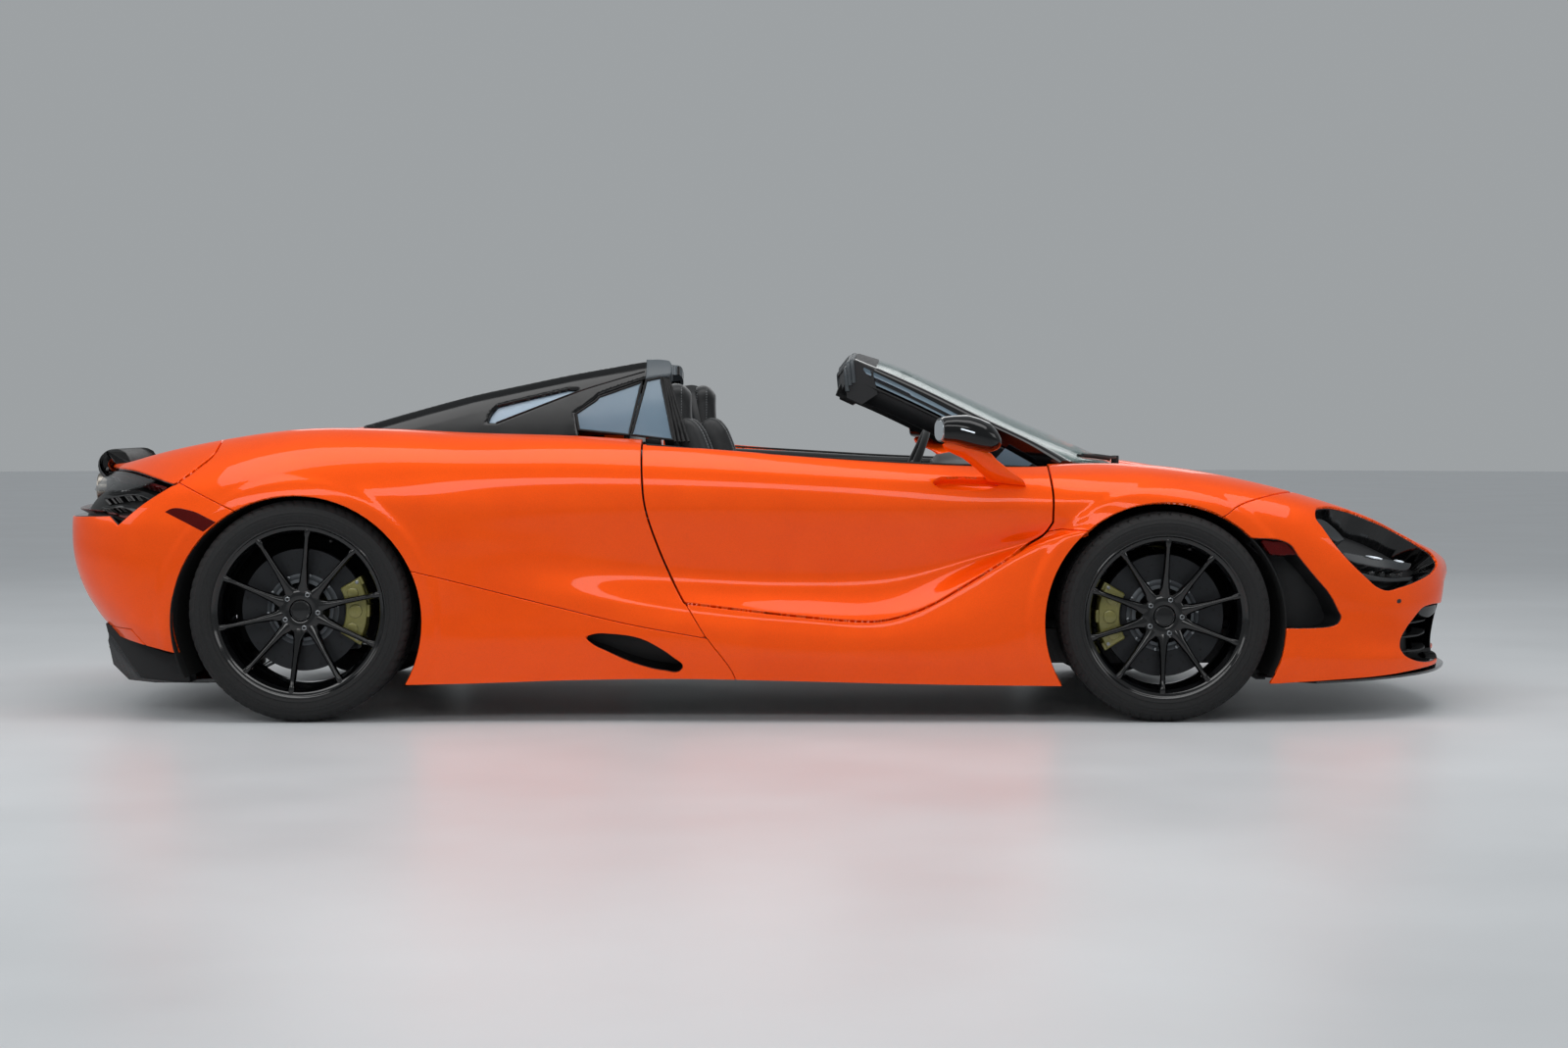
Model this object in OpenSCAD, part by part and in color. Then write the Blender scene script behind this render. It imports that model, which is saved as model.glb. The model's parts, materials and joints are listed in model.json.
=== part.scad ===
// Open two-seat mid-engined supercar, assembled from its panels and running gear.
// Frame: +X to the nose, +Y to the car's left, +Z up, ground at Z = 0, X = 0 at mid-length.
// All sizes in millimetres.

/* [Overall] */
// nose to tail
body_length = 4543; // [4300:1:4800]
// width over the hips
body_width = 1930; // [1860:1:2000]
// gap where the flanges of fixed panels meet
panel_gap = 0.4; // [0.3:0.1:3]
// gap round doors and lids
shut_gap = 7; // [5:0.5:9]
// thickness of the body skins
skin_t = 24; // [16:1:32]

/* [Wheels] */
// front tyre radius
front_tyre_r = 325; // [300:1:335]
// front tyre width
front_tyre_w = 245; // [205:1:255]
// front rim seat radius
front_rim_r = 241; // [220:1:254]
// rear tyre radius
rear_tyre_r = 343; // [320:1:352]
// rear tyre width
rear_tyre_w = 305; // [255:1:310]
// rear rim seat radius
rear_rim_r = 256; // [230:1:266]
// spokes in each wheel
spokes = 10; // [5:1:12]
// spoke width at the rim
spoke_w = 17; // [12:1:24]
// brake disc radius
disc_r = 192; // [170:1:198]

/* [Cabin] */
// seat width
seat_w = 480; // [400:5:520]
// seat centre from the middle of the car
seat_y = 350; // [300:5:380]
// how far forward the left seat is set
left_seat_x = 92; // [0:2:120]
// how far forward the right seat is set
right_seat_x = 28; // [0:2:120]
// steering wheel radius
steer_r = 178; // [150:1:190]
// windscreen glass thickness
glass_t = 6; // [4:1:8]
// half width of the tub
tub_y = 700; // [640:1:704]
// gap between the tub and the inner face of a door
door_gap = 24; // [18:1:34]

/* [Fittings] */
// towing eye thread bore
tow_bore_d = 20; // [14:1:24]
// exhaust pipe outer radius
exhaust_r = 52; // [40:1:60]
// engine block width
engine_w = 640; // [520:5:680]

/* [Hidden] */
kx = body_length / 4543;
ky = body_width / 1930;
front_x = 1219.5 * kx;
rear_x = -1450.5 * kx;
front_face_y = 958 * ky;
rear_face_y = 964 * ky;
front_arch_r = 374;
rear_arch_r = 389;
front_arch_z = 305;
rear_arch_z = 311;
seat_gap = 0.3;
door_in_y = tub_y + door_gap;
king_y = front_face_y - 158;
hinge_y = 448;

// Body lines from the centre of the roof deck (T0) down to the sill (S8), one row per station,
// from the middle of the nose to the middle of the tail.
P0 = [
 [[2150,0,528],[2182,0,518],[2212,0,504],[2238,0,488],[2262,0,466],[2271.5,0,436],[2268,0,392],[2260,0,344],
  [2250,0,290],[2244,0,230],[2246,0,170],[2244,0,130]],
 [[2085,0,548],[2128,130,534],[2160,240,517],[2186,330,498],[2220,345,474],[2236,352,440],[2236,358,394],
  [2228,362,344],[2216,366,288],[2212,368,230],[2220,368,170],[2218,368,130]],
 [[1960,0,580],[1985,230,574],[2020,430,562],[2046,550,552],[2082,598,528],[2112,624,480],[2122,640,422],
  [2120,650,356],[2108,656,290],[2106,660,232],[2116,664,176],[2112,660,128]],
 [[1840,0,612],[1850,280,608],[1878,510,612],[1905,655,620],[1928,738,588],[1948,782,530],[1962,806,456],
  [1966,816,376],[1962,820,300],[1962,824,240],[1968,832,186],[1966,822,122]],
 [[1690,0,648],[1695,290,646],[1708,540,660],[1725,722,680],[1730,822,644],[1735,872,582],[1740,900,500],
  [1742,908,412],[1742,908,330],[1742,912,256],[1745,920,190],[1745,905,120]],
 [[1480,0,694],[1480,300,694],[1480,560,714],[1480,746,744],[1480,850,708],[1480,910,642],[1480,934,556],
  [1480,940,462],[1480,942,376],[1480,942,280],[1480,946,192],[1480,930,118]],
 [[1229,0,740],[1229,310,742],[1229,570,760],[1229,752,786],[1229,866,752],[1229,934,686],[1229,952,612],
  [1229,954,540],[1229,956,470],[1229,956,330],[1229,956,194],[1229,938,116]],
 [[1060,0,775],[1030,320,780],[985,580,786],[960,764,793],[960,862,752],[960,914,692],[960,922,640],
  [960,930,606],[960,945,588],[960,958,400],[960,958,192],[960,938,112]],
 [[880,0,800],[880,330,800],[870,600,795],[840,784,784],[840,862,742],[840,894,680],[840,892,620],
  [840,880,560],[845,940,560],[850,956,380],[850,958,190],[850,936,112]],
 [[640,0,790],[640,330,790],[640,600,790],[640,800,786],[640,866,738],[640,892,670],[640,880,590],
  [640,856,500],[640,930,448],[640,952,320],[640,958,192],[640,934,114]],
 [[400,0,800],[400,330,800],[400,600,800],[400,810,796],[400,872,742],[400,892,664],[400,876,560],
  [400,862,440],[400,944,320],[400,956,260],[400,958,198],[400,932,118]],
 [[60,0,815],[60,330,815],[60,600,815],[60,815,820],[60,880,756],[60,897,664],[60,880,540],[60,874,420],
  [60,942,322],[60,952,268],[60,955,208],[60,926,126]],
 [[-300,0,860],[-300,330,860],[-300,560,860],[-300,818,846],[-300,888,772],[-300,906,670],[-300,894,550],
  [-300,890,440],[-300,934,356],[-300,944,300],[-300,946,228],[-300,918,132]],
 [[-620,0,872],[-620,330,872],[-620,560,868],[-620,822,862],[-620,902,780],[-620,922,680],[-620,918,570],
  [-620,918,470],[-620,932,394],[-620,936,320],[-620,938,240],[-620,918,128]],
 [[-960,0,880],[-960,330,880],[-960,560,882],[-960,820,872],[-960,914,790],[-960,944,690],[-960,946,590],
  [-960,944,500],[-960,944,420],[-960,944,330],[-960,946,240],[-960,930,118]],
 [[-1180,0,880],[-1180,330,882],[-1180,560,892],[-1180,806,886],[-1180,908,806],[-1180,952,708],
  [-1180,960,620],[-1180,960,530],[-1180,958,440],[-1180,956,340],[-1180,956,240],[-1180,940,116]],
 [[-1470,0,868],[-1470,330,872],[-1470,560,888],[-1470,776,893],[-1470,888,818],[-1470,950,724],
  [-1470,964,636],[-1470,965,540],[-1470,965,440],[-1470,965,340],[-1470,963,240],[-1470,945,130]],
 [[-1740,0,838],[-1740,330,842],[-1740,540,856],[-1740,715,861],[-1740,836,790],[-1740,912,706],
  [-1740,938,620],[-1742,944,530],[-1744,944,440],[-1746,940,340],[-1748,930,260],[-1750,905,190]],
 [[-1930,0,808],[-1930,320,812],[-1930,500,822],[-1930,632,826],[-1950,752,764],[-1975,832,700],
  [-1990,868,630],[-1996,880,550],[-1994,882,460],[-1986,876,370],[-1970,862,296],[-1950,830,230]],
 [[-2080,0,790],[-2075,280,792],[-2068,430,793],[-2060,545,792],[-2100,630,742],[-2150,690,690],
  [-2175,716,640],[-2180,724,570],[-2174,724,480],[-2150,716,390],[-2110,696,310],[-2070,670,250]],
 [[-2180,0,782],[-2165,190,782],[-2150,300,782],[-2130,400,782],[-2180,410,742],[-2235,416,690],
  [-2252,420,636],[-2256,422,566],[-2244,420,480],[-2206,414,388],[-2150,404,300],[-2100,396,250]],
 [[-2222,0,778],[-2216,0,779],[-2208,0,780],[-2200,0,781],[-2225,0,740],[-2258,0,690],[-2270,0,636],
  [-2271.5,0,566],[-2258,0,480],[-2214,0,388],[-2156,0,300],[-2106,0,250]]
];
NS = len(P0);
NL = 12;
PT = [for (r = P0) [for (p = r) [p[0] * kx, p[1] * ky, p[2]]]];

// how sharp each line is at a station: 1 is a hard crease
function crease(k, j) = j == 10 ? 0.6
  : j == 8 ? (k >= 7 && k <= 12 ? 1 : k == 6 ? 0.6 : k == 13 ? 0.3 : 0)
  : j == 3 ? (k >= 7 && k <= 12 ? 0.5 : 0) : 0;

function lerp(a, b, f) = a + (b - a) * f;
function unit(v) = v / max(norm(v), 0.000001);
function herm(a, b, m, n, f) = (2 * f * f * f - 3 * f * f + 1) * a + (f * f * f - 2 * f * f + f) * m
  + (3 * f * f - 2 * f * f * f) * b + (f * f * f - f * f) * n;
function mix3(d0, d1) = let (a = norm(d0) + 0.000001, b = norm(d1) + 0.000001) (d0 / a * b + d1 / b * a) / (a + b);
function endt(m) = abs(m[1]) < 0.05 ? m : unit([m[0] * 0.15, m[1], m[2] * 0.15]);
function tang(k, j) = k == 0 ? endt(unit(PT[1][j] - PT[0][j]))
  : k == NS - 1 ? endt(unit(PT[k][j] - PT[k - 1][j]))
  : mix3(PT[k][j] - PT[k - 1][j], PT[k + 1][j] - PT[k][j]);
function rail(t) = let (i = min(max(floor(t), 0), NS - 2), f = t - i)
  [for (j = [0:NL - 1]) let (a = PT[i][j], b = PT[i + 1][j], l = norm(b - a))
    herm(a, b, tang(i, j) * l, tang(i + 1, j) * l, f)];
function edges(t) = let (i = min(max(floor(t), 0), NS - 2), f = t - i)
  [for (j = [0:NL - 1]) lerp(crease(i, j), crease(i + 1, j), f)];
function cross_t(L, u, l, c, k, s) = k == 0 ? (abs(L[0][1]) < 1 && L[1][1] > 1 ? [0, 1, 0] : u[0])
  : k == NL - 1 ? u[NL - 2]
  : lerp((u[k - 1] * l[k] + u[k] * l[k - 1]) / (l[k - 1] + l[k]), s == 0 ? u[k] : u[k - 1], c[k]);
function sect(t, vs) = let (L = rail(t), c = edges(t),
    l = [for (k = [0:NL - 2]) norm(L[k + 1] - L[k]) + 0.000001],
    u = [for (k = [0:NL - 2]) (L[k + 1] - L[k]) / l[k]])
  [for (v = vs) let (k = min(max(floor(v), 0), NL - 2))
    herm(L[k], L[k + 1], cross_t(L, u, l, c, k, 0) * l[k], cross_t(L, u, l, c, k + 1, 1) * l[k], v - k)];
function steps(a, b, n) = [for (i = [0:n]) lerp(a, b, i / n)];
function flat(g) = [for (r = g) for (p = r) p];
function gnorm(G, i, j, n, m) = let (a = G[min(i + 1, n)][j] - G[max(i - 1, 0)][j],
    b = G[i][min(j + 1, m)] - G[i][max(j - 1, 0)], c = -cross(a, b)) c;
function push(G, i, j, n, m, th) = let (c0 = gnorm(G, i, j, n, m),
    c = norm(c0) > 1 ? c0 : gnorm(G, min(i + 1, n), min(j + 1, m), n, m),
    d = abs(G[i][j][1]) < 0.5 ? unit([c[0], 0, c[2]]) : unit(c))
  G[i][j] - d * th;
// faces of a slab between two n x m grids, the outer one first
function slab_faces(n, m) = let (w = m + 1, o = (n + 1) * w) concat(
  [for (i = [0:n - 1]) for (j = [0:m - 1]) let (a = i * w + j, b = a + w, c = b + 1, d = a + 1)
    each [[a, b, c], [a, c, d], [a + o, c + o, b + o], [a + o, d + o, c + o]]],
  [for (i = [0:n - 1]) let (a = i * w, b = a + w) each [[b, a, a + o], [b, a + o, b + o]]],
  [for (i = [0:n - 1]) let (d = i * w + m, c = d + w) each [[d, c, c + o], [d, c + o, d + o]]],
  [for (j = [0:m - 1]) let (b = n * w + j, c = b + 1) each [[c, b, b + o], [c, b + o, c + o]]],
  [for (j = [0:m - 1]) let (a = j, d = j + 1) each [[a, d, d + o], [a, d + o, a + o]]]);
module slab(G, I) polyhedron(points = concat(flat(G), flat(I)), faces = slab_faces(len(G) - 1, len(G[0]) - 1));

// body skin of even thickness over a range of stations and lines
module skin(ts, vs, th = skin_t, th0 = 0) {
  G = [for (t = ts) sect(t, vs)];
  n = len(ts) - 1;
  m = len(vs) - 1;
  slab(th0 == 0 ? G : [for (i = [0:n]) [for (j = [0:m]) push(G, i, j, n, m, th0)]],
    [for (i = [0:n]) [for (j = [0:m]) push(G, i, j, n, m, th)]]);
}
// body side filled in to a flat inner face
module block(ts, vs, yin) {
  G = [for (t = ts) sect(t, vs)];
  slab(G, [for (r = G) [for (p = r) [p[0], yin, p[2]]]]);
}
// outline in side view, pushed through from y0 to y1
module side(pts, y0, y1) translate([0, y1, 0]) rotate([90, 0, 0]) linear_extrude(y1 - y0)
  polygon([for (p = pts) [p[0] * kx, p[1]]]);
module side_grow(pts, y0, y1, g) translate([0, y1, 0]) rotate([90, 0, 0]) linear_extrude(y1 - y0)
  offset(delta = g) polygon([for (p = pts) [p[0] * kx, p[1]]]);
// outline in plan, pushed up from z0 to z1
module plan_grow(pts, z0, z1, g) translate([0, 0, z0]) linear_extrude(z1 - z0)
  offset(delta = g) polygon([for (p = pts) [p[0] * kx, p[1] * ky]]);
module ycyl(x, z, r, y0, y1, fn = 96) translate([x, y1, z]) rotate([90, 0, 0]) cylinder(h = y1 - y0, r = r, $fn = fn);
module box(x0, x1, y0, y1, z0, z1) translate([x0, y0, z0]) cube([x1 - x0, y1 - y0, z1 - z0]);
module both() {
  children();
  mirror([0, 1, 0]) children();
}

// ---- outlines shared by neighbouring panels ----
bonnet_o = [[1192,-1],[1176,200],[1116,400],[1066,500],[1012,590],[1060,634],[1229,664],[1480,622],[1700,556],
  [1840,486],[1950,390],[2020,260],[2048,130],[2056,-1]];
door_o = [[868,900],[868,758],[872,701],[874,591],[848,581],[802,552],[686,478],[571,407],[514,374],[456,347],
  [399,328],[330,315],[283,314],[111,328],[-263,370],[-289,417],[-344,539],[-386,674],[-395,780],[-397,900]];
sill_o = [[1100,582],[874,589],[848,581],[802,552],[686,478],[571,407],[514,374],[456,347],[399,328],[330,315],
  [283,314],[111,328],[-263,370],[-194,258],[-110,136],[-90,60],[1100,60]];
rear_sill_o = [[-1300,514],[-1111,468],[-672,358],[-441,303],[-194,258],[-110,136],[-90,60],[-1300,60]];
lamp_o = [[1709,641],[1825,629],[1900,595],[2024,535],[2116,491],[2141,466],[2092,408],[2019,383],[1971,377],
  [1928,386],[1886,416],[1820,482],[1762,551],[1715,615]];
bumper_o = [[1300,640],[1402,640],[1440,662],[1525,690],[1600,704],[1700,706],[1760,720],[2400,720],[2400,60],[1300,60]];
vent_o = [[1400,560],[1568,551],[1620,530],[1672,478],[1724,410],[1760,342],[1768,311],[1760,290],[1724,277],
  [1604,274],[1400,274]];
intake_o = [[2110,328],[2069,303],[2020,234],[2012,207],[2031,169],[2110,140]];
wing_o = [[-1721,960],[-1721,874],[-1740,840],[-1800,790],[-1838,752],[-2035,812],[-2140,804],[-2140,960]];
tail_o = [[-2105,800],[-2035,812],[-1838,752],[-2015,620],[-2045,630],[-2400,630],[-2400,770],[-2300,800]];
rbump_o = [[-1821,752],[-1838,752],[-2035,812],[-2400,900],[-2400,282],[-1994,280],[-1918,205],[-1871,185],
  [-1830,160],[-1560,160],[-1560,640]];
side_in_o = [[-568,257],[-556,273],[-499,274],[-384,253],[-350,235],[-303,203],[-269,168],[-274,152],[-326,157],
  [-413,178],[-499,216],[-545,239]];
deck_o = [[-300,-1],[-300,701],[-430,701],[-700,674],[-1000,644],[-1300,614],[-1560,560],[-1725,540],[-1725,-1]];
cabin_o = [[1168,-1],[1150,200],[1096,400],[1010,560],[900,700],[780,742],[300,760],[-300,740],[-300,-1]];

module front_arch(g = 0) ycyl(front_x, front_arch_z, front_arch_r + g, 300, 1200);
module rear_arch(g = 0) ycyl(rear_x - 11, rear_arch_z, rear_arch_r + g, 300, 1200);

// ---- outer panels ----
module front_bumper_half() difference() {
  intersection() {
    skin(concat([0, 0.25, 0.5, 0.75, 1], steps(1.33, 6, 14)), concat([0, 0.8, 1.6, 2.4], steps(3, 11, 16)));
    side(bumper_o, -50, 1200);
  }
  front_arch();
  plan_grow(bonnet_o, 300, 1000, shut_gap);
  side_grow(lamp_o, 250, 1200, 0);
  side(vent_o, 700, 1200);
  side(intake_o, 560, 1200);
  box(2000, 2400, -1, 520, 168, 330);
}
module front_bumper() color("#F25A00") resize([0, 0, 0]) union() {
  front_bumper_half();
  mirror([0, 1, 0]) front_bumper_half();
}
module front_splitter() color("#111213") resize([0, 0, 0]) union() both() {
  difference() {
    union() {
      translate([0, 0, 84]) linear_extrude(14) polygon([for (p = [[1556, -1], [1556, 560], [1640, 700], [1640, 780], [1700, 880], [1800, 872],
        [1960, 800], [2100, 664], [2190, 470], [2225, 250], [2232, -1]]) [p[0] * kx, p[1] * ky]]);
      box(2080 * kx, 2130 * kx, -1, 470, 98, 160);
    }
    front_arch(6);
  }
}
module fender() difference() {
  intersection() {
    skin(steps(3.4, 8.4, 20), concat([1.6, 2.2, 2.6], steps(3, 8, 12)));
    union() {
      side([[850,1000],[850,560],[1700,560],[1700,1000]], 0, 1200);
    }
  }
  side_grow(bumper_o, -50, 1200, panel_gap);
  side_grow(door_o, 300, 1200, shut_gap);
  side_grow(sill_o, 600, 1200, panel_gap);
  front_arch();
  plan_grow(bonnet_o, 300, 1000, shut_gap);
  plan_grow(cabin_o, 300, 1000, panel_gap);
}
module front_fenders() color("#F25A00") resize([0, 0, 0]) union() both() fender();
module sill() difference() {
  intersection() {
    block(steps(6.4, 12.3, 26), [8, 8.4, 9, 9.6, 10, 10.4, 11], tub_y + seat_gap);
    side(sill_o, 600, 1200);
  }
  side_grow(rear_sill_o, 600, 1200, panel_gap);
  side_grow(door_o, 600, 1200, shut_gap);
  front_arch();
}
module sills() color("#F25A00") resize([0, 0, 0]) union() both() sill();
module rear_sill() difference() {
  intersection() {
    block(steps(11.2, 15.6, 14), [7.4, 8, 8.5, 9, 9.5, 10, 10.5, 11], tub_y + 42);
    side(rear_sill_o, 600, 1200);
  }
  side(side_in_o, 860, 1200);
  rear_arch();
}
module rear_sills() color("#F25A00") resize([0, 0, 0]) union() both() rear_sill();
module quarter() difference() {
  intersection() {
    skin(steps(12, 18.6, 24), concat([1.8, 2.4], steps(3, 9, 15)));
    box(-2100 * kx, -250 * kx, 0, 1200, 170, 1000);
  }
  side_grow(door_o, 300, 1200, shut_gap);
  side_grow(rear_sill_o, 600, 1200, panel_gap);
  side_grow(sill_o, 600, 1200, panel_gap);
  side_grow(rbump_o, -50, 1200, panel_gap);
  side_grow(wing_o, -50, 1200, shut_gap);
  side_grow(tail_o, -50, 1200, panel_gap);
  rear_arch();
  plan_grow(deck_o, 300, 1100, panel_gap);
}
module rear_quarters() color("#F25A00") resize([0, 0, 0]) union() both() quarter();
module rear_bumper_half() difference() {
  intersection() {
    skin(concat(steps(16.2, 20, 13), [20.25, 20.5, 20.75, 21]), steps(3.6, 11, 16));
    side(rbump_o, -50, 1200);
  }
  side_grow(wing_o, -50, 1200, shut_gap);
  side_grow(tail_o, -50, 1200, panel_gap);
  rear_arch();
  box(-2400, -2000, -1, 470, 200, 470);
}
module rear_bumper() color("#F25A00") resize([0, 0, 0]) union() {
  rear_bumper_half();
  mirror([0, 1, 0]) rear_bumper_half();
}
module rear_diffuser() color("#111213") resize([0, 0, 0]) union() both() {
  difference() {
    side([[-1700, 92], [-1858, 89], [-2052, 105], [-2068, 121], [-2124, 223], [-2150, 262], [-2120, 262], [-2040, 128],
      [-1858, 106], [-1700, 106]], -1, 600);
    rear_arch(8);
  }
  for (y = [110, 250, 390, 588]) side([[-1860, 108], [-2045, 129], [-2119, 250], [-2100, 250], [-1944, 300 - seat_gap],
    [-1896, 300 - seat_gap], [-1860, 200]], y, y + 12);
}
module bonnet() color("#F25A00") resize([0, 0, 0]) intersection() {
  union() both() skin(steps(1.2, 8, 18), [0, 0.5, 1, 1.4, 1.8, 2.2, 2.6, 3, 3.3], 20);
  union() both() plan_grow(bonnet_o, 300, 1000, 0);
}
// lifting arms of the bonnet, on the pins of the tub
function bonnet_pad() = sect(6.42, [1.46 + hinge_y * (1 / ky - 1) / 260])[0];
module bonnet_hinges() color("#6E7276") both() difference() {
  q = bonnet_pad();
  zt = q[2] - 22.6;
  side([[912, 790], [948, 790], [948, 684], [q[0] / kx - 16, 684], [q[0] / kx - 16, zt], [q[0] / kx + 12, zt],
    [q[0] / kx + 12, 664], [912, 664]], hinge_y - 5, hinge_y + 5);
  ycyl(930 * kx, 775, 8.3, hinge_y - 8, hinge_y + 12, 48);
}
module airbrake_wing() color("#F25A00") resize([0, 0, 0]) intersection() {
  union() both() skin(steps(16.6, 19.6, 9), [0, 1, 1.8, 2.5, 3, 3.3, 3.7, 4.1, 4.6, 5], 26);
  side(wing_o, -1200, 1200);
}
module rear_deck() color("#F25A00") resize([0, 0, 0]) intersection() {
  union() both() skin(steps(14.6, 17.6, 8), [0, 0.7, 1.4, 2, 2.5, 3], 20);
  union() both() plan_grow([[-1310, -1], [-1310, 600], [-1560, 560], [-1712, 540], [-1712, -1]], 300, 1000, 0);
}
module door_core() block(steps(7.6, 12.7, 22), concat([3, 3.2, 3.6], steps(4, 7, 9), [7.3, 7.65, 8]), door_in_y);
module door_panel() difference() {
  door_core();
  difference() {
    box(-600 * kx, 1100 * kx, 600, 1200 * ky, 100, 1100);
    side_grow(door_o, 590, 1210 * ky, 0);
  }
  plan_grow([[868, 600], [868, 742], [780, 742], [300, 735], [300, 600]], 740, 1000, 0);
}
module door_left() color("#F25A00") resize([0, 0, 0]) door_panel();
module door_right() color("#F25A00") resize([0, 0, 0]) mirror([0, 1, 0]) door_panel();

// ---- lamps ----
module headlamp() intersection() {
  skin(steps(1.2, 4.9, 14), steps(2.4, 8, 14), 64, 16);
  side_grow(lamp_o, 380, 1200, -panel_gap);
}
module headlamps() color("#1A1B1D") resize([0, 0, 0]) union() both() headlamp();
module tail_lamp() difference() {
  intersection() {
    skin(steps(16.8, 20, 12), steps(3, 7, 10), 50, 14);
    side_grow(tail_o, 420, 1200, 0);
  }
  side_grow(wing_o, -50, 1200, shut_gap);
}
module tail_lamps() color("#1A1B1D") resize([0, 0, 0]) union() both() tail_lamp();
module rear_grille() color("#111213") difference() {
  box(-2190 * kx, -2170 * kx, -400, 400, 692 - exhaust_r, 708 + exhaust_r);
  for (y = [-110, 110]) translate([-2200 * kx, y, 700]) rotate([0, 90, 0]) cylinder(h = 60 * kx, r = exhaust_r + panel_gap, $fn = 48);
}

// ---- greenhouse ----
// side of the buttress leans in from the belt
function gh(x, z) = [x * kx, (704 - max(0, -x - 430) * 0.1 - (z - 880) * 0.62) * ky, z];
module lean(dy0, dy1) {
  G = [for (x = [-1330, -1000, -700, -300]) [for (z = [1180, 1060, 960, 820]) gh(x, z) + [0, dy0, 0]]];
  I = [for (x = [-1330, -1000, -700, -300]) [for (z = [1180, 1060, 960, 820]) gh(x, z) + [0, dy1, 0]]];
  slab([for (i = [3:-1:0]) G[i]], [for (i = [3:-1:0]) I[i]]);
}
buttress_o = [[-1299,929],[-1232,955],[-1082,1005],[-931,1041],[-731,1079],[-580,1100],[-400,1126],[-325,1126],
  [-325,1075],[-398,1057],[-542,1009],[-684,908],[-700,866],[-1290,866]];
slit_o = [[-895,925],[-875,985],[-770,1025],[-620,1042],[-580,1042]];
pane1_o = [[-684,908],[-542,1009],[-402,1055.7],[-440,886]];
pane2_o = [[-432,885],[-394,1058],[-325,1075],[-302,868]];
module tonneau_half() {
  difference() {
    intersection() {
      lean(0, -52);
      side(buttress_o, 300, 800);
      plan_grow(deck_o, 800, 1200, 0);
    }
    side(slit_o, 300, 800);
  }
  difference() {
    side([[-455,905],[-455,918],[-700,920],[-1000,914],[-1296,906],[-1296,888],[-1000,896],[-700,902],[-455,900]], -1, 560 * ky);
  }
}
module tonneau() color("#0C0D0F") resize([0, 0, 0]) union() {
  tonneau_half();
  mirror([0, 1, 0]) tonneau_half();
}
module quarter_glass() color("#9FB0B4") resize([0, 0, 0]) union() both() {
  intersection() {
    lean(-4, -4 - glass_t);
    union() {
      side_grow(pane1_o, 300, 800, -panel_gap);
      side_grow(pane2_o, 300, 800, -panel_gap);
    }
  }
  intersection() {
    lean(-20, -20 - glass_t);
    side_grow(slit_o, 300, 800, -panel_gap);
  }
}
// windscreen surface: u runs from the cowl to the header, w across
wsc = [[1171,778],[1011,849],[798,941],[585,1039],[425,1110],[290,1152]];
wse = [[902,806],[800,866],[655,935],[505,1010],[385,1066],[268,1120]];
function wsp(i, w) = let (c = wsc[i], e = wse[i], q = w * w, yy = [700, 684, 660, 632, 604, 574][i])
  [(c[0] + (e[0] - c[0]) * pow(abs(w), 2.2)) * kx, yy * w * tub_y / 700, c[1] + (e[1] - c[1]) * pow(abs(w), 2.2)];
module ws_slab(ws, is, dz0, dz1) slab([for (i = is) [for (w = ws) wsp(i, w) + dz0 * [0.42, 0, 0.9]]],
  [for (i = is) [for (w = ws) wsp(i, w) + dz1 * [0.42, 0, 0.9]]]);
module windscreen() color("#9FB0B4") resize([0, 0, 0])
  ws_slab(steps(-0.9, 0.9, 16), [0, 1, 2, 3, 4], 0, -glass_t);
module pillar() ws_slab([0.915, 0.94, 0.97, 1], [0, 1, 2, 3, 4, 5], 6, -56);
module windscreen_frame() color("#0C0D0F") resize([0, 0, 0]) union() {
  pillar();
  mirror([0, 1, 0]) pillar();
  both() box(852 * kx, 878 * kx, tub_y - 110, tub_y - 28, 720 + seat_gap, 792);
  difference() {
    ws_slab(steps(-0.97, 0.97, 16), [4, 5], 6, -60);
    ws_slab(steps(-0.905, 0.905, 16), [3, 4], 30, -90);
  }
}

// ---- tub, structure and cabin ----
module bonnet_bracket() {
  box(870 * kx, 940 * kx, hinge_y - 16, hinge_y - 6, 640, 720);
  box(914 * kx, 946 * kx, hinge_y - 16, hinge_y - 6, 640, 790);
  ycyl(930 * kx, 775, 8, hinge_y - 16, hinge_y + 10, 48);
}
module floor_tub() color("#17181A") union() {
  box(-470 * kx, 850 * kx, -tub_y, tub_y, 118, 150);
  both() box(-470 * kx, 840 * kx, tub_y - 100, tub_y, 150, 400);
  box(-500 * kx, -470 * kx, -tub_y, tub_y, 118, 828);
  box(850 * kx, 880 * kx, -545, 545, 118, 720);
  box(840 * kx, 870 * kx, -545, 545, 118, 150);
  box(850 * kx, 880 * kx, 28 - tub_y, tub_y - 28, 620, 720);
  both() box(-470 * kx, -340 * kx, 620, tub_y, 400, 620);
  both() box(-400 * kx, -350 * kx, tub_y - 10, door_in_y - seat_gap, 560, 600);
  both() bonnet_bracket();
  both() box(870 * kx, 1560 * kx, 470, 545, 150, 260);
}
module front_structure() color("#6E7276") difference() {
  union() {
    box(1560 * kx, 1590 * kx, -560, 560, 98 + seat_gap, 420);
    both() box(1590 * kx, 2050 * kx, 300, 370, 250, 330);
    box(2050 * kx, 2090 * kx, -470, 470, 250, 330);
    translate([2090 * kx, -180, 290]) rotate([0, 90, 0]) cylinder(h = 30, r = 22, $fn = 64);
  }
  translate([2040 * kx, -180, 290]) rotate([0, 90, 0]) cylinder(h = 100, r = tow_bore_d / 2, $fn = 64);
}
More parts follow.
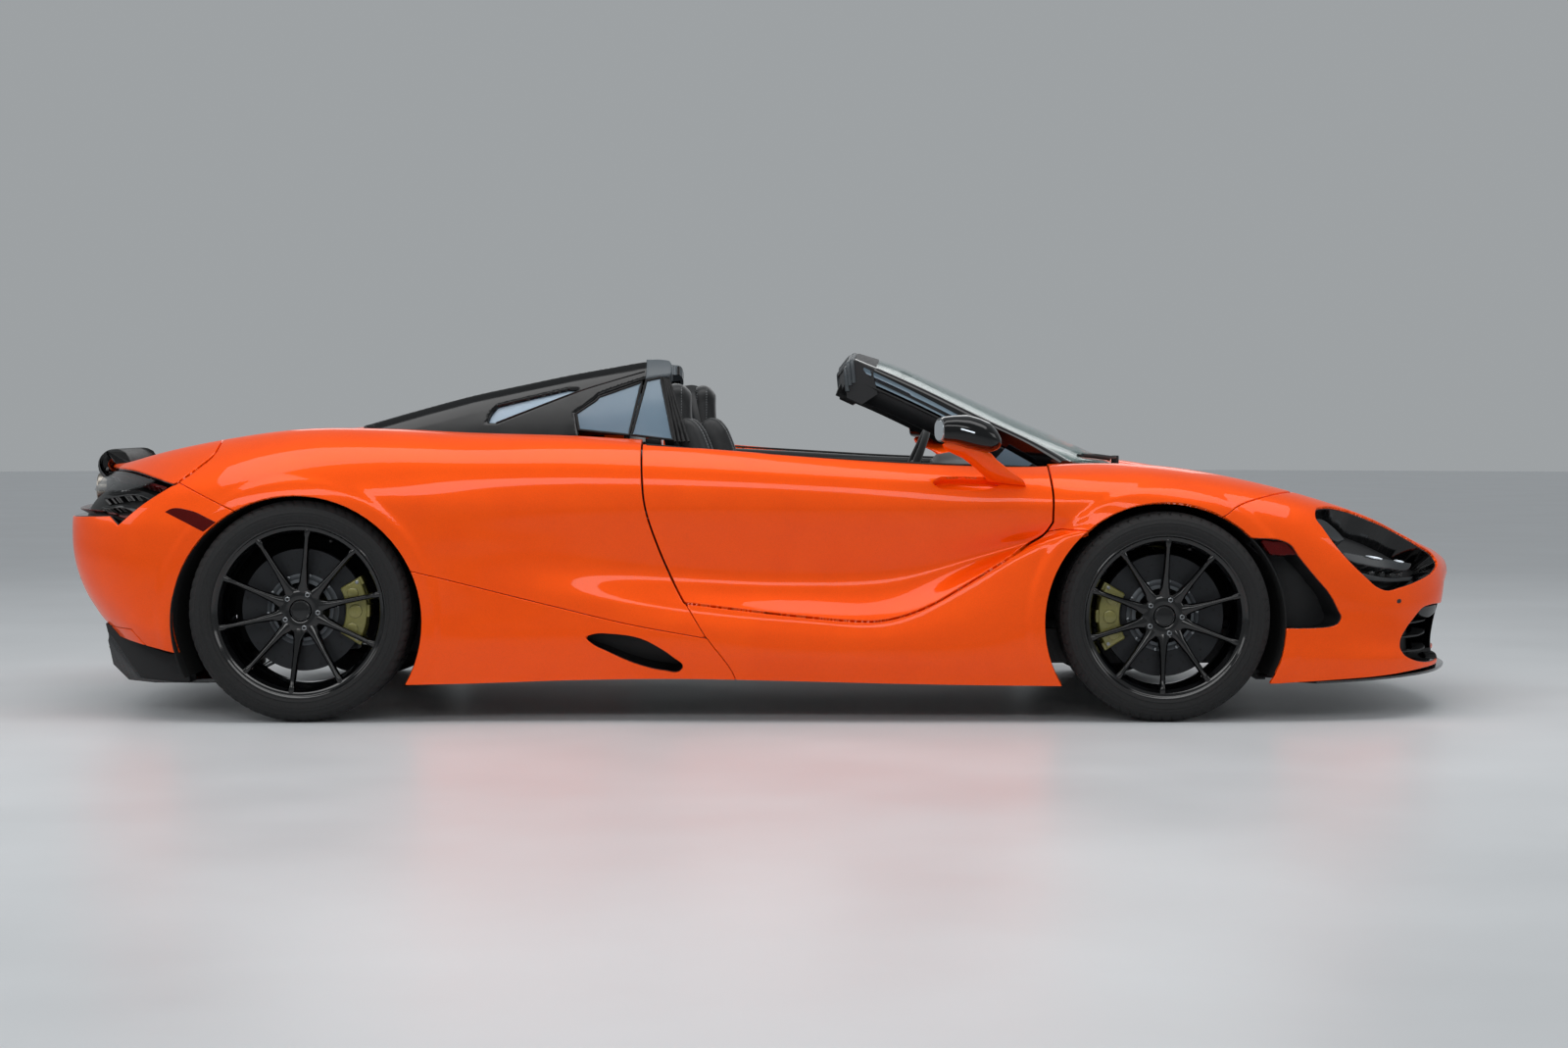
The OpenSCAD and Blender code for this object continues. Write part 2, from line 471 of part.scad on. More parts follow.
module rear_structure() color("#6E7276") difference() {
  union() {
    both() box(-1900 * kx, -500 * kx, 400, 470, 300, 400);
    box(-1940 * kx, -1900 * kx, -620, 620, 300, 400);
    box(-2120 * kx, -2080 * kx, -500, 500, 380, 460);
    both() box(-2120 * kx, -2080 * kx, 300, 370, 460, 580);
    both() box(-2080 * kx, -1940 * kx, 300, 370, 380, 580);
    both() box(-1940 * kx, -1900 * kx, 300, 370, 400, 580);
    both() box(rear_x - 115, rear_x + 115, 400, 472 - seat_gap, 190, 480);
    both() box(-1000 * kx, -940 * kx, engine_w / 2 + seat_gap, 400, 320, 390);
    both() box(-2170 * kx + seat_gap, -2080 * kx, 330, 370, 560, 700);
    both() translate([-1930 * kx, 240, 570]) cylinder(h = wing_under() - seat_gap - 570, r = 16, $fn = 48);
    both() box(-1946 * kx, -1910 * kx, 224, 300, 540, 580);
    translate([-2120 * kx, 180, 420]) rotate([0, -90, 0]) cylinder(h = 30, r = 22, $fn = 64);
  }
  translate([-2070 * kx, 180, 420]) rotate([0, -90, 0]) cylinder(h = 100, r = tow_bore_d / 2, $fn = 64);
}
// underside of the wing over its posts
function wing_under() = min([for (dx = [-0.12, 0, 0.12]) sect(18 + dx, [0.7])[0][2]]) - 24;
module engine() color("#3A3D40") union() {
  box(-1230 * kx, -620 * kx, -engine_w / 2, engine_w / 2, 170, 700);
  box(-1780 * kx, -1230 * kx, -190, 190, 190, 520);
}
module luggage_tub() color("#222426") difference() {
  side([[880 + seat_gap, 280], [880 + seat_gap, 712], [1200, 706], [1400, 674], [1550, 636], [1550, 280]], 18 - hinge_y, hinge_y - 18);
  box(898 * kx, 1542 * kx, 26 - hinge_y, hinge_y - 26, 290, 800);
}
module exhausts() color("#8A8D90") both() difference() {
  translate([-2250 * kx, 110, 700]) rotate([0, 90, 0]) cylinder(h = 450 * kx, r = exhaust_r, $fn = 48);
  translate([-2260 * kx, 110, 700]) rotate([0, 90, 0]) cylinder(h = 420 * kx, r = exhaust_r - 4, $fn = 48);
}
module dashboard() color("#1B1C1E") union() {
  side([[560,560],[540,640],[552,760],[600,786],[850 - seat_gap,786],[850 - seat_gap,560]], 60 - tub_y, tub_y - 60);
  translate(sw_p) rotate([0, -sw_tilt, 0]) translate([0, 0, -120]) cylinder(h = 82 - seat_gap, r = 30, $fn = 64);
}
module centre_console() color("#1B1C1E") side([[536,150 + seat_gap],[536,600],[400,540],[250,440],[-200,400],[-420,420],[-420,150 + seat_gap]], -80, 80);
seat_o = [[-380,200],[-440,1010],[-420,1058],[-350,1066],[-300,1040],[-270,820],[-215,520],[-170,430],[260,440],
  [300,410],[300,330],[-120,260],[-130,200]];
module seat() translate([0, seat_y, 0]) color("#18191B") union() {
  side(seat_o, -seat_w / 2 + 60, seat_w / 2 - 60);
  side([[-340,240],[-400,900],[-330,900],[-240,640],[-170,520],[240,500],[270,420],[270,330],[-120,262]],
    seat_w / 2 - 60, seat_w / 2);
  side([[-340,240],[-400,900],[-330,900],[-240,640],[-170,520],[240,500],[270,420],[270,330],[-120,262]],
    -seat_w / 2, -seat_w / 2 + 60);
  box(-330, 200, -150, 150, 150 + seat_gap, 200);
}
module seats() { translate([left_seat_x, 0, 0]) seat(); translate([right_seat_x, 0, 0]) mirror([0, 1, 0]) seat(); }
sw_p = [486 * kx, seat_y, 742];
sw_tilt = 68;
module steering_wheel() color("#1B1C1E") translate(sw_p) rotate([0, -sw_tilt, 0]) union() {
  rotate_extrude($fn = 96) translate([steer_r - 14, 0]) circle(r = 14, $fn = 32);
  translate([0, 0, -16]) cylinder(h = 26, r = 56, $fn = 64);
  for (a = [0, 180]) rotate([0, 0, a + 90]) translate([50, -13, -7]) cube([steer_r - 66, 26, 12]);
  translate([0, 0, -38]) cylinder(h = 24, r = 24, $fn = 48);
}

// ---- running gear ----
module tyre(r, w, ri) rotate([90, 0, 0]) rotate_extrude($fn = 128)
  polygon([for (p = [[0, 16], [0.12, 5], [0.405, 0], [0.595, 2], [0.857, 12], [1, 34]]) [lerp(ri, r, p[0]), p[1] - w / 2],
    for (p = [[1, 34], [0.857, 12], [0.595, 2], [0.405, 0], [0.12, 5], [0, 16]]) [lerp(ri, r, p[0]), w / 2 - p[1]]]);
// wheel at its own centre, outer face towards +Y
module rim(r, w) {
  fy = w / 2 - 14;
  rotate([-90, 0, 0]) rotate_extrude($fn = 128)
    polygon([[r, -w/2 + 16], [r, fy], [r - 14, fy], [r - 14, fy - 30], [r - 20, fy - 60], [r - 16, -w/2 + 16]]);
  ycyl(0, 0, 66, fy - 74, fy - 26, 96);
  ycyl(0, 0, disc_r, fy - 118, fy - 88, 128);
  ycyl(0, 0, 90, fy - 88, fy - 74, 96);
  for (a = [0:spokes - 1]) rotate([0, a * 360 / spokes + 2, 0]) translate([-spoke_w / 2, fy - 46, 50])
    cube([spoke_w, 40, r - 60]);
}
module front_tyre(s) color("#151515") translate([front_x, s * (front_face_y - front_tyre_w / 2), front_tyre_r])
  tyre(front_tyre_r, front_tyre_w, front_rim_r);
module rear_tyre(s) color("#151515") translate([rear_x, s * (rear_face_y - rear_tyre_w / 2), rear_tyre_r])
  tyre(rear_tyre_r, rear_tyre_w, rear_rim_r);
module front_rim() color("#0E0F10") translate([front_x, front_face_y - front_tyre_w / 2, front_tyre_r])
  rim(front_rim_r, front_tyre_w);
module rear_rim() color("#0E0F10") translate([rear_x, rear_face_y - rear_tyre_w / 2, rear_tyre_r])
  rim(rear_rim_r, rear_tyre_w);
module tyre_front_left() front_tyre(1);
module tyre_front_right() front_tyre(-1);
module tyre_rear_left() rear_tyre(1);
module tyre_rear_right() rear_tyre(-1);
module rim_front_left() front_rim();
module rim_front_right() mirror([0, 1, 0]) front_rim();
module rim_rear_left() rear_rim();
module rim_rear_right() mirror([0, 1, 0]) rear_rim();
// caliper straddling the disc, on the side given by sx; ym is the disc mid-plane
module caliper(sx, ym) difference() {
  intersection() {
    difference() {
      ycyl(0, 0, disc_r + 22, ym - 36, ym + 36, 96);
      ycyl(0, 0, disc_r - 64, ym - 50, ym + 50, 96);
    }
    rotate([0, sx > 0 ? -5 : 180, 0]) box(100, 230, ym - 50, ym + 50, -95, 120);
  }
  ycyl(0, 0, disc_r + 6, ym - 20.5, ym + 20.5, 96);
}
function disc_y(face) = face - 14 - 103;
arm_lo_z = -150;
arm_hi_z = 126;
module knuckle() color("#6E7276") translate([front_x, 0, front_tyre_r]) {
  ym = disc_y(front_face_y);
  ycyl(0, 0, 62, ym - 66, ym - 20, 64);
  ycyl(0, 0, 30, ym - 20, ym - 15 - seat_gap, 64);
  translate([0, king_y, arm_lo_z + 22 + seat_gap]) cylinder(h = arm_hi_z - arm_lo_z - 22 - 2 * seat_gap, r = 16, $fn = 48);
  rotate([0, 180, 0]) box(60, 160, ym - 46, ym - 36, -40, 40);
  rotate([0, 180, 0]) box(20, 160, ym - 58, ym - 46, -30, 30);
  caliper(-1, ym);
}
module knuckle_left() knuckle();
module knuckle_right() mirror([0, 1, 0]) knuckle();
module upright() color("#6E7276") translate([rear_x, 0, rear_tyre_r]) {
  ym = disc_y(rear_face_y);
  ycyl(0, 0, 62, ym - 75, ym - 20, 64);
  ycyl(0, 0, 30, ym - 20, ym - 15 - seat_gap, 64);
  box(-26, 26, ym - 75, ym - 48, -150, 150);
  box(60, 160, ym - 46, ym - 36, -40, 40);
  box(20, 160, ym - 58, ym - 46, -30, 30);
  caliper(1, ym);
}
module rear_uprights() both() upright();
module arm(x, z, y0, y1, w0, w1) translate([x, 0, z]) linear_extrude(22)
  polygon([[-w0, y0], [-w1, y1], [w1, y1], [w0, y0], [w0 - 26, y0], [w1 - 22, y1 - 60], [22 - w1, y1 - 60], [26 - w0, y0]]);
module front_suspension() color("#55585B") both() {
  for (z = [arm_lo_z, arm_hi_z]) {
    arm(front_x, front_tyre_r + z, 545 + seat_gap, king_y - 30, 90, 30);
    translate([front_x, king_y, front_tyre_r + z]) cylinder(h = 22, r = 20, $fn = 48);
    box(front_x - 12, front_x + 12, king_y - 60, king_y - 10, front_tyre_r + z, front_tyre_r + z + 22);
  }
  box(front_x - 110, front_x + 110, 470, 545, 260 + seat_gap, 500);
}
module rear_suspension() color("#55585B") both() {
  ym = disc_y(rear_face_y);
  arm(rear_x, rear_tyre_r - 150, 472, ym - 75 - seat_gap, 110, 34);
  arm(rear_x, rear_tyre_r + 110, 472, ym - 75 - seat_gap, 110, 34);
}
module mirror_shell() union() {
  difference() {
    hull() {
      translate([618, 985, 884]) scale([92, 74, 54]) sphere(r = 1, $fn = 28);
      translate([600, 965, 882]) scale([74, 80, 50]) sphere(r = 1, $fn = 28);
    }
    box(400, 540, 800, 1200, 700, 1000);
  }
  hull() {
    translate([640, 930, 838]) sphere(r = 16, $fn = 12);
    translate([708, 866, 736]) sphere(r = 15, $fn = 16);
  }
}
module mirror_piece() color("#0C0D0F") resize([0, 0, 0]) difference() {
  translate([690 * (kx - 1), 900 * (ky - 1), 0]) mirror_shell();
  door_core();
}
module mirror_left() mirror_piece();
module mirror_right() mirror([0, 1, 0]) mirror_piece();

floor_tub();
front_structure();
rear_structure();
front_bumper();
front_splitter();
front_fenders();
sills();
rear_sills();
rear_quarters();
rear_bumper();
rear_diffuser();
rear_deck();
rear_grille();
headlamps();
tail_lamps();
tonneau();
quarter_glass();
windscreen_frame();
windscreen();
dashboard();
centre_console();
seats();
engine();
luggage_tub();
exhausts();
front_suspension();
rear_suspension();
rear_uprights();
bonnet();
bonnet_hinges();
door_left();
mirror_left();
door_right();
mirror_right();
airbrake_wing();
knuckle_left();
knuckle_right();
tyre_front_left();
rim_front_left();
tyre_front_right();
rim_front_right();
tyre_rear_left();
rim_rear_left();
tyre_rear_right();
rim_rear_right();
steering_wheel();
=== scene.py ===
"""Open two-seat mid-engined supercar: the finished look of every piece over its construction model.

Units are metres with +X to the nose, +Y to the car's left and +Z up. Sizes written in the
classes are millimetres, as on a drawing, and are turned to metres when a mesh is made.
"""

import json
import logging
import math
from dataclasses import dataclass, field
from enum import Enum
from typing import Callable, Iterable, Optional, Sequence

import bpy
import numpy as np
from mathutils import Matrix, Vector

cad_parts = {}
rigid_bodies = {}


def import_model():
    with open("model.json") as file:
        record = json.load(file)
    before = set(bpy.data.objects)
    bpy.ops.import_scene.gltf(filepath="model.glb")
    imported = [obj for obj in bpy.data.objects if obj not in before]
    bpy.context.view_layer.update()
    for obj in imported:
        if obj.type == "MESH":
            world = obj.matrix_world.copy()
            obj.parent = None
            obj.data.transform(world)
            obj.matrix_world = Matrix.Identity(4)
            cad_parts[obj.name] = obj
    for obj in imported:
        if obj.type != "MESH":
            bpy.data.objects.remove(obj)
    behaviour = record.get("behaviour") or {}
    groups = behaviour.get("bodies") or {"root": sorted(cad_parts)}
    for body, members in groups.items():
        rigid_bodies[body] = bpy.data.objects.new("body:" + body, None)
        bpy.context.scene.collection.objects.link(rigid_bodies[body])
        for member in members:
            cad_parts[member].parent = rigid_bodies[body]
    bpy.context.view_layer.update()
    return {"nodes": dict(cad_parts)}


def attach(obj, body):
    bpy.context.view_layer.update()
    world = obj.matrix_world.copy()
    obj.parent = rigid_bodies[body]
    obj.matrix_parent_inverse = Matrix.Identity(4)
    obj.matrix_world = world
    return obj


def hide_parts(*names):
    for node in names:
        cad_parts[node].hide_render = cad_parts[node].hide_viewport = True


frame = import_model()

logging.basicConfig(level=logging.INFO, format="%(message)s")
log = logging.getLogger("car")

MM = 0.001
Pt2 = tuple[float, float]
Pt3 = tuple[float, float, float]


class Side(Enum):
    """Side of the car, with the sign of its Y."""

    LEFT = 1
    RIGHT = -1


# ---------------------------------------------------------------------------------------------
# Materials
# ---------------------------------------------------------------------------------------------
def linear(hex_code: str) -> tuple[float, float, float, float]:
    """Turn an sRGB hex colour to linear RGBA.

    Args:
        hex_code: six hex digits, with or without a leading hash.

    Returns:
        Linear red, green, blue and an alpha of one.
    """
    digits = hex_code.lstrip("#")
    channels = [int(digits[i:i + 2], 16) / 255 for i in (0, 2, 4)]
    r, g, b = [c / 12.92 if c <= 0.04045 else ((c + 0.055) / 1.055) ** 2.4 for c in channels]
    return (r, g, b, 1.0)


def add_node(tree: bpy.types.NodeTree, kind: str, inputs: Optional[dict] = None, **settings) -> bpy.types.Node:
    """Add a node with its settings, and fill or link its inputs.

    Args:
        tree: node tree that gets the node.
        kind: Blender's type name of the node.
        inputs: input name or index to a value, or to an output socket that is linked.
        settings: attributes set on the node before its inputs.

    Returns:
        The new node.
    """
    made = tree.nodes.new(kind)
    for key, value in settings.items():
        setattr(made, key, value)
    for key, value in (inputs or {}).items():
        if isinstance(value, bpy.types.NodeSocket):
            tree.links.new(value, made.inputs[key])
        else:
            made.inputs[key].default_value = value
    return made


def ramp(tree: bpy.types.NodeTree, factor: bpy.types.NodeSocket,
         stops: Sequence[tuple[float, tuple]]) -> bpy.types.NodeSocket:
    """Colour a factor by a ramp.

    Args:
        tree: node tree.
        factor: socket that drives the ramp.
        stops: position and linear colour of each stop.

    Returns:
        Colour socket of the ramp.
    """
    made = add_node(tree, "ShaderNodeValToRGB", {"Fac": factor})
    band = made.color_ramp
    while len(band.elements) < len(stops):
        band.elements.new(0.5)
    for element, (place, colour) in zip(band.elements, stops):
        element.position = place
        element.color = colour
    return made.outputs["Color"]


def shade(value: float) -> tuple[float, float, float, float]:
    """Grey of one linear value, as a colour."""
    return (value, value, value, 1.0)


def tint(hex_code: str, factor: float) -> tuple[float, float, float, float]:
    """Linear colour of a hex code, made lighter or darker by a factor."""
    r, g, b, a = linear(hex_code)
    return (min(1.0, r * factor), min(1.0, g * factor), min(1.0, b * factor), a)


@dataclass(frozen=True)
class Finish:
    """A dressed surface: colour with a little variation, roughness from a pattern, and bump.

    Attributes:
        name: what the surface is in the trade.
        colour: sRGB hex of the main colour.
        rough: middle roughness.
        rough_swing: how far the pattern moves the roughness either way.
        metal: metallic value.
        ior: index of refraction of a non-metal.
        grain_mm: size of the pattern on the real surface.
        colour_swing: how far the pattern lightens or darkens the colour.
        bump_mm: height of the relief.
        coat: clear coat weight.
        coat_rough: clear coat roughness.
        sheen: sheen weight.
    """

    name: str
    colour: str
    rough: float = 0.5
    rough_swing: float = 0.06
    metal: float = 0.0
    ior: float = 1.5
    grain_mm: float = 2.0
    colour_swing: float = 0.12
    bump_mm: float = 0.0
    coat: float = 0.0
    coat_rough: float = 0.03
    sheen: float = 0.0
    spec: float = 0.5

    def pattern(self, tree: bpy.types.NodeTree, place: bpy.types.NodeSocket) -> bpy.types.NodeSocket:
        """Pattern from 0 to 1 that drives colour, roughness and relief.

        Args:
            tree: node tree of the material.
            place: object coordinates.

        Returns:
            Factor socket.
        """
        noise = add_node(tree, "ShaderNodeTexNoise", {"Vector": place, "Scale": 1 / (self.grain_mm * MM * 2),
                                                      "Detail": 4.0, "Roughness": 0.6})
        return noise.outputs["Fac"]

    def extra(self, tree: bpy.types.NodeTree, shader: bpy.types.Node, factor: bpy.types.NodeSocket,
              place: bpy.types.NodeSocket) -> None:
        """Hook for what one finish has that the others lack."""

    def make(self) -> bpy.types.Material:
        """Build the material once and hand it out after that.

        Returns:
            The Blender material.
        """
        known = bpy.data.materials.get(self.name)
        if known is not None:
            return known
        made = bpy.data.materials.new(self.name)
        made.use_nodes = True
        tree = made.node_tree
        tree.nodes.clear()
        place = add_node(tree, "ShaderNodeTexCoord").outputs["Object"]
        factor = self.pattern(tree, place)
        shader = add_node(tree, "ShaderNodeBsdfPrincipled", {
            "Metallic": self.metal, "Coat Weight": self.coat, "Coat Roughness": self.coat_rough,
            "Sheen Weight": self.sheen, "Specular IOR Level": self.spec})
        if self.metal < 0.5:
            shader.inputs["IOR"].default_value = self.ior
        tone = ramp(tree, factor, [(0.3, tint(self.colour, 1 - self.colour_swing)),
                                   (0.7, tint(self.colour, 1 + self.colour_swing))])
        tree.links.new(tone, shader.inputs["Base Color"])
        rough = add_node(tree, "ShaderNodeMapRange", {
            "Value": factor, "From Min": 0.3, "From Max": 0.7,
            "To Min": max(0.0, self.rough - self.rough_swing), "To Max": self.rough + self.rough_swing})
        tree.links.new(rough.outputs["Result"], shader.inputs["Roughness"])
        if self.bump_mm:
            relief = add_node(tree, "ShaderNodeBump", {"Height": factor, "Distance": self.bump_mm * MM,
                                                       "Strength": 1.0})
            tree.links.new(relief.outputs["Normal"], shader.inputs["Normal"])
        self.extra(tree, shader, factor, place)
        add_node(tree, "ShaderNodeOutputMaterial", {"Surface": shader.outputs["BSDF"]})
        return made


@dataclass(frozen=True)
class MetallicPaint(Finish):
    """Sprayed metallic paint under a polished clear coat: flakes that sparkle below a hard gloss."""

    flake_mm: float = 1.6

    def extra(self, tree: bpy.types.NodeTree, shader: bpy.types.Node, factor: bpy.types.NodeSocket,
              place: bpy.types.NodeSocket) -> None:
        """Add flakes, real ones being 0.03 mm and drawn at 1.6 mm so that they show."""
        cells = add_node(tree, "ShaderNodeTexVoronoi", {"Vector": place, "Scale": 1 / (self.flake_mm * MM)})
        lift = add_node(tree, "ShaderNodeMapRange", {"Value": cells.outputs["Color"], "To Min": 0.93, "To Max": 1.07})
        cloud = add_node(tree, "ShaderNodeTexNoise", {"Vector": place, "Scale": 9.0, "Detail": 3.0})
        tone = ramp(tree, cloud.outputs["Fac"], [(0.3, tint(self.colour, 0.96)), (0.7, tint(self.colour, 1.04))])
        mixed = add_node(tree, "ShaderNodeVectorMath", {0: tone, 1: lift.outputs["Result"]}, operation="MULTIPLY")
        tree.links.new(mixed.outputs["Vector"], shader.inputs["Base Color"])


@dataclass(frozen=True)
class TwillCarbon(Finish):
    """Lacquered carbon fibre: 2 by 2 twill of 3 mm tows under gloss resin, alternately light and dark."""

    tow_mm: float = 3.0

    def extra(self, tree: bpy.types.NodeTree, shader: bpy.types.Node, factor: bpy.types.NodeSocket,
              place: bpy.types.NodeSocket) -> None:
        """Lay the twill from two crossed saw waves."""
        turned = add_node(tree, "ShaderNodeMapping", {"Vector": place, "Rotation": (0.6, 0.5, 0.7854)})
        parts = add_node(tree, "ShaderNodeSeparateXYZ", {"Vector": turned.outputs["Vector"]})
        tows = []
        for axis in ("X", "Y"):
            scaled = add_node(tree, "ShaderNodeMath", {0: parts.outputs[axis], 1: 1 / (self.tow_mm * MM)},
                              operation="MULTIPLY")
            tows.append(add_node(tree, "ShaderNodeMath", {0: scaled.outputs["Value"]}, operation="FLOOR"))
        total = add_node(tree, "ShaderNodeMath", {0: tows[0].outputs["Value"], 1: tows[1].outputs["Value"]},
                         operation="ADD")
        halved = add_node(tree, "ShaderNodeMath", {0: total.outputs["Value"], 1: 4.0}, operation="FLOORED_MODULO")
        over = add_node(tree, "ShaderNodeMath", {0: halved.outputs["Value"], 1: 1.5}, operation="GREATER_THAN")
        tone = ramp(tree, over.outputs["Value"], [(0.0, tint(self.colour, 0.6)), (1.0, tint(self.colour, 1.5))])
        tree.links.new(tone, shader.inputs["Base Color"])


@dataclass(frozen=True)
class Grained(Finish):
    """Grained hide or moulded skin: cells with valleys between them."""

    def pattern(self, tree: bpy.types.NodeTree, place: bpy.types.NodeSocket) -> bpy.types.NodeSocket:
        """Grain cells from distance to the edges of a cell pattern."""
        cells = add_node(tree, "ShaderNodeTexVoronoi", {"Vector": place, "Scale": 1 / (self.grain_mm * MM)},
                         feature="DISTANCE_TO_EDGE")
        swell = add_node(tree, "ShaderNodeMapRange", {"Value": cells.outputs["Distance"], "From Max": 0.35,
                                                      "To Min": 0.2, "To Max": 0.8})
        return swell.outputs["Result"]


@dataclass(frozen=True)
class Turned(Finish):
    """Machined face: fine rings about the wheel's own axis, that glint in fans."""

    centre: Pt3 = (0.0, 0.0, 0.0)
    ring_mm: float = 2.2

    def pattern(self, tree: bpy.types.NodeTree, place: bpy.types.NodeSocket) -> bpy.types.NodeSocket:
        """Rings about the Y axis through the centre."""
        moved = add_node(tree, "ShaderNodeMapping", {"Vector": place, "Scale": (1.0, 0.0, 1.0)})
        moved.inputs["Location"].default_value = (-self.centre[0], 0.0, -self.centre[2])
        rings = add_node(tree, "ShaderNodeTexWave", {"Vector": moved.outputs["Vector"],
                                                     "Scale": 1 / (self.ring_mm * MM * 3.14), "Distortion": 0.6,
                                                     "Detail": 2.0},
                         wave_type="RINGS", rings_direction="Y")
        return rings.outputs["Fac"]


@dataclass(frozen=True)
class Clear(Finish):
    """Glass or lens: clear or tinted through, with hard gloss and faint smears."""

    alpha: float = 0.25

    def make(self) -> bpy.types.Material:
        """Mix a see-through tint with a glossy sheet, so that the inside shows without slow refraction."""
        known = bpy.data.materials.get(self.name)
        if known is not None:
            return known
        made = bpy.data.materials.new(self.name)
        made.use_nodes = True
        tree = made.node_tree
        tree.nodes.clear()
        place = add_node(tree, "ShaderNodeTexCoord").outputs["Object"]
        factor = self.pattern(tree, place)
        rough = add_node(tree, "ShaderNodeMapRange", {"Value": factor, "From Min": 0.3, "From Max": 0.7,
                                                      "To Min": max(0.0, self.rough - self.rough_swing),
                                                      "To Max": self.rough + self.rough_swing})
        tone = ramp(tree, factor, [(0.3, tint(self.colour, 1 - self.colour_swing)),
                                   (0.7, tint(self.colour, 1 + self.colour_swing))])
        shader = add_node(tree, "ShaderNodeBsdfPrincipled", {
            "Base Color": tone, "Roughness": rough.outputs["Result"], "Alpha": self.alpha, "IOR": self.ior,
            "Coat Weight": self.coat, "Specular IOR Level": self.spec})
        add_node(tree, "ShaderNodeOutputMaterial", {"Surface": shader.outputs["BSDF"]})
        return made


@dataclass(frozen=True)
class Glow(Finish):
    """Lit or bright element behind a lens: a diffuser with a faint glow of its own."""

    strength: float = 0.6

    def extra(self, tree: bpy.types.NodeTree, shader: bpy.types.Node, factor: bpy.types.NodeSocket,
              place: bpy.types.NodeSocket) -> None:
        """Let the element shine a little."""
        shader.inputs["Emission Color"].default_value = linear(self.colour)
        shader.inputs["Emission Strength"].default_value = self.strength


class Stock:
    """Finishes used on the car, each named for what it is."""

    paint = MetallicPaint("metallic_paint_orange", "#FF5400", rough=0.42, metal=0.3, spec=0.05, coat=0.5,
                          coat_rough=0.02, grain_mm=300, colour_swing=0.02, rough_swing=0.02)
    gloss_black = Finish("lacquered_abs_black", "#040405", rough=0.1, rough_swing=0.03, spec=0.4,
                         coat=0.0, coat_rough=0.02, grain_mm=60)
    wheel_black = Finish("gloss_black_alloy_lacquer", "#040405", rough=0.14, rough_swing=0.04, coat=0.5, spec=0.3,
                         coat_rough=0.03, grain_mm=30)
    # Pale bluish metal for the painted highlight bands on the windscreen pillars, not a trim of the real car.
    dark_chrome = Finish("dark_chrome_trim", "#93A5B2", rough=0.16, metal=1.0, rough_swing=0.03, grain_mm=80)
    satin_black = Finish("moulded_polypropylene_black", "#141517", rough=0.55, grain_mm=1.2, bump_mm=0.05)
    seal = Finish("epdm_rubber_seal", "#0B0B0C", rough=0.72, grain_mm=4, bump_mm=0.05)
    carbon = TwillCarbon("lacquered_twill_carbon", "#17181B", rough=0.3, coat=1.0, coat_rough=0.05, tow_mm=4)
    tub = TwillCarbon("satin_moulded_carbon_tub", "#15161A", rough=0.5, coat=0.3, coat_rough=0.3, tow_mm=6)
    tyre = Finish("vulcanised_tyre_rubber", "#0D0D0E", rough=0.78, grain_mm=3, bump_mm=0.08, colour_swing=0.2,
                  ior=1.52)
    glass = Clear("laminated_windscreen_glass", "#7C9A96", rough=0.06, grain_mm=160, colour_swing=0.04,
                  alpha=0.34, spec=0.3, ior=1.52)
    slit_glass = Clear("clear_buttress_glass", "#B4CADC", rough=0.04, grain_mm=160, alpha=0.6)
    side_glass = Clear("tinted_toughened_glass", "#6F8494", rough=0.05, grain_mm=160, colour_swing=0.04,
                       alpha=0.78, ior=1.52)
    lens = Clear("polycarbonate_lamp_lens", "#0C0E10", rough=0.03, rough_swing=0.02, grain_mm=120,
                 colour_swing=0.05, alpha=0.42, ior=1.58, coat=1.0)
    red_lens = Clear("smoked_red_acrylic_lens", "#4C0303", rough=0.08, grain_mm=90, alpha=0.9, spec=0.2,
                     ior=1.49)
    leather = Grained("nappa_leather_black", "#17181A", rough=0.52, grain_mm=2.6, bump_mm=0.12, colour_swing=0.14,
                      sheen=0.15)
    suede = Finish("alcantara_black", "#131416", rough=0.92, grain_mm=1.5, bump_mm=0.08, sheen=0.6,
                   colour_swing=0.25)
    thread = Finish("polyester_thread_grey", "#8A8D90", rough=0.7, grain_mm=0.8, colour_swing=0.2)
    carpet = Finish("tufted_carpet_black", "#0E0E0F", rough=0.95, grain_mm=2.5, bump_mm=0.8, sheen=0.4,
                    colour_swing=0.4)
    dash_skin = Grained("slush_moulded_dash_skin", "#141518", rough=0.6, grain_mm=1.8, bump_mm=0.08)
    alloy = Finish("forged_aluminium", "#9B9EA2", rough=0.38, metal=1.0, grain_mm=5, bump_mm=0.03)
    cast_alloy = Finish("cast_aluminium", "#6E7276", rough=0.55, metal=0.9, grain_mm=2, bump_mm=0.15)
    steel = Finish("zinc_plated_steel", "#8C8F92", rough=0.34, metal=1.0, grain_mm=8)
    titanium = Finish("titanium_exhaust", "#8A857E", rough=0.3, metal=1.0, grain_mm=25, colour_swing=0.2)
    cast_iron = Finish("cast_iron_engine", "#2A2C2F", rough=0.62, metal=0.6, grain_mm=2, bump_mm=0.2)
    caliper = Finish("powder_coat_olive_gold", "#7D783C", rough=0.35, metal=0.35, coat=0.6, coat_rough=0.1,
                     grain_mm=3)
    mesh_black = Finish("coated_steel_mesh", "#0B0C0D", rough=0.5, metal=0.4, grain_mm=3)
    chrome = Finish("vapour_metallised_reflector", "#C9CCD0", rough=0.12, metal=1.0, grain_mm=10, colour_swing=0.05)
    led = Glow("led_light_guide", "#DDE6EE", rough=0.3, grain_mm=6, strength=0.5)
    white = Finish("printed_dial_white", "#C8CCD0", rough=0.6, grain_mm=3)
    mirror_glass = Finish("silvered_mirror_glass", "#C4CCD2", rough=0.03, rough_swing=0.01, metal=1.0, grain_mm=60,
                          colour_swing=0.02)
    plate = Finish("blank_plate_aluminium", "#1C1D1F", rough=0.5, grain_mm=4)


